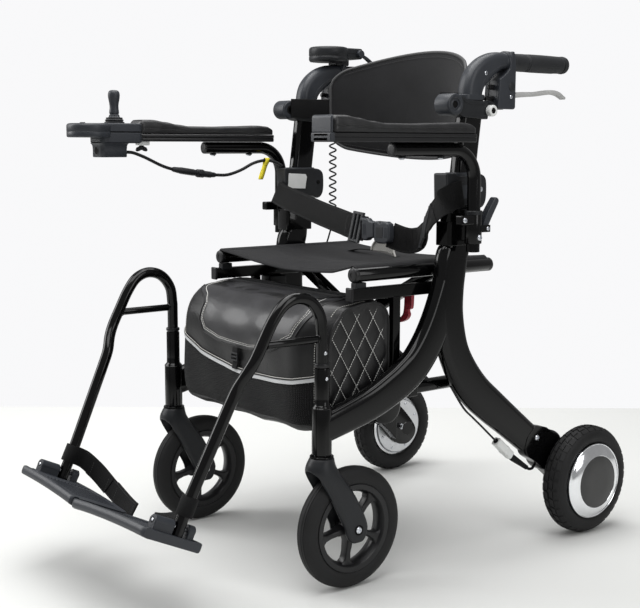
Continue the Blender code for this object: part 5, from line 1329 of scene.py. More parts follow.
def armrest_tube():
    bend = [(ARM_X, 0.0475 + 0.05 * math.cos(math.radians(a)), 0.6565 + 0.05 * math.sin(math.radians(a)))
            for a in range(90, -1, -6)]
    path = [(ARM_X, -0.082, ARM_TUBE_Z)] + bend + [(ARM_X, SOCKET_Y, 0.5385)]
    body = tube("armrest_tube", path, ARM_TUBE_R, PAINT, 32)
    parts = [body]
    parts.append(turned("tube_end", [(ARM_TUBE_R, 0), (ARM_TUBE_R - 0.0004, 0.001), (0.0095, 0.0018),
            (0.006, 0.002), (0.0004, 0.002)], (ARM_X, -0.082, ARM_TUBE_Z), FORWARD, RIM, 32, sharp=60))
    parts.append(turned("tube_foot", [(ARM_TUBE_R, 0), (0.0098, 0.0005), (0.009, 0.0005), (0.0088, -0.006),
            (0.0004, -0.006)], (ARM_X, SOCKET_Y, 0.5385), DOWNWARD, DARK, 28))
    for y in (-0.062, 0.021):
        parts.append(turned("base_spacer", [(0.004, -0.001), (0.0062, 0.0), (0.0062, 0.002),
                (0.004, 0.0028)], (ARM_X, y, ARM_TUBE_Z - ARM_TUBE_R + 0.0002), DOWNWARD, SATIN, 24))
        parts.append(screw("base_screw", (ARM_X, y, ARM_TUBE_Z - ARM_TUBE_R - 0.0022), DOWNWARD, 0.0044,
                ZINC, 0.0022))
    for index in range(6):
        place = Vector((ARM_X + ARM_TUBE_R - 0.0002, 0.0975, 0.552 + 0.012 * index))
        if place.z > 0.612:
            parts.append(turned("tube_dot", [(0.0004, 0.0003), (0.0026, 0.0003), (0.0029, -0.0004)], place,
                    OUTWARD, DARK, 16))
    both_sides("armrest_tube", parts, "armrest")


armrest_tube()


PAD_TOPS = [(-0.229, 0.7565), (-0.22, 0.7582), (-0.1967, 0.7584), (-0.1712, 0.7548), (-0.1452, 0.7504),
        (-0.1188, 0.7474), (-0.065, 0.7472), (-0.0124, 0.7486), (0.0373, 0.7502), (0.056, 0.749),
        (0.068, 0.745), (0.074, 0.74)]


def pad_top(y):
    # The cushion's top, eased between its measured heights
    for (start, low), (end, high) in zip(PAD_TOPS, PAD_TOPS[1:]):
        if y <= end:
            share = max(0.0, (y - start) / (end - start))
            return low + (high - low) * share * share * (3 - 2 * share)
    return PAD_TOPS[-1][1]


def armrest_pad(front):
    # A long cushion, crowned across, with pulled-in ends and a piped seam a third of the way up its side
    stations = 90
    rings = []
    half = BASE_WIDTH / 2 - 0.0012
    low = BASE_HIGH + 0.0004
    length = BASE_BACK - 0.002 - front
    seam_left = []
    seam_right = []
    for k in range(stations + 1):
        share = k / stations
        y = front + length * share
        end = min(y - front, BASE_BACK - 0.002 - y)
        round_off = math.sqrt(max(0.0, 1 - (1 - min(1.0, end / 0.008)) ** 2))
        top = low + (pad_top(y) - low) * (0.45 + 0.55 * round_off) - 0.0004
        wide = half * (0.72 + 0.28 * round_off)
        pucker = 0.00035 * math.sin(95 * y) + 0.0002 * math.sin(230 * y)
        tall = top - low
        ring = []
        for dx, rise in ((0.94, 0.0), (0.985, 0.1), (1.0, 0.26), (0.992, 0.34), (0.985, 0.38),
                (0.992, 0.42), (1.0, 0.52), (0.985, 0.7), (0.93, 0.86), (0.84, 0.945), (0.68, 0.985),
                (0.4, 1.0), (0.0, 1.005)):
            bulge = pucker if 0.2 < rise < 0.95 else 0.0
            ring.append((dx * wide + bulge, low + rise * tall))
        near = [Vector((PAD_X + dx, y, z)) for dx, z in ring]
        rings.append(near + [Vector((PAD_X - dx, y, z)) for dx, z in ring[-2::-1]])
        seam_right.append(Vector((PAD_X + 0.991 * wide, y, low + 0.38 * tall)))
        seam_left.append(Vector((PAD_X - 0.991 * wide, y, low + 0.38 * tall)))
    parts = [skin("pad", rings, PAD_LEATHER, sharp=80)]
    for line in (seam_left, seam_right):
        parts.append(tube("pad_piping", line[::2], 0.0007, PAD_LEATHER, 8))
    lines = []
    for line, side in ((seam_left, -1), (seam_right, 1)):
        lines.append(shifted(line[3:-3], side * 0.0006, 0, 0.0024))
    parts.append(dashes("pad_stitches", lines, 0.0028, 0.0012, 0.0003, DARK_THREAD, 4))
    return joined("armrest_pad", parts)


def armrest_base(cap):
    low_x = PAD_X - BASE_WIDTH / 2
    high_x = PAD_X + BASE_WIDTH / 2
    outline = rounded_at(PAD_X, (BASE_FRONT + BASE_BACK) / 2, BASE_WIDTH, BASE_BACK - BASE_FRONT, 0.008, 6)
    # The upper tray stands a little proud of the lower shell
    parts = [prism("base_shell", [(PAD_X + (x - PAD_X) * 0.975, y) for x, y in outline], "Z", BASE_LOW,
            0.7262, RIM, 0.0022), prism("base_tray", outline, "Z", 0.7258, BASE_HIGH, RIM, 0.0014)]
    parts.append(block("base_saddle", (ARM_X - 0.0135, -0.08, BASE_LOW - 0.0002),
            (ARM_X + 0.0135, 0.046, 0.72), SATIN, 0.002))
    if cap:
        nose = [(BASE_FRONT + 0.0012, 0.7315), (BASE_FRONT + 0.0012, 0.753), (BASE_FRONT + 0.0024, 0.7568),
                (BASE_FRONT + CAP_DEPTH, 0.7584), (BASE_FRONT + CAP_DEPTH, 0.7315)]
        parts.append(prism("base_nose", nose, "X", low_x + 0.0008, high_x - 0.0008, GREY, 0.0022))
        # The cap's lower tier stands further out than its upper one
        parts.append(block("nose_tier", (low_x + 0.0002, BASE_FRONT, 0.7184),
                (high_x - 0.0002, BASE_FRONT + CAP_DEPTH + 0.003, 0.7322), GREY, 0.0022))
    else:
        parts.append(block("front_clip", (PAD_X - 0.019, BASE_FRONT + 0.002, 0.711),
                (PAD_X - 0.002, BASE_FRONT + 0.024, 0.72), WHITE, 0.0022))
        stem = (PAD_X + 0.008, BASE_FRONT + 0.021, BASE_LOW)
        parts.append(turned("thumb_stem", [(0.003, -0.001), (0.0042, 0.0), (0.0042, 0.008), (0.0056, 0.009),
                (0.006, 0.012), (0.005, 0.015), (0.001, 0.0156)], stem, DOWNWARD, SATIN, 28))
        wing = [(-0.0125, -0.016), (-0.01, -0.0185), (-0.005, -0.0175), (0.0, -0.015), (0.005, -0.0175),
                (0.01, -0.0185), (0.0125, -0.016), (0.0105, -0.011), (0.0045, -0.0085), (-0.0045, -0.0085),
                (-0.0105, -0.011)]
        parts.append(prism("thumb_wing", [(stem[1] + a, BASE_LOW + b) for a, b in wing], "X",
                stem[0] - 0.0022, stem[0] + 0.0022, SATIN, 0.0014))
    return joined("armrest_base", parts)


def armrest_tops():
    left_base = armrest_base(True)
    left_base.name = "left_armrest_base"
    put(left_base, "left_armrest", ["left_armrest_base"])
    other_side(armrest_base(False), "right_armrest_base", "right_armrest")
    left_pad = armrest_pad(BASE_FRONT + CAP_DEPTH + 0.0005)
    left_pad.name = "left_armrest_pad"
    put(left_pad, "left_armrest", ["left_armrest_pad"])
    right_pad = other_side(armrest_pad(BASE_FRONT + 0.002), "right_armrest_pad", "right_armrest")


armrest_tops()


def clamp_lever():
    outline = outline_of([(0.1142, 0.5812), (0.116, 0.5775), (0.1213, 0.5745), (0.1262, 0.58),
            (0.133, 0.592), (0.141, 0.605), (0.149, 0.618), (0.1498, 0.6235), (0.147, 0.6265),
            (0.143, 0.6272), (0.1375, 0.621), (0.126, 0.6055), (0.1175, 0.59)], 3)
    parts = [prism("clamp_handle", outline, "X", ARM_X - 0.0068, ARM_X + 0.0068, GREY, 0.0026)]
    parts.append(rod("clamp_boss", (ARM_X - 0.0104, CLAMP_PIVOT.y, CLAMP_PIVOT.z),
            (ARM_X + 0.0104, CLAMP_PIVOT.y, CLAMP_PIVOT.z), 0.0048, GREY, 28))
    parts.append(screw("clamp_pin", (ARM_X + 0.0146, CLAMP_PIVOT.y, CLAMP_PIVOT.z), OUTWARD, 0.0034, ZINC,
            0.0012))
    both_sides("armrest_clamp_lever", parts, "armrest_clamp")


clamp_lever()


# Joystick: the housing with a boot round the stick, and the power button

def joystick():
    x, y = STICK.x, STICK.y
    parts = [turned("lobe", [(0.03, 0.725), (0.0362, 0.7252), (0.0384, 0.7262), (0.039, 0.7282),
            (0.039, 0.7345), (0.0386, 0.7352), (0.039, 0.7359), (0.039, 0.745), (0.0384, 0.7475),
            (0.0366, 0.7492), (0.034, 0.75), (0.008, 0.7502), (0.0062, 0.75), (0.0056, 0.749),
            (0.0056, 0.7468)], (x, -0.326, 0), UPWARD, GREY, 80, sharp=40)]
    back = BASE_FRONT - 0.001
    middle_y = (-0.314 + back) / 2
    outline = rounded_at(x, middle_y, 0.05, back + 0.314, 0.009, 7)
    parts.append(prism("joystick_box", outline, "Z", 0.7148, 0.735, GREY, 0.003))
    parts.append(prism("joystick_top", outline, "Z", 0.7356, 0.748, GREY, 0.001))
    dome = []
    for keep, z in ((1.0, 0.7472), (0.992, 0.7488), (0.965, 0.75), (0.92, 0.7505), (0.78, 0.7507)):
        dome.append([Vector((x + (px - x) * keep, middle_y + (py - middle_y) * keep, z))
                for px, py in outline])
    parts.append(skin("joystick_dome", dome, GREY, sharp=50))
    parts.append(prism("joystick_seam", [(x + (px - x) * 0.985, middle_y + (py - middle_y) * 0.99)
            for px, py in outline], "Z", 0.7342, 0.7362, DARK, 0))
    # The lower box flares where it meets the body
    flare = []
    for z, grow in ((0.69, -0.0012), (0.6912, 0.0), (0.704, 0.0), (0.71, 0.0006), (0.713, 0.002),
            (0.7152, 0.0044)):
        flare.append([Vector((x + a, -0.2852 + b, z)) for a, b in rounded(0.04 + 2 * grow,
                0.0532 + 2 * grow, 0.0075 + grow, 6)])
    parts.append(skin("joystick_lower", flare, GREY, sharp=50))
    port = (x, -0.3118, 0.7015)
    parts.append(turned("port_ring", [(0.0064, 0.0004), (0.0082, 0.0006), (0.0088, 0.0002),
            (0.0088, -0.001)], port, FORWARD, SATIN, 36))
    # A near-black ring inside the port: painted shade
    parts.append(turned("port_hole_shade", [(0.0006, -0.0004), (0.0062, -0.0004), (0.0066, 0.0005)], port,
            FORWARD, DARK, 28))
    parts.append(turned("port_core", [(0.0004, 0.0003), (0.003, 0.0003), (0.0034, -0.0004)], port, FORWARD,
            SATIN, 20))
    parts.append(turned("exit_ring", [(0.0032, 0.0002), (0.005, 0.0), (0.0054, -0.001)],
            (CABLE_X, -0.2583, 0.699), BACKWARD, SATIN, 24))
    boot = [(0.018, 0.7485), (0.0182, 0.7508), (0.0178, 0.7528), (0.016, 0.7534), (0.0154, 0.7542),
            (0.0164, 0.7552), (0.0168, 0.7562), (0.016, 0.7571), (0.0146, 0.7577), (0.0144, 0.7585),
            (0.0152, 0.7594), (0.0148, 0.7603), (0.0138, 0.7609), (0.013, 0.7607), (0.0129, 0.7485)]
    parts.append(turned("boot_rings", boot, (x, y, 0), UPWARD, GRIP, 56, sharp=60))
    # A near-black disc at the bottom of the boot: painted shade
    parts.append(turned("boot_floor_shade", [(0.013, 0.748), (0.0126, 0.746), (0.0006, 0.7456)], (x, y, 0),
            UPWARD, DARK, 40))
    for index in range(5):
        parts.append(block("speed_mark", (x - 0.008 + 0.004 * index - 0.0012, -0.244, 0.7504),
                (x - 0.008 + 0.004 * index + 0.0012, -0.2425, 0.7509), GRIP, 0.0001))
    one_piece("joystick_housing", parts, "right_armrest")

    # A bellows' rings at the stick's foot, then the bulbous knob
    stick = [(0.005, 0.747), (0.0066, 0.7505), (0.009, 0.759), (0.0104, 0.7604), (0.0108, 0.7616),
            (0.0098, 0.7626), (0.0092, 0.7634), (0.0096, 0.7644), (0.0086, 0.7654), (0.0078, 0.7662),
            (0.0084, 0.7674), (0.0088, 0.769), (0.0086, 0.772), (0.008, 0.777), (0.008, 0.782),
            (0.0086, 0.787), (0.0094, 0.791), (0.0102, 0.7955), (0.0106, 0.8), (0.0104, 0.803),
            (0.0096, 0.8058), (0.0082, 0.8078), (0.006, 0.809), (0.0036, 0.8094), (0.0006, 0.8095)]
    put(turned("joystick_stick", stick, (x, y, 0), UPWARD, GREY, 56, sharp=50), "joystick_stick",
            ["joystick_stick"])
    gimbal = [(0.0034, 0.7396), (0.0044, 0.7408), (0.0045, 0.7417), (0.0044, 0.7426), (0.0034, 0.7436)]
    put(turned("joystick_gimbal", gimbal, (x, y, 0), UPWARD, SATIN, 32), "joystick_gimbal",
            ["joystick_gimbal"])
    button = [(0.005, 0.7478), (0.005, 0.7506), (0.0046, 0.7514), (0.0038, 0.7518), (0.003, 0.7517),
            (0.0006, 0.7516)]
    put(turned("power_button", button, (x, -0.338, 0), UPWARD, SATIN, 36), "power_button", ["power_button"])


joystick()


# Footrests: the bent hanger, the ribbed plate and the heel strap

def at_hinge(x, back, up):
    return Vector((HINGE.x + x, HINGE.y, HINGE.z)) + PLATE_BACK * back + PLATE_UP * up


def footrest_hanger():
    upper = smooth([(HANGER_X, CASTER.y, 0.42), (HANGER_X, -0.188, 0.451), (0.227, -0.206, 0.474),
            (0.2275, -0.232, 0.4815), (0.227, -0.257, 0.473), (0.226, -0.276, 0.451),
            (0.225, -0.293, 0.421), (0.224, -0.308, 0.393), (0.218, -0.3185, 0.373), (0.207, -0.329, 0.349),
            (0.203, -0.342, 0.322)], 7)
    path = [Vector((HANGER_X, CASTER.y, 0.3085))] + upper[:-1] + smooth([upper[-1], at_hinge(0, 0, 0.05)],
            8)
    path += [at_hinge(0, 0, -0.0225)]
    parts = [tube("hanger_tube", path, HANGER_R, PAINT, 28)]
    parts.append(rod("hanger_bar", (HANGER_X, CASTER.y, 0.414), (0.2245, -0.298, 0.414), 0.0062, PAINT, 24))
    for end, way in (((HANGER_X, CASTER.y - 0.0088, 0.414), FORWARD), ((0.2247, -0.2895, 0.414), BACKWARD)):
        parts.append(turned("bar_weld", [(0.0078, 0), (0.0072, 0.0012), (0.0062, 0.0018)], end, way, PAINT,
                28, sharp=60))
    parts.append(turned("receiver_ring", [(0.0096, 0.3695), (0.0118, 0.3698), (0.0124, 0.371),
            (0.0124, 0.374), (0.0118, 0.3752), (0.0096, 0.3756)], (HANGER_X, CASTER.y, 0), UPWARD, RIM, 36))
    parts.append(turned("pin_dot", [(0.0004, 0.001), (0.0022, 0.0008), (0.003, 0.0), (0.003, -0.001)],
            (HANGER_X + HANGER_R, CASTER.y, 0.392), OUTWARD, ZINC, 16))
    foot = at_hinge(0, 0, -0.0225)
    parts.append(turned("tube_plug", [(HANGER_R, -0.001), (HANGER_R, 0.0002), (0.008, 0.001),
            (0.0004, 0.001)], foot, -PLATE_UP, RIM, 28))
    both_sides("footrest_hanger", parts, "footrest")


footrest_hanger()

PLATE_OUTER = 0.0195
PLATE_FRONT = -0.07
PLATE_REAR = 0.04


def plate_drop(x):
    # How far the plate bows down, inwards of its hinge
    return 0.008 * (x / HINGE.x - 0.1) ** 2 if x < 0 else 0.0


def footplate(name, inner):
    # A moulded plate that bows down inwards, with a lip in front, ribs near its hinge and two barrels
    stations = 44
    rings = []
    for k in range(stations + 1):
        x = PLATE_OUTER + (inner - PLATE_OUTER) * k / stations
        top = -0.0112 - plate_drop(x)
        low = top - 0.0155
        end = min(k, stations - k) * abs(inner - PLATE_OUTER) / stations
        pull = 0.0026 * max(0.0, 1 - end / 0.004) ** 2
        near_inner = 0.005 * max(0.0, 1 - (stations - k) / 2.0)
        ring = []
        for back, up, part in ((PLATE_FRONT + 0.0006, low + 0.004, 0.8),
                (PLATE_FRONT + 0.0001, low + 0.008, 0.5), (PLATE_FRONT + 0.0004, top - 0.0022, 0.2),
                (PLATE_FRONT + 0.0016, top - 0.0004, 0.05), (PLATE_FRONT + 0.0045, top + 0.0002, 0),
                (PLATE_FRONT + 0.009, top, 0), (PLATE_FRONT + 0.0105, top - 0.0012, 0),
                (PLATE_REAR - 0.007, top - 0.0012, 0), (PLATE_REAR - 0.0055, top, 0),
                (PLATE_REAR - 0.002, top, 0.05), (PLATE_REAR - 0.0005, top - 0.0018, 0.2),
                (PLATE_REAR - 0.0001, low + 0.006, 0.6), (PLATE_REAR - 0.0015, low + 0.0012, 0.9),
                (PLATE_REAR - 0.004, low + 0.0002, 1), (PLATE_FRONT + 0.006, low + 0.0002, 1),
                (PLATE_FRONT + 0.002, low + 0.0014, 0.9)):
            ring.append(at_hinge(x + near_inner * part, back + (pull if back < 0 else -pull), up))
        rings.append(ring)
    parts = [skin("plate", rings, GREY, sharp=32)]
    for index in range(13):
        back = PLATE_FRONT + 0.016 + 0.0068 * index
        ends = (PLATE_OUTER - 0.01, -0.052) if back < -0.018 or back > 0.018 else (-0.02, -0.052)
        path = [at_hinge(x, back, -0.0122 - plate_drop(x)) for x in evenly(ends[0], ends[1] - ends[0], 8)]
        parts.append(tube("plate_rib", path, 0.0013, GREY, 8, across=PLATE_BACK))
    for index in range(9):
        x = -0.066 - 0.0105 * index
        parts.append(tube("plate_bead", [at_hinge(x, back, -0.0126 - plate_drop(x))
                for back in (PLATE_FRONT + 0.018, -0.015, PLATE_REAR - 0.014)], 0.0009, GREY, 8))
    for low, high in ((-0.05, -0.0135), (0.0135, 0.026)):
        axis = PLATE_BACK
        length = high - low
        parts.append(turned("barrel", [(0.0042, 0.0), (0.008, 0.0), (0.009, 0.001), (0.009, length - 0.001),
                (0.008, length), (0.0042, length)], at_hinge(0, low, 0), axis, GREY, 40, loop=True))
        web = [[at_hinge(x, back, up) for x, up in ((-0.009, -0.015), (0.009, -0.015), (0.0088, -0.001),
                (-0.0088, -0.001))] for back in (low + 0.0004, high - 0.0004)]
        parts.append(eased(skin("barrel_web", web, GREY), 0.0012))
    parts.append(rod("hinge_pin", at_hinge(0, -0.0505, 0), at_hinge(0, 0.0265, 0), 0.003, ZINC, 20))
    # A near-black disc at the barrel's end for the pin hole: painted shade
    parts.append(turned("pin_hole_shade", [(0.0004, 0.0003), (0.0036, 0.0003), (0.0044, 0.0)], at_hinge(0, -0.05,
            0), -PLATE_BACK, DARK, 24))
    return joined(name, parts)


def footplates():
    left = footplate("left_footplate", -HINGE.x - 0.0134)
    put(left, "left_footplate", ["left_footplate"])
    source = footplate("footplate_source", -HINGE.x + 0.0146)
    other_side(source, "right_footplate", "right_footplate")


footplates()


def heel_strap():
    side = -(HANGER_R + 0.0024)
    route = [at_hinge(side, -0.003, 0.033), at_hinge(side, 0.006, 0.033), at_hinge(side - 0.001, 0.017,
            0.032), Vector((0.172, -0.3905, 0.164)), Vector((0.148, -0.382, 0.149)),
            Vector((0.115, -0.378, 0.132)), Vector((0.08, -0.3775, 0.119)), Vector((0.05, -0.3785, 0.1105)),
            Vector((0.032, -0.379, 0.107))]
    path = smooth(route, 7)
    parts = [strip("heel_band", path, 0.031, 0.0021, 0.001, PLATE_UP)]
    fold = path[-20:]
    parts.append(strip("band_fold", shifted(fold, 0, 0.0019, 0), 0.0305, 0.0016, 0.0007, PLATE_UP))
    parts.append(strip("band_step", shifted(path[24:36], 0, -0.0019, 0), 0.0305, 0.0016, 0.0007, PLATE_UP))
    lines = []
    for offset in (-0.0135, 0.0135):
        lines.append([point + PLATE_UP * offset + Vector((0, -0.0012, 0)) for point in path[8:]])
    for index in (25, 34):
        lines.append([path[index] + PLATE_UP * offset + Vector((0, -0.003, 0))
                for offset in (-0.0135, 0.0135)])
    for index in (-3, -18):
        lines.append([path[index] + PLATE_UP * offset + Vector((0, -0.0012, 0))
                for offset in (-0.0135, 0.0135)])
    parts.append(dashes("band_stitches", lines, 0.0028, 0.0012, 0.0004, DARK_THREAD, 4))
    wrap = [(0.0132, -0.0148), (0.0136, -0.014), (0.0136, 0.014), (0.0132, 0.0148), (0.0106, 0.0148),
            (0.0104, 0.014), (0.0104, -0.014), (0.0106, -0.0148)]
    put_pair(turned("strap_wrap", wrap, at_hinge(0, 0, 0.033), PLATE_UP, WEB, 40, loop=True, sharp=50),
            "footrest")
    for side_name, made in zip(("left", "right"), both_sides("heel_strap", parts, "footrest")):
        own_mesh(made)


heel_strap()


# Folding cross brace: two flat arms with their seat tubes, the centre bolt and the red lock lever

CENTRE_Z = (PIVOT_Z + SEAT_Z) / 2
LOCK_X = 0.105
LOCK_Z = PIVOT_Z + (LOCK_X + PIVOT_X) * (SEAT_Z - PIVOT_Z) / (2 * PIVOT_X)


def cross_arm(name, side, middle_y):
    # side is the side of the lower pivot; the seat tube is on the other side
    low = Vector((side * PIVOT_X, 0, PIVOT_Z))
    high = Vector((-side * PIVOT_X, 0, SEAT_Z))
    along = (high - low).normalized()
    start = low - along * 0.004
    end = high - along * (SEAT_R - 0.002)
    path = [start + Vector((0, middle_y, 0)), end + Vector((0, middle_y, 0))]
    parts = [swept(name + "_bar", path, rounded(0.016, 0.022, 0.0035, 5), PAINT, across=BACKWARD)]
    tube_x = -side * PIVOT_X
    parts.append(rod(name + "_tube", (tube_x, SEAT_FRONT + 0.002, SEAT_Z),
            (tube_x, SEAT_BACK - 0.002, SEAT_Z), SEAT_R, PAINT, 32))
    for end_y, way in ((SEAT_FRONT + 0.0022, -1), (SEAT_BACK - 0.0022, 1)):
        parts.append(turned(name + "_cap", [(SEAT_R, -0.006), (SEAT_R + 0.0002, 0.0),
                (SEAT_R - 0.0006, 0.0014), (SEAT_R - 0.003, 0.002), (0.0042, 0.0021), (0.004, 0.0012),
                (0.0004, 0.0012)], (tube_x, end_y, SEAT_Z), (0, way, 0), RIM, 36, sharp=60))
    parts.append(rod(name + "_sleeve", (side * PIVOT_X, 0.0294, PIVOT_Z), (side * PIVOT_X, 0.1276, PIVOT_Z),
            0.0113, PAINT, 32))
    for y in (middle_y - 0.0085, middle_y + 0.0085):
        bead_y = Vector((0, y, 0))
        parts.append(turned(name + "_weld", [(SEAT_R + 0.0024, -0.001), (SEAT_R + 0.002, 0.001),
                (SEAT_R, 0.002)], high + bead_y, (0, 1 if y > middle_y else -1, 0), PAINT, 28, sharp=70))
    return parts


def cross_brace():
    parts = cross_arm("arm_a", 1, ARM_A_Y)
    parts.append(rod("centre_bolt", (0, ARM_A_Y, CENTRE_Z), (0, ARM_B_Y + 0.0115, CENTRE_Z), 0.0049, ZINC))
    parts.append(turned("centre_spacer", [(0.0088, ARM_A_Y + 0.006), (0.009, ARM_A_Y + 0.009),
            (0.009, ARM_B_Y - 0.0088), (0.006, ARM_B_Y - 0.0084)], (0, 0, CENTRE_Z), BACKWARD, SATIN, 32))
    parts.append(screw("centre_head", (0, ARM_A_Y - 0.008, CENTRE_Z), FORWARD, 0.0072, ZINC))
    one_piece("cross_arm_a", parts, "cross_arm_a")
    parts = cross_arm("arm_b", -1, ARM_B_Y)
    parts.append(rod("lock_pin", (LOCK_X, ARM_B_Y + 0.006, LOCK_Z), (LOCK_X, ARM_B_Y + 0.0198, LOCK_Z),
            0.003, ZINC, 20))
    parts.append(screw("lock_head", (LOCK_X, ARM_B_Y + 0.0172, LOCK_Z), BACKWARD, 0.0046, ZINC, 0.0026))
    one_piece("cross_arm_b", parts, "cross_arm_b")
    outline = outline_of([(LOCK_X - 0.0085, LOCK_Z + 0.0055), (LOCK_X, LOCK_Z + 0.0093),
            (LOCK_X + 0.0085, LOCK_Z + 0.0055), (LOCK_X + 0.0085, LOCK_Z - 0.015),
            (LOCK_X + 0.0068, LOCK_Z - 0.033), (LOCK_X - 0.0015, LOCK_Z - 0.0375),
            (LOCK_X + 0.0008, LOCK_Z - 0.0465), (LOCK_X - 0.0075, LOCK_Z - 0.0565),
            (LOCK_X - 0.0265, LOCK_Z - 0.0628), (LOCK_X - 0.0305, LOCK_Z - 0.0585),
            (LOCK_X - 0.0155, LOCK_Z - 0.048), (LOCK_X - 0.0112, LOCK_Z - 0.034),
            (LOCK_X - 0.01, LOCK_Z - 0.01)], 4)
    lever = prism("fold_lock_lever", outline[:-1], "Y", ARM_B_Y + 0.009, ARM_B_Y + 0.0168, RED, 0.002)
    one_piece("fold_lock_lever", [lever], "fold_lock")


cross_brace()


# Seat: a sheet stretched between the two tubes, wrapped round each, with soft folds at its front

SLING_HALF = PIVOT_X - 0.004
SLING_TOP = SEAT_Z + SEAT_R + 0.0043


def sling_height(x, y):
    share = min(1.0, abs(x) / SLING_HALF)
    sag = 0.011 * (1 - share ** 2)
    wave = 0.0024 * math.exp(-((y - SEAT_FRONT - 0.045 - 0.35 * abs(x)) / 0.014) ** 2)
    wave += 0.0016 * math.exp(-((y - SEAT_FRONT - 0.085 - 0.1 * abs(x - 0.05)) / 0.01) ** 2)
    wave += 0.002 * math.exp(-((y - SEAT_BACK + 0.05 + 0.25 * abs(x)) / 0.016) ** 2)
    wave -= 0.0014 * math.exp(-((y - 0.04 + 0.3 * x) / 0.02) ** 2)
    front = 0.002 * math.exp(-((y - SEAT_FRONT) / 0.008) ** 2)
    droop = min(1.0, max(0.0, (x + 0.145) / 0.155)) * min(1.0, max(0.0, (0.192 - abs(x)) / 0.05))
    front += 0.0075 * droop * math.exp(-((y - SEAT_FRONT) / 0.034) ** 2)
    return SLING_TOP - sag + wave * (1 - share ** 2) - front


def on_sling(x, y, rise):
    return Vector((x, y, sling_height(x, y) + rise))


def seat_sling():
    columns = 96
    rows = 84
    thick = 0.0026
    low_y = SEAT_FRONT + 0.0035
    high_y = SEAT_BACK - 0.0085
    points = []
    for i in range(-6, columns + 7):
        for j in range(rows + 1):
            y = low_y + (high_y - low_y) * j / rows
            if 0 <= i <= columns:
                x = SLING_HALF * (2 * i / columns - 1)
                z = sling_height(x, y)
            else:
                # Past the tube's middle the cloth turns down round it
                side = -1 if i < 0 else 1
                turn = math.radians(13 * (-i if i < 0 else i - columns))
                x = side * (PIVOT_X - 0.004 * math.cos(turn) + (SEAT_R - 0.001) * math.sin(turn) * 0.92)
                z = SEAT_Z + (SLING_TOP - SEAT_Z) * math.cos(turn)
            points.append((x, y, z))
    faces, spots = net(points, columns + 12, rows, 1)
    top = mesh_piece("seat_cloth", points, faces, SEAT_CLOTH, spots, sharp=80)
    layer = top.modifiers.new("cloth", "SOLIDIFY")
    layer.thickness = thick
    layer.offset = -1.0
    bake(top)
    hems = []
    for y in (low_y, high_y):
        line = [on_sling(x, y, -thick / 2) for x in across_of(SLING_HALF, columns)]
        hems.append(tube("seat_hem", line, 0.0019, SEAT_CLOTH, 10, across=BACKWARD))
    stitches = []
    for offset in (0.007, 0.0095):
        stitches.append([on_sling(x, low_y + offset, 0.0002) for x in across_of(SLING_HALF, 60)])
    for side in (-1, 1):
        for inset in (0.017, 0.02):
            x = side * (SLING_HALF - inset)
            stitches.append([on_sling(x, y, 0.0002) for y in evenly(low_y, high_y - low_y, 60)])
    thread = dashes("seat_stitches", stitches, 0.003, 0.0013, 0.0004, DARK_THREAD, 4)
    sling = joined("seat_sling", [top] + hems + [thread])
    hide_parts("seat_sling")
    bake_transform(sling)
    pull_tab()


def pull_tab():
    # A piped net handle that arches over the sheet, on a black strap
    y = 0.1255
    outline = smooth([(-0.019, 0.5195), (-0.016, 0.5275), (-0.008, 0.5362), (0.006, 0.5412), (0.024, 0.542),
            (0.036, 0.5385), (0.041, 0.529), (0.045, 0.519), (0.049, 0.511)], 5)
    under = smooth([(0.041, 0.512), (0.025, 0.515), (0.005, 0.5165), (-0.019, 0.518)], 14)
    edge = [Vector((row[0], y, row[1])) for row in outline]
    loop = tube("tab_piping", shifted(edge, 0, -0.0022, 0), 0.0017, PALE, 10, across=BACKWARD)
    rows = []
    last = len(edge) - 1
    for index in range(last + 1):
        low = under[round((len(under) - 1) * (1 - index / last))]
        rows.append([edge[index] + Vector((0, offset, 0))
                for offset in (-0.0006, 0.0006)] + [Vector((low[0], y + offset, low[1]))
                for offset in (0.0006, -0.0006)])
    face = skin("tab_net", rows, PALE_NET, sharp=60)
    lattice = []
    for way in (1, -1):
        for start in range(-14, 16):
            line = []
            for x in evenly(-0.019, 0.061, 29):
                z = 0.529 + way * (x - 0.011 - 0.0058 * start) * 0.85
                top = max((row[1] for row in outline if abs(row[0] - x) < 0.0042), default=0.0)
                low = 0.5185 - 0.095 * max(0.0, x - 0.01)
                if low < z < top:
                    line.append(Vector((x, y - 0.0008, z)))
            if len(line) > 2:
                lattice.append(tube("tab_lattice", line, 0.0007, PALE, 6, across=BACKWARD))
    strap_line = smooth([(-0.092, 0.5095), (-0.08, 0.513), (-0.056, 0.5175), (-0.02, 0.5185)], 6)
    strap = strip("tab_strap", [Vector((row[0], y, row[1] + 0.0006)) for row in strap_line], 0.012, 0.0018,
            0.0008, BACKWARD)
    heel = block("tab_heel", (0.044, y - 0.006, 0.506), (0.0545, y + 0.006, 0.512), WEB, 0.0016)
    tab = joined("pull_tab", [loop, face, strap, heel] + lattice)
    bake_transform(tab)



seat_sling()


# Storage bag: a sagging shell with a stitched flap, a zip, a silver band, a net pocket and quilted sides

BAG_HALF = 0.2065
BAG_MIDDLE = (-0.11, 0.36)
BAG_TOP = RAIL_HIGH - 0.0175
BAG_OUTLINE = [(-0.176, 0.252), (-0.19, 0.262), (-0.1965, 0.29), (-0.1968, 0.345), (-0.196, 0.3965),
        (-0.188, 0.4265), (-0.172, 0.4465), (-0.148, 0.459), (-0.105, 0.463), (-0.06, BAG_TOP),
        (-0.036, 0.4585), (-0.0235, 0.4365), (-0.0225, 0.385), (-0.0225, 0.345), (-0.034, 0.329),
        (-0.08, 0.303), (-0.13, 0.276)]
BAG_LOOP = smooth(BAG_OUTLINE + BAG_OUTLINE[:1], 8)[:-1]


def bag_recess(x):
    # The front draws back towards the sides, round the corners
    return 0.036 * max(0.0, (abs(x) - 0.148) / (BAG_HALF - 0.148)) ** 2.2


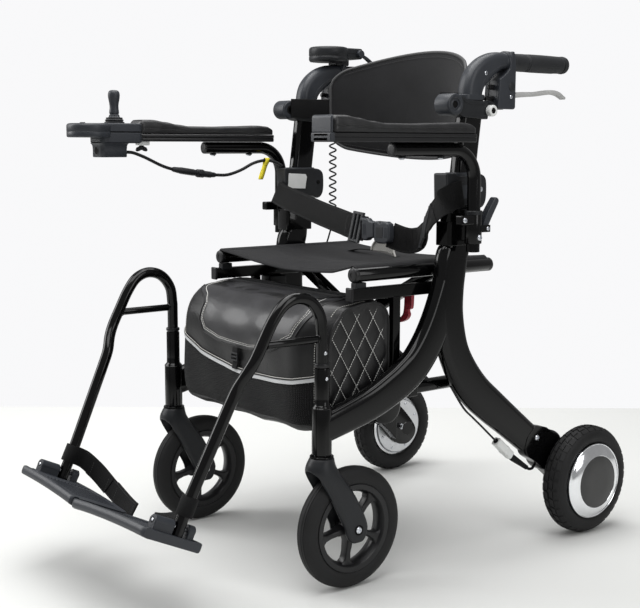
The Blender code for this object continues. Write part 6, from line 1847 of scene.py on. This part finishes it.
def bag_ring(x, keep):
    ring = []
    for row in BAG_LOOP:
        y = BAG_MIDDLE[0] + (row[0] - BAG_MIDDLE[0]) * keep
        z = BAG_MIDDLE[1] + (row[1] - BAG_MIDDLE[1]) * keep
        front = min(1.0, max(0.0, (BAG_MIDDLE[0] + 0.02 - y) / 0.08))
        y += bag_recess(x) * front
        crease = 0.0022 * math.sin(21 * x + 6 * z) * math.sin(17 * z + 9 * x) + 0.001 * math.sin(63 * x
                + 30 * z)
        low = min(1.0, max(0.0, (0.3 - z) / 0.04))
        sag = 0.0022 * math.sin(34 * x + 1.2) * low
        ring.append(Vector((x, y + (0.0022 + crease) * front * (1 - min(1.0, abs(x) / BAG_HALF) ** 6),
                z + abs(sag))))
    return ring


def bag_front(x, z, proud=0.0):
    # The point of the front at a place across and a height, read from the same ring
    ring = bag_ring(x, bag_keep(x))
    best = None
    for here, after in zip(ring, ring[1:] + ring[:1]):
        if min(here.z, after.z) <= z <= max(here.z, after.z) and abs(after.z - here.z) > 1e-9:
            point = here.lerp(after, (z - here.z) / (after.z - here.z))
            if best is None or point.y < best.y:
                best = point
    best = best or min(ring, key=lambda point: abs(point.z - z) + max(0.0, point.y + 0.15))
    return Vector((x, best.y - proud, z))


def bag_keep(x):
    return 1.0 - 0.07 * max(0.0, (abs(x) - 0.165) / (BAG_HALF - 0.165)) ** 1.6


FLAP_LINE = [(-0.1738, 0.464), (-0.1263, 0.4497), (-0.1092, 0.4365), (-0.1075, 0.408), (-0.0944, 0.3916),
        (-0.0511, 0.3813), (0.0432, 0.3774), (0.105, 0.385), (0.1596, 0.4095), (0.1723, 0.4451),
        (0.1695, 0.4592), (0.1386, 0.4637)]
BAND_LINE = [(-0.19, 0.377), (-0.1333, 0.3573), (-0.1076, 0.3492), (-0.0515, 0.3396), (-0.0053, 0.3333),
        (0.0506, 0.3291), (0.124, 0.3322), (0.1635, 0.3355), (0.1887, 0.3406), (0.195, 0.342)]


def straight(points, per_span):
    # Places at even steps along straight spans
    made = []
    for here, after in zip(points, points[1:]):
        made += [Vector(here).lerp(Vector(after), step / per_span) for step in range(per_span)]
    return made + [Vector(points[-1])]


def band_height(x):
    for here, after in zip(BAND_LINE, BAND_LINE[1:]):
        if x <= after[0] or after is BAND_LINE[-1]:
            return here[1] + (after[1] - here[1]) * (x - here[0]) / (after[0] - here[0])


def front_patch(name, columns, rows, low_x, high_x, low_of, high_of, proud, material, bulge=0.0):
    # A layer sewn on the front between two heights; its rim meets the front
    points = []
    for i, x in enumerate(evenly(low_x, high_x - low_x, columns)):
        for j in range(rows + 1):
            share = j / rows
            z = low_of(x) + (high_of(x) - low_of(x)) * share
            rim = 0.0 if i in (0, columns) or j in (0, rows) else 1.0
            puff = bulge * math.sin(math.pi * share) * math.sin(math.pi * i / columns) ** 0.3
            points.append(bag_front(x, z, 0.0002 + (proud + puff) * rim))
    faces, spots = net(points, columns, rows, 2)
    return mesh_piece(name, points, faces, material, spots, sharp=60)


def flap():
    # The flap's outline is the stitched line moved outwards, filled from its middle
    line = straight(FLAP_LINE, 6)
    outer = []
    for index, row in enumerate(line):
        ahead = line[min(index + 1, len(line) - 1)]
        behind = line[max(index - 1, 0)]
        normal = Vector((-(ahead - behind)[1], (ahead - behind)[0])).normalized()
        outer.append(Vector((row[0] - normal[0] * 0.0065, row[1] - normal[1] * 0.0065)))
    rim = outer + [Vector((outer[-1][0] + (outer[0][0] - outer[-1][0]) * k / 20,
            outer[-1][1] + (outer[0][1] - outer[-1][1]) * k / 20 + 0.01 * math.sin(math.pi * k / 20)))
            for k in range(1, 20)]
    middle = Vector((0.035, 0.418))
    steps = 18
    points = []
    faces = []
    for k in range(1, steps + 1):
        share = k / steps
        for place in rim:
            spot = middle.lerp(place, share)
            rise = 0.0016 if share < 0.97 else 0.0004
            points.append(bag_front(spot[0], min(spot[1], BAG_TOP - 0.0012),
                    rise + 0.0016 * (1 - share ** 3)))
    count = len(rim)
    points.append(bag_front(middle[0], middle[1], 0.0032))
    for k in range(steps - 1):
        for step in range(count):
            after = (step + 1) % count
            faces.append((k * count + step, k * count + after, (k + 1) * count + after,
                    (k + 1) * count + step))
    for step in range(count):
        faces.append((len(points) - 1, step, (step + 1) % count))
    parts = [mesh_piece("flap", points, faces, FLAP_LEATHER, sharp=80)]
    parts.append(tube("flap_piping", [bag_front(p[0], p[1], 0.0012) for p in outer], 0.0011, LEATHER, 8,
            across=BACKWARD))
    stitched = [bag_front(p[0], p[1], 0.0024) for p in line]
    second = [bag_front(p[0] * 0.978 + 0.0007, p[1] + (0.0028 if p[1] < 0.43 else -0.0014), 0.0027)
            for p in line]
    parts.append(dashes("flap_stitches", [stitched], 0.0034, 0.0008, 0.00062, THREAD))
    parts.append(dashes("flap_stitches", [second], 0.0034, 0.001, 0.0005, PALE))
    return parts


QUILT_Y = -0.1461
QUILT_Z = 0.4067
QUILT_PITCH = 0.0341
QUILT_SLOPE = 1.62


def quilted_side(side):
    rings = []
    steps = 60
    edge = bag_ring(side * BAG_HALF, bag_keep(BAG_HALF))
    middle = Vector((side * BAG_HALF, BAG_MIDDLE[0] + 0.006, BAG_MIDDLE[1] + 0.004))
    for k in range(steps + 1):
        share = max(0.0005, k / steps)
        ring = []
        for point in edge:
            spot = middle.lerp(point, share)
            first = math.sin(math.pi * (spot.y - QUILT_Y + (spot.z - QUILT_Z) / QUILT_SLOPE) / QUILT_PITCH)
            second = math.sin(math.pi * (spot.y - QUILT_Y - (spot.z - QUILT_Z) / QUILT_SLOPE) / QUILT_PITCH)
            puff = 0.0026 * abs(first * second) ** 0.6 * min(1.0, (1 - share) * 8)
            ring.append(Vector((side * (BAG_HALF - 0.0034 + puff + 0.0034 * share ** 6), spot.y, spot.z)))
        rings.append(ring)
    parts = [skin("quilt", rings, LEATHER, caps=False, sharp=80)]
    lines = []
    for family in (1, -1):
        for k in range(-7, 10):
            line = []
            for z in evenly(0.262, 0.205, 159):
                y = QUILT_Y + QUILT_PITCH * k + family * (z - QUILT_Z) / QUILT_SLOPE
                if inside_ring((y, z), edge, 0.93, middle) and z > 0.2905 + (y + 0.1447) * 0.255:
                    line.append(Vector((side * (BAG_HALF - 0.0018), y, z)))
            if len(line) > 4:
                lines.append(line)
    parts.append(dashes("quilt_stitches", lines, 0.0034, 0.0008, 0.00062, THREAD))
    hem = [Vector((side * (BAG_HALF - 0.0012), y, z)) for y, z in zip(evenly(-0.1447, 0.11, 20),
            evenly(0.2887, 0.028, 20))]
    parts.append(tube("quilt_hem", hem, 0.0009, PALE, 8))
    piping = shifted(edge, side * 0.0002, 0, 0)
    parts.append(loop_tube("side_piping", piping, 0.0018, LEATHER))
    return parts


def inside_ring(spot, edge, keep, middle):
    inside = False
    previous = edge[-1]
    for point in edge:
        y1, z1 = middle.y + (previous.y - middle.y) * keep, middle.z + (previous.z - middle.z) * keep
        y2, z2 = middle.y + (point.y - middle.y) * keep, middle.z + (point.z - middle.z) * keep
        if (z1 > spot[1]) != (z2 > spot[1]) and spot[0] < (y2 - y1) * (spot[1] - z1) / (z2 - z1) + y1:
            inside = not inside
        previous = point
    return inside


def loop_tube(name, points, radius, material):
    # A round cord that closes on itself
    rings = []
    side = axes_of(points[1] - points[-1])[1]
    for index, point in enumerate(points):
        tangent = (points[(index + 1) % len(points)] - points[index - 1]).normalized()
        side = (side - tangent * side.dot(tangent)).normalized()
        up = tangent.cross(side)
        rings.append([point + side * a + up * b for a, b in circle(radius, 8)])
    return skin(name, rings, material, loop=True, sharp=80)




def storage_bag():
    shell = skin("bag_shell", [bag_ring(x, bag_keep(x)) for x in evenly(-BAG_HALF, 2 * BAG_HALF, 84)],
            LEATHER, caps=False, sharp=80)
    parts = [shell] + flap()
    for side in (-1, 1):
        parts += quilted_side(side)
    parts.append(front_patch("net_pocket", 60, 16, -0.196, 0.196, lambda x: 0.266, band_height, 0.0006,
            MESH, 0.0022))
    band_places = evenly(-0.19, 0.385, 90)
    for proud, low, high, material in ((0.0026, -0.0032, 0.003, BAND), (0.0032, 0.0034, 0.005, LEATHER)):
        rings = []
        for x in band_places:
            z = band_height(x)
            rings.append([bag_front(x, z + low, proud), bag_front(x, z + low, 0.0004), bag_front(x,
                    z + high, 0.0004), bag_front(x, z + high, proud)])
        parts.append(skin("bag_band", rings, material, sharp=60))
    piping = [bag_front(x, band_height(x) + 0.0059, 0.002) for x in band_places]
    parts.append(tube("band_piping", piping, 0.0006, PALE, 8, across=BACKWARD))
    # A small strap with a plastic slider holds the pocket's edge
    strap = [bag_front(0.008, 0.372 - 0.0046 * k, 0.0042 + 0.0012 * math.sin(k)) for k in range(9)]
    parts.append(strip("bag_strap", strap, 0.015, 0.0016, 0.0007))
    place = bag_front(0.008, 0.356, 0.0)
    for z in (-0.006, 0.0, 0.006):
        parts.append(block("strap_slider", (place.x - 0.0095, place.y - 0.0072, place.z + z - 0.0012),
                (place.x + 0.0095, place.y - 0.0046, place.z + z + 0.0012), SATIN, 0.0008))
    for x in (-0.0085, 0.0085):
        parts.append(block("strap_slider", (place.x + x - 0.0012, place.y - 0.0072, place.z - 0.007),
                (place.x + x + 0.0012, place.y - 0.0046, place.z + 0.007), SATIN, 0.0008))
    # The zip runs along the top near its front edge
    zip_line = [Vector((x, -0.08, 0.4655 + 0.0004 * math.sin(9 * x))) for x in evenly(-0.175, 0.35, 69)]
    parts.append(swept("zip_tape", zip_line, rounded(0.03, 0.0012, 0.0005, 3), CLOTH, across=(0, 1, 0.075),
            sharp=60))
    teeth = [shifted(zip_line, 0, offset, 0.0009) for offset in (-0.0012, 0.0012)]
    parts.append(dashes("zip_teeth", teeth, 0.0016, 0.0012, 0.001, SATIN, 5))
    for offset in (-0.0128, 0.0128):
        parts.append(dark_seam("zip_stitches", [shifted(zip_line, 0, offset, 0.0007)], 0.0004))
    edge_lines = []
    for side in (-1, 1):
        x = side * (0.168 if side < 0 else 0.1935)
        edge_lines.append([bag_front(x, z, 0.0006) for z in evenly(0.275, 0.165, 40)])
        top_edge = [point for point in bag_ring(side * 0.199, bag_keep(0.199)) if point.z > 0.44
                and -0.165 < point.y < -0.07]
        edge_lines.append(shifted(top_edge, 0, -0.0003, 0.0007))
    parts.append(dashes("edge_stitches", edge_lines, 0.0028, 0.0012, 0.0005, PALE, 4))
    bag = one_piece("storage_bag", parts, "left_frame")
    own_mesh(bag)


storage_bag()


# Lap belt: two lengths of webbing with sliders, and the buckle's two halves

BELT_TALL = 0.044
BELT_UP = Vector((0.0, 0.25, 0.97)).normalized()


def band_of(name, route, proud_fold):
    path = smooth(route, 8)
    parts = [strip(name, path, BELT_TALL, 0.0022, 0.001, BELT_UP)]
    lines = [[point + BELT_UP * offset + Vector((0, -0.0013, 0)) for point in path]
            for offset in (-0.0195, 0.0195)]
    parts.append(dashes(name + "_edge", lines, 0.003, 0.0014, 0.0004, DARK_THREAD, 4))
    low, high = proud_fold
    fold = shifted(path[low:high], 0, -0.0021, 0)
    parts.append(strip(name + "_fold", fold, BELT_TALL - 0.001, 0.0018, 0.0008, BELT_UP))
    box = [path[low + 1] + BELT_UP * -0.016, path[high - 2] + BELT_UP * -0.016,
            path[high - 2] + BELT_UP * 0.016, path[low + 1] + BELT_UP * 0.016,
            path[low + 1] + BELT_UP * -0.016, path[high - 2] + BELT_UP * 0.016]
    parts.append(dark_seam(name + "_box", [shifted(box, 0, -0.0033, 0)], 0.0004))
    return path, parts


def slider(middle, along, width):
    # A frame with a bar across its middle, which the webbing threads
    along = Vector(along).normalized()
    up = BELT_UP
    out = along.cross(up).normalized()
    out = out if out.y < 0 else -out
    parts = []
    for offset, length, wide in ((-width, 0.054, 0.008), (0.0, 0.046, 0.0066), (width, 0.054, 0.008)):
        ends = [middle + along * offset + out * 0.0024 + up * (length / 2) * way for way in (-1, 1)]
        parts.append(swept("slider_bar", ends, rounded(wide, 0.005, 0.002, 4), SATIN, across=along,
                sharp=60))
    for way in (-1, 1):
        ends = [middle + along * reach + out * 0.0024 + up * 0.0245 * way for reach in (-width, width)]
        parts.append(swept("slider_side", ends, rounded(0.0056, 0.0046, 0.0018, 4), SATIN, across=up,
                sharp=60))
    return parts


def lap_belt():
    left_route = [(0.2452, 0.098, 0.634), (0.2448, 0.076, 0.629), (0.238, 0.0612, 0.619),
            (0.22, 0.0582, 0.603), (0.206, 0.059, 0.587), (0.195, 0.06, 0.57), (0.184, 0.058, 0.557),
            (0.17, 0.053, 0.552), (0.156, 0.044, 0.554), (0.138, 0.033, 0.561)]
    path, parts = band_of("belt_left", left_route, (24, 38))
    parts += slider(path[37], path[39] - path[35], 0.0105)
    shell = [(0.108, 0.551), (0.1115, 0.5465), (0.1375, 0.546), (0.1462, 0.55), (0.148, 0.5575),
            (0.148, 0.573), (0.1462, 0.5805), (0.1375, 0.584), (0.13, 0.5834), (0.124, 0.5806),
            (0.118, 0.5834), (0.1115, 0.584), (0.108, 0.5795)]
    parts.append(prism("buckle_shell", shell, "Y", 0.0202, 0.0338, GREY, 0.003))
    parts.append(prism("buckle_window", [(0.115, 0.556), (0.132, 0.556), (0.132, 0.574), (0.115, 0.574)],
            "Y", 0.0196, 0.0206, SATIN, 0.0004))
    for low, high in ((0.5455, 0.55), (0.579, 0.5835)):
        parts.append(block("buckle_side", (0.1155, 0.0215, low), (0.132, 0.0325, high), SATIN, 0.0018))
    for x in (0.1375, 0.1405, 0.1435):
        parts.append(block("buckle_rib", (x - 0.0005, 0.0197, 0.556), (x + 0.0005, 0.0206, 0.574), GREY,
                0.0003))
    left = one_piece("lap_belt_left", parts, "left_frame")
    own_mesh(left)

    right_route = [(-0.23, 0.0555, 0.622), (-0.2, 0.054, 0.613), (-0.1373, 0.048, 0.601),
            (-0.065, 0.039, 0.588), (0.015, 0.028, 0.576), (0.045, 0.026, 0.571), (0.08, 0.026, 0.568)]
    path, parts = band_of("belt_right", right_route, (34, 42))
    parts += slider(path[43], path[45] - path[41], 0.011)
    tongue = [(0.068, 0.5525), (0.0716, 0.5482), (0.0884, 0.5482), (0.0936, 0.5525), (0.1072, 0.5545),
            (0.1072, 0.5815), (0.0936, 0.5835), (0.0884, 0.5878), (0.08, 0.587), (0.0716, 0.5878),
            (0.068, 0.5835)]
    parts.append(prism("tongue_body", tongue, "Y", 0.0208, 0.033, GREY, 0.0028))
    # A thin near-black strip in the tongue's slot: painted shade
    parts.append(prism("tongue_slot_shade", [(0.0727, 0.5525), (0.0758, 0.5525), (0.0758, 0.5832),
            (0.0727, 0.5832)], "Y", 0.0202, 0.0212, DARK, 0.0003))
    for x in (0.08, 0.0831, 0.0863):
        parts.append(block("tongue_rib", (x - 0.0005, 0.0203, 0.558), (x + 0.0005, 0.0212, 0.578), GREY,
                0.0003))
    right = one_piece("lap_belt_right", parts, "right_frame")
    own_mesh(right)


lap_belt()


# Battery below the seat

CASE_X = -0.134
CASE_Y = 0.018
CASE_FRONT = -0.0138


def battery_pack():
    low = RAIL_LOW - 0.126
    high = RAIL_LOW - 0.026
    outline = rounded_at(CASE_X, CASE_Y, 0.1, 0.064, 0.009, 5)
    parts = [prism("battery_case", outline, "Z", low, low + 0.047, RIM, 0.0035),
            prism("battery_lid", outline, "Z", low + 0.0478, high, RIM, 0.0035),
            prism("battery_seam", [(CASE_X + (x - CASE_X) * 0.985, CASE_Y + (y - CASE_Y) * 0.975)
            for x, y in outline], "Z", low + 0.0455, low + 0.049, DARK, 0)]
    parts.append(block("battery_hook", (-0.2085, 0.0045, RAIL_LOW - 0.04),
            (-0.1785, 0.0435, RAIL_LOW - 0.0006), SATIN, 0.0018))
    handle = [Vector((CASE_X + across, -0.0137, high + rise)) for across, rise in ((-0.025, -0.032),
            (-0.023, -0.02), (-0.015, -0.015), (0.015, -0.015), (0.023, -0.02), (0.025, -0.032))]
    parts.append(tube("battery_handle", smooth(handle, 5), 0.0026, GREY, 14, across=BACKWARD))
    for index in range(4):
        parts.append(turned("charge_light", [(0.0016, -0.0004), (0.0016, 0.0004), (0.001, 0.0007),
                (0.0003, 0.0007)], (CASE_X - 0.034, CASE_FRONT, low + 0.018 + 0.0055 * index), FORWARD,
                WHITE, 14))
    parts.append(turned("charge_port", [(0.0003, 0.0002), (0.004, 0.0002), (0.0044, 0.0006),
            (0.0056, 0.0006), (0.006, -0.0006)], (CASE_X + 0.025, CASE_FRONT, low + 0.026), FORWARD, DARK,
            28))
    one_piece("battery_pack", parts, "right_frame")


battery_pack()


# Floor and backdrop, soft studio light and a pale world

BACKDROP_COLOUR = (0.945, 0.945, 0.955, 1.0)
BACKDROP_R = 14.0
BLACK = (0.0, 0.0, 0.0, 1.0)
PURE_WHITE = (1.0, 1.0, 1.0, 1.0)
FLOOR_Z = -0.0002
FLOOR_AHEAD = 3.2
FLOOR_BEHIND = 4.0
FLOOR_HALF = 6.0
WORLD_LIGHT = 0.3
MIDDLE = Vector((0, 0, 0.45))


def stage():
    floor_paper = grained("floor_paper", (0.69, 0.695, 0.68), 0.55, patches=(0.8, 0.006, 0.04), grain=300.0,
            strength=0.02)
    glow = bpy.data.materials.new("backdrop_glow")
    glow.use_nodes = True
    shader = glow.node_tree.nodes["Principled BSDF"]
    set_inputs(shader, Base_Color=BLACK, Specular_IOR_Level=0.0)
    set_inputs(shader, Emission_Color=BACKDROP_COLOUR, Emission_Strength=1.0)
    look = Vector((-math.sin(CAMERA_AZIMUTH), math.cos(CAMERA_AZIMUTH), 0))
    side = Vector((look.y, -look.x, 0))
    near = Vector((CAMERA_PLACE.x, CAMERA_PLACE.y, 0))
    ahead = near + look * FLOOR_AHEAD
    behind = near - look * FLOOR_BEHIND
    reach = side * FLOOR_HALF
    corners = [behind - reach, behind + reach, ahead + reach, ahead - reach]
    floor = mesh_piece("floor", [(p.x, p.y, FLOOR_Z) for p in corners], [(0, 1, 2, 3)], floor_paper)
    # The backdrop is a wide pale ball round everything, which lights nothing, so no view is blocked
    bm = bmesh.new()
    bmesh.ops.create_uvsphere(bm, u_segments=48, v_segments=24, radius=BACKDROP_R)
    points = [tuple(vertex.co) for vertex in bm.verts]
    faces = [tuple(vertex.index for vertex in face.verts) for face in bm.faces]
    bm.free()
    backdrop = mesh_piece("backdrop", points, faces, glow)
    for rays in ("diffuse", "glossy", "transmission", "volume_scatter", "shadow"):
        setattr(backdrop, "visible_" + rays, False)


stage()


def soft_light(name, place, target, size, power, tall=None):
    data = bpy.data.lights.new(name, "AREA")
    data.shape = "RECTANGLE" if tall else "SQUARE"
    data.size = size
    if tall:
        data.size_y = tall
    data.energy = power
    made = bpy.data.objects.new(name, data)
    bpy.context.collection.objects.link(made)
    made.location = place
    made.rotation_euler = (Vector(target) - Vector(place)).to_track_quat("-Z", "Y").to_euler()
    return made


soft_light("top_softbox", (0.3, -0.7, 2.9), MIDDLE, 2.4, 76)
soft_light("left_softbox", (-1.9, -1.6, 1.7), MIDDLE, 1.2, 40, 2.0)
soft_light("right_softbox", (2.4, 0.4, 1.5), MIDDLE, 0.9, 16, 2.0)
soft_light("backdrop_light", (-0.6, 0.6, 2.4), (-1.4, 1.2, 0.6), 1.6, 34)

world = bpy.data.worlds.new("studio")
bpy.context.scene.world = world
world.use_nodes = True
set_inputs(world.node_tree.nodes["Background"], Color=PURE_WHITE, Strength=WORLD_LIGHT)
bpy.context.scene.view_settings.view_transform = "Standard"
bpy.context.scene.view_settings.look = "None"
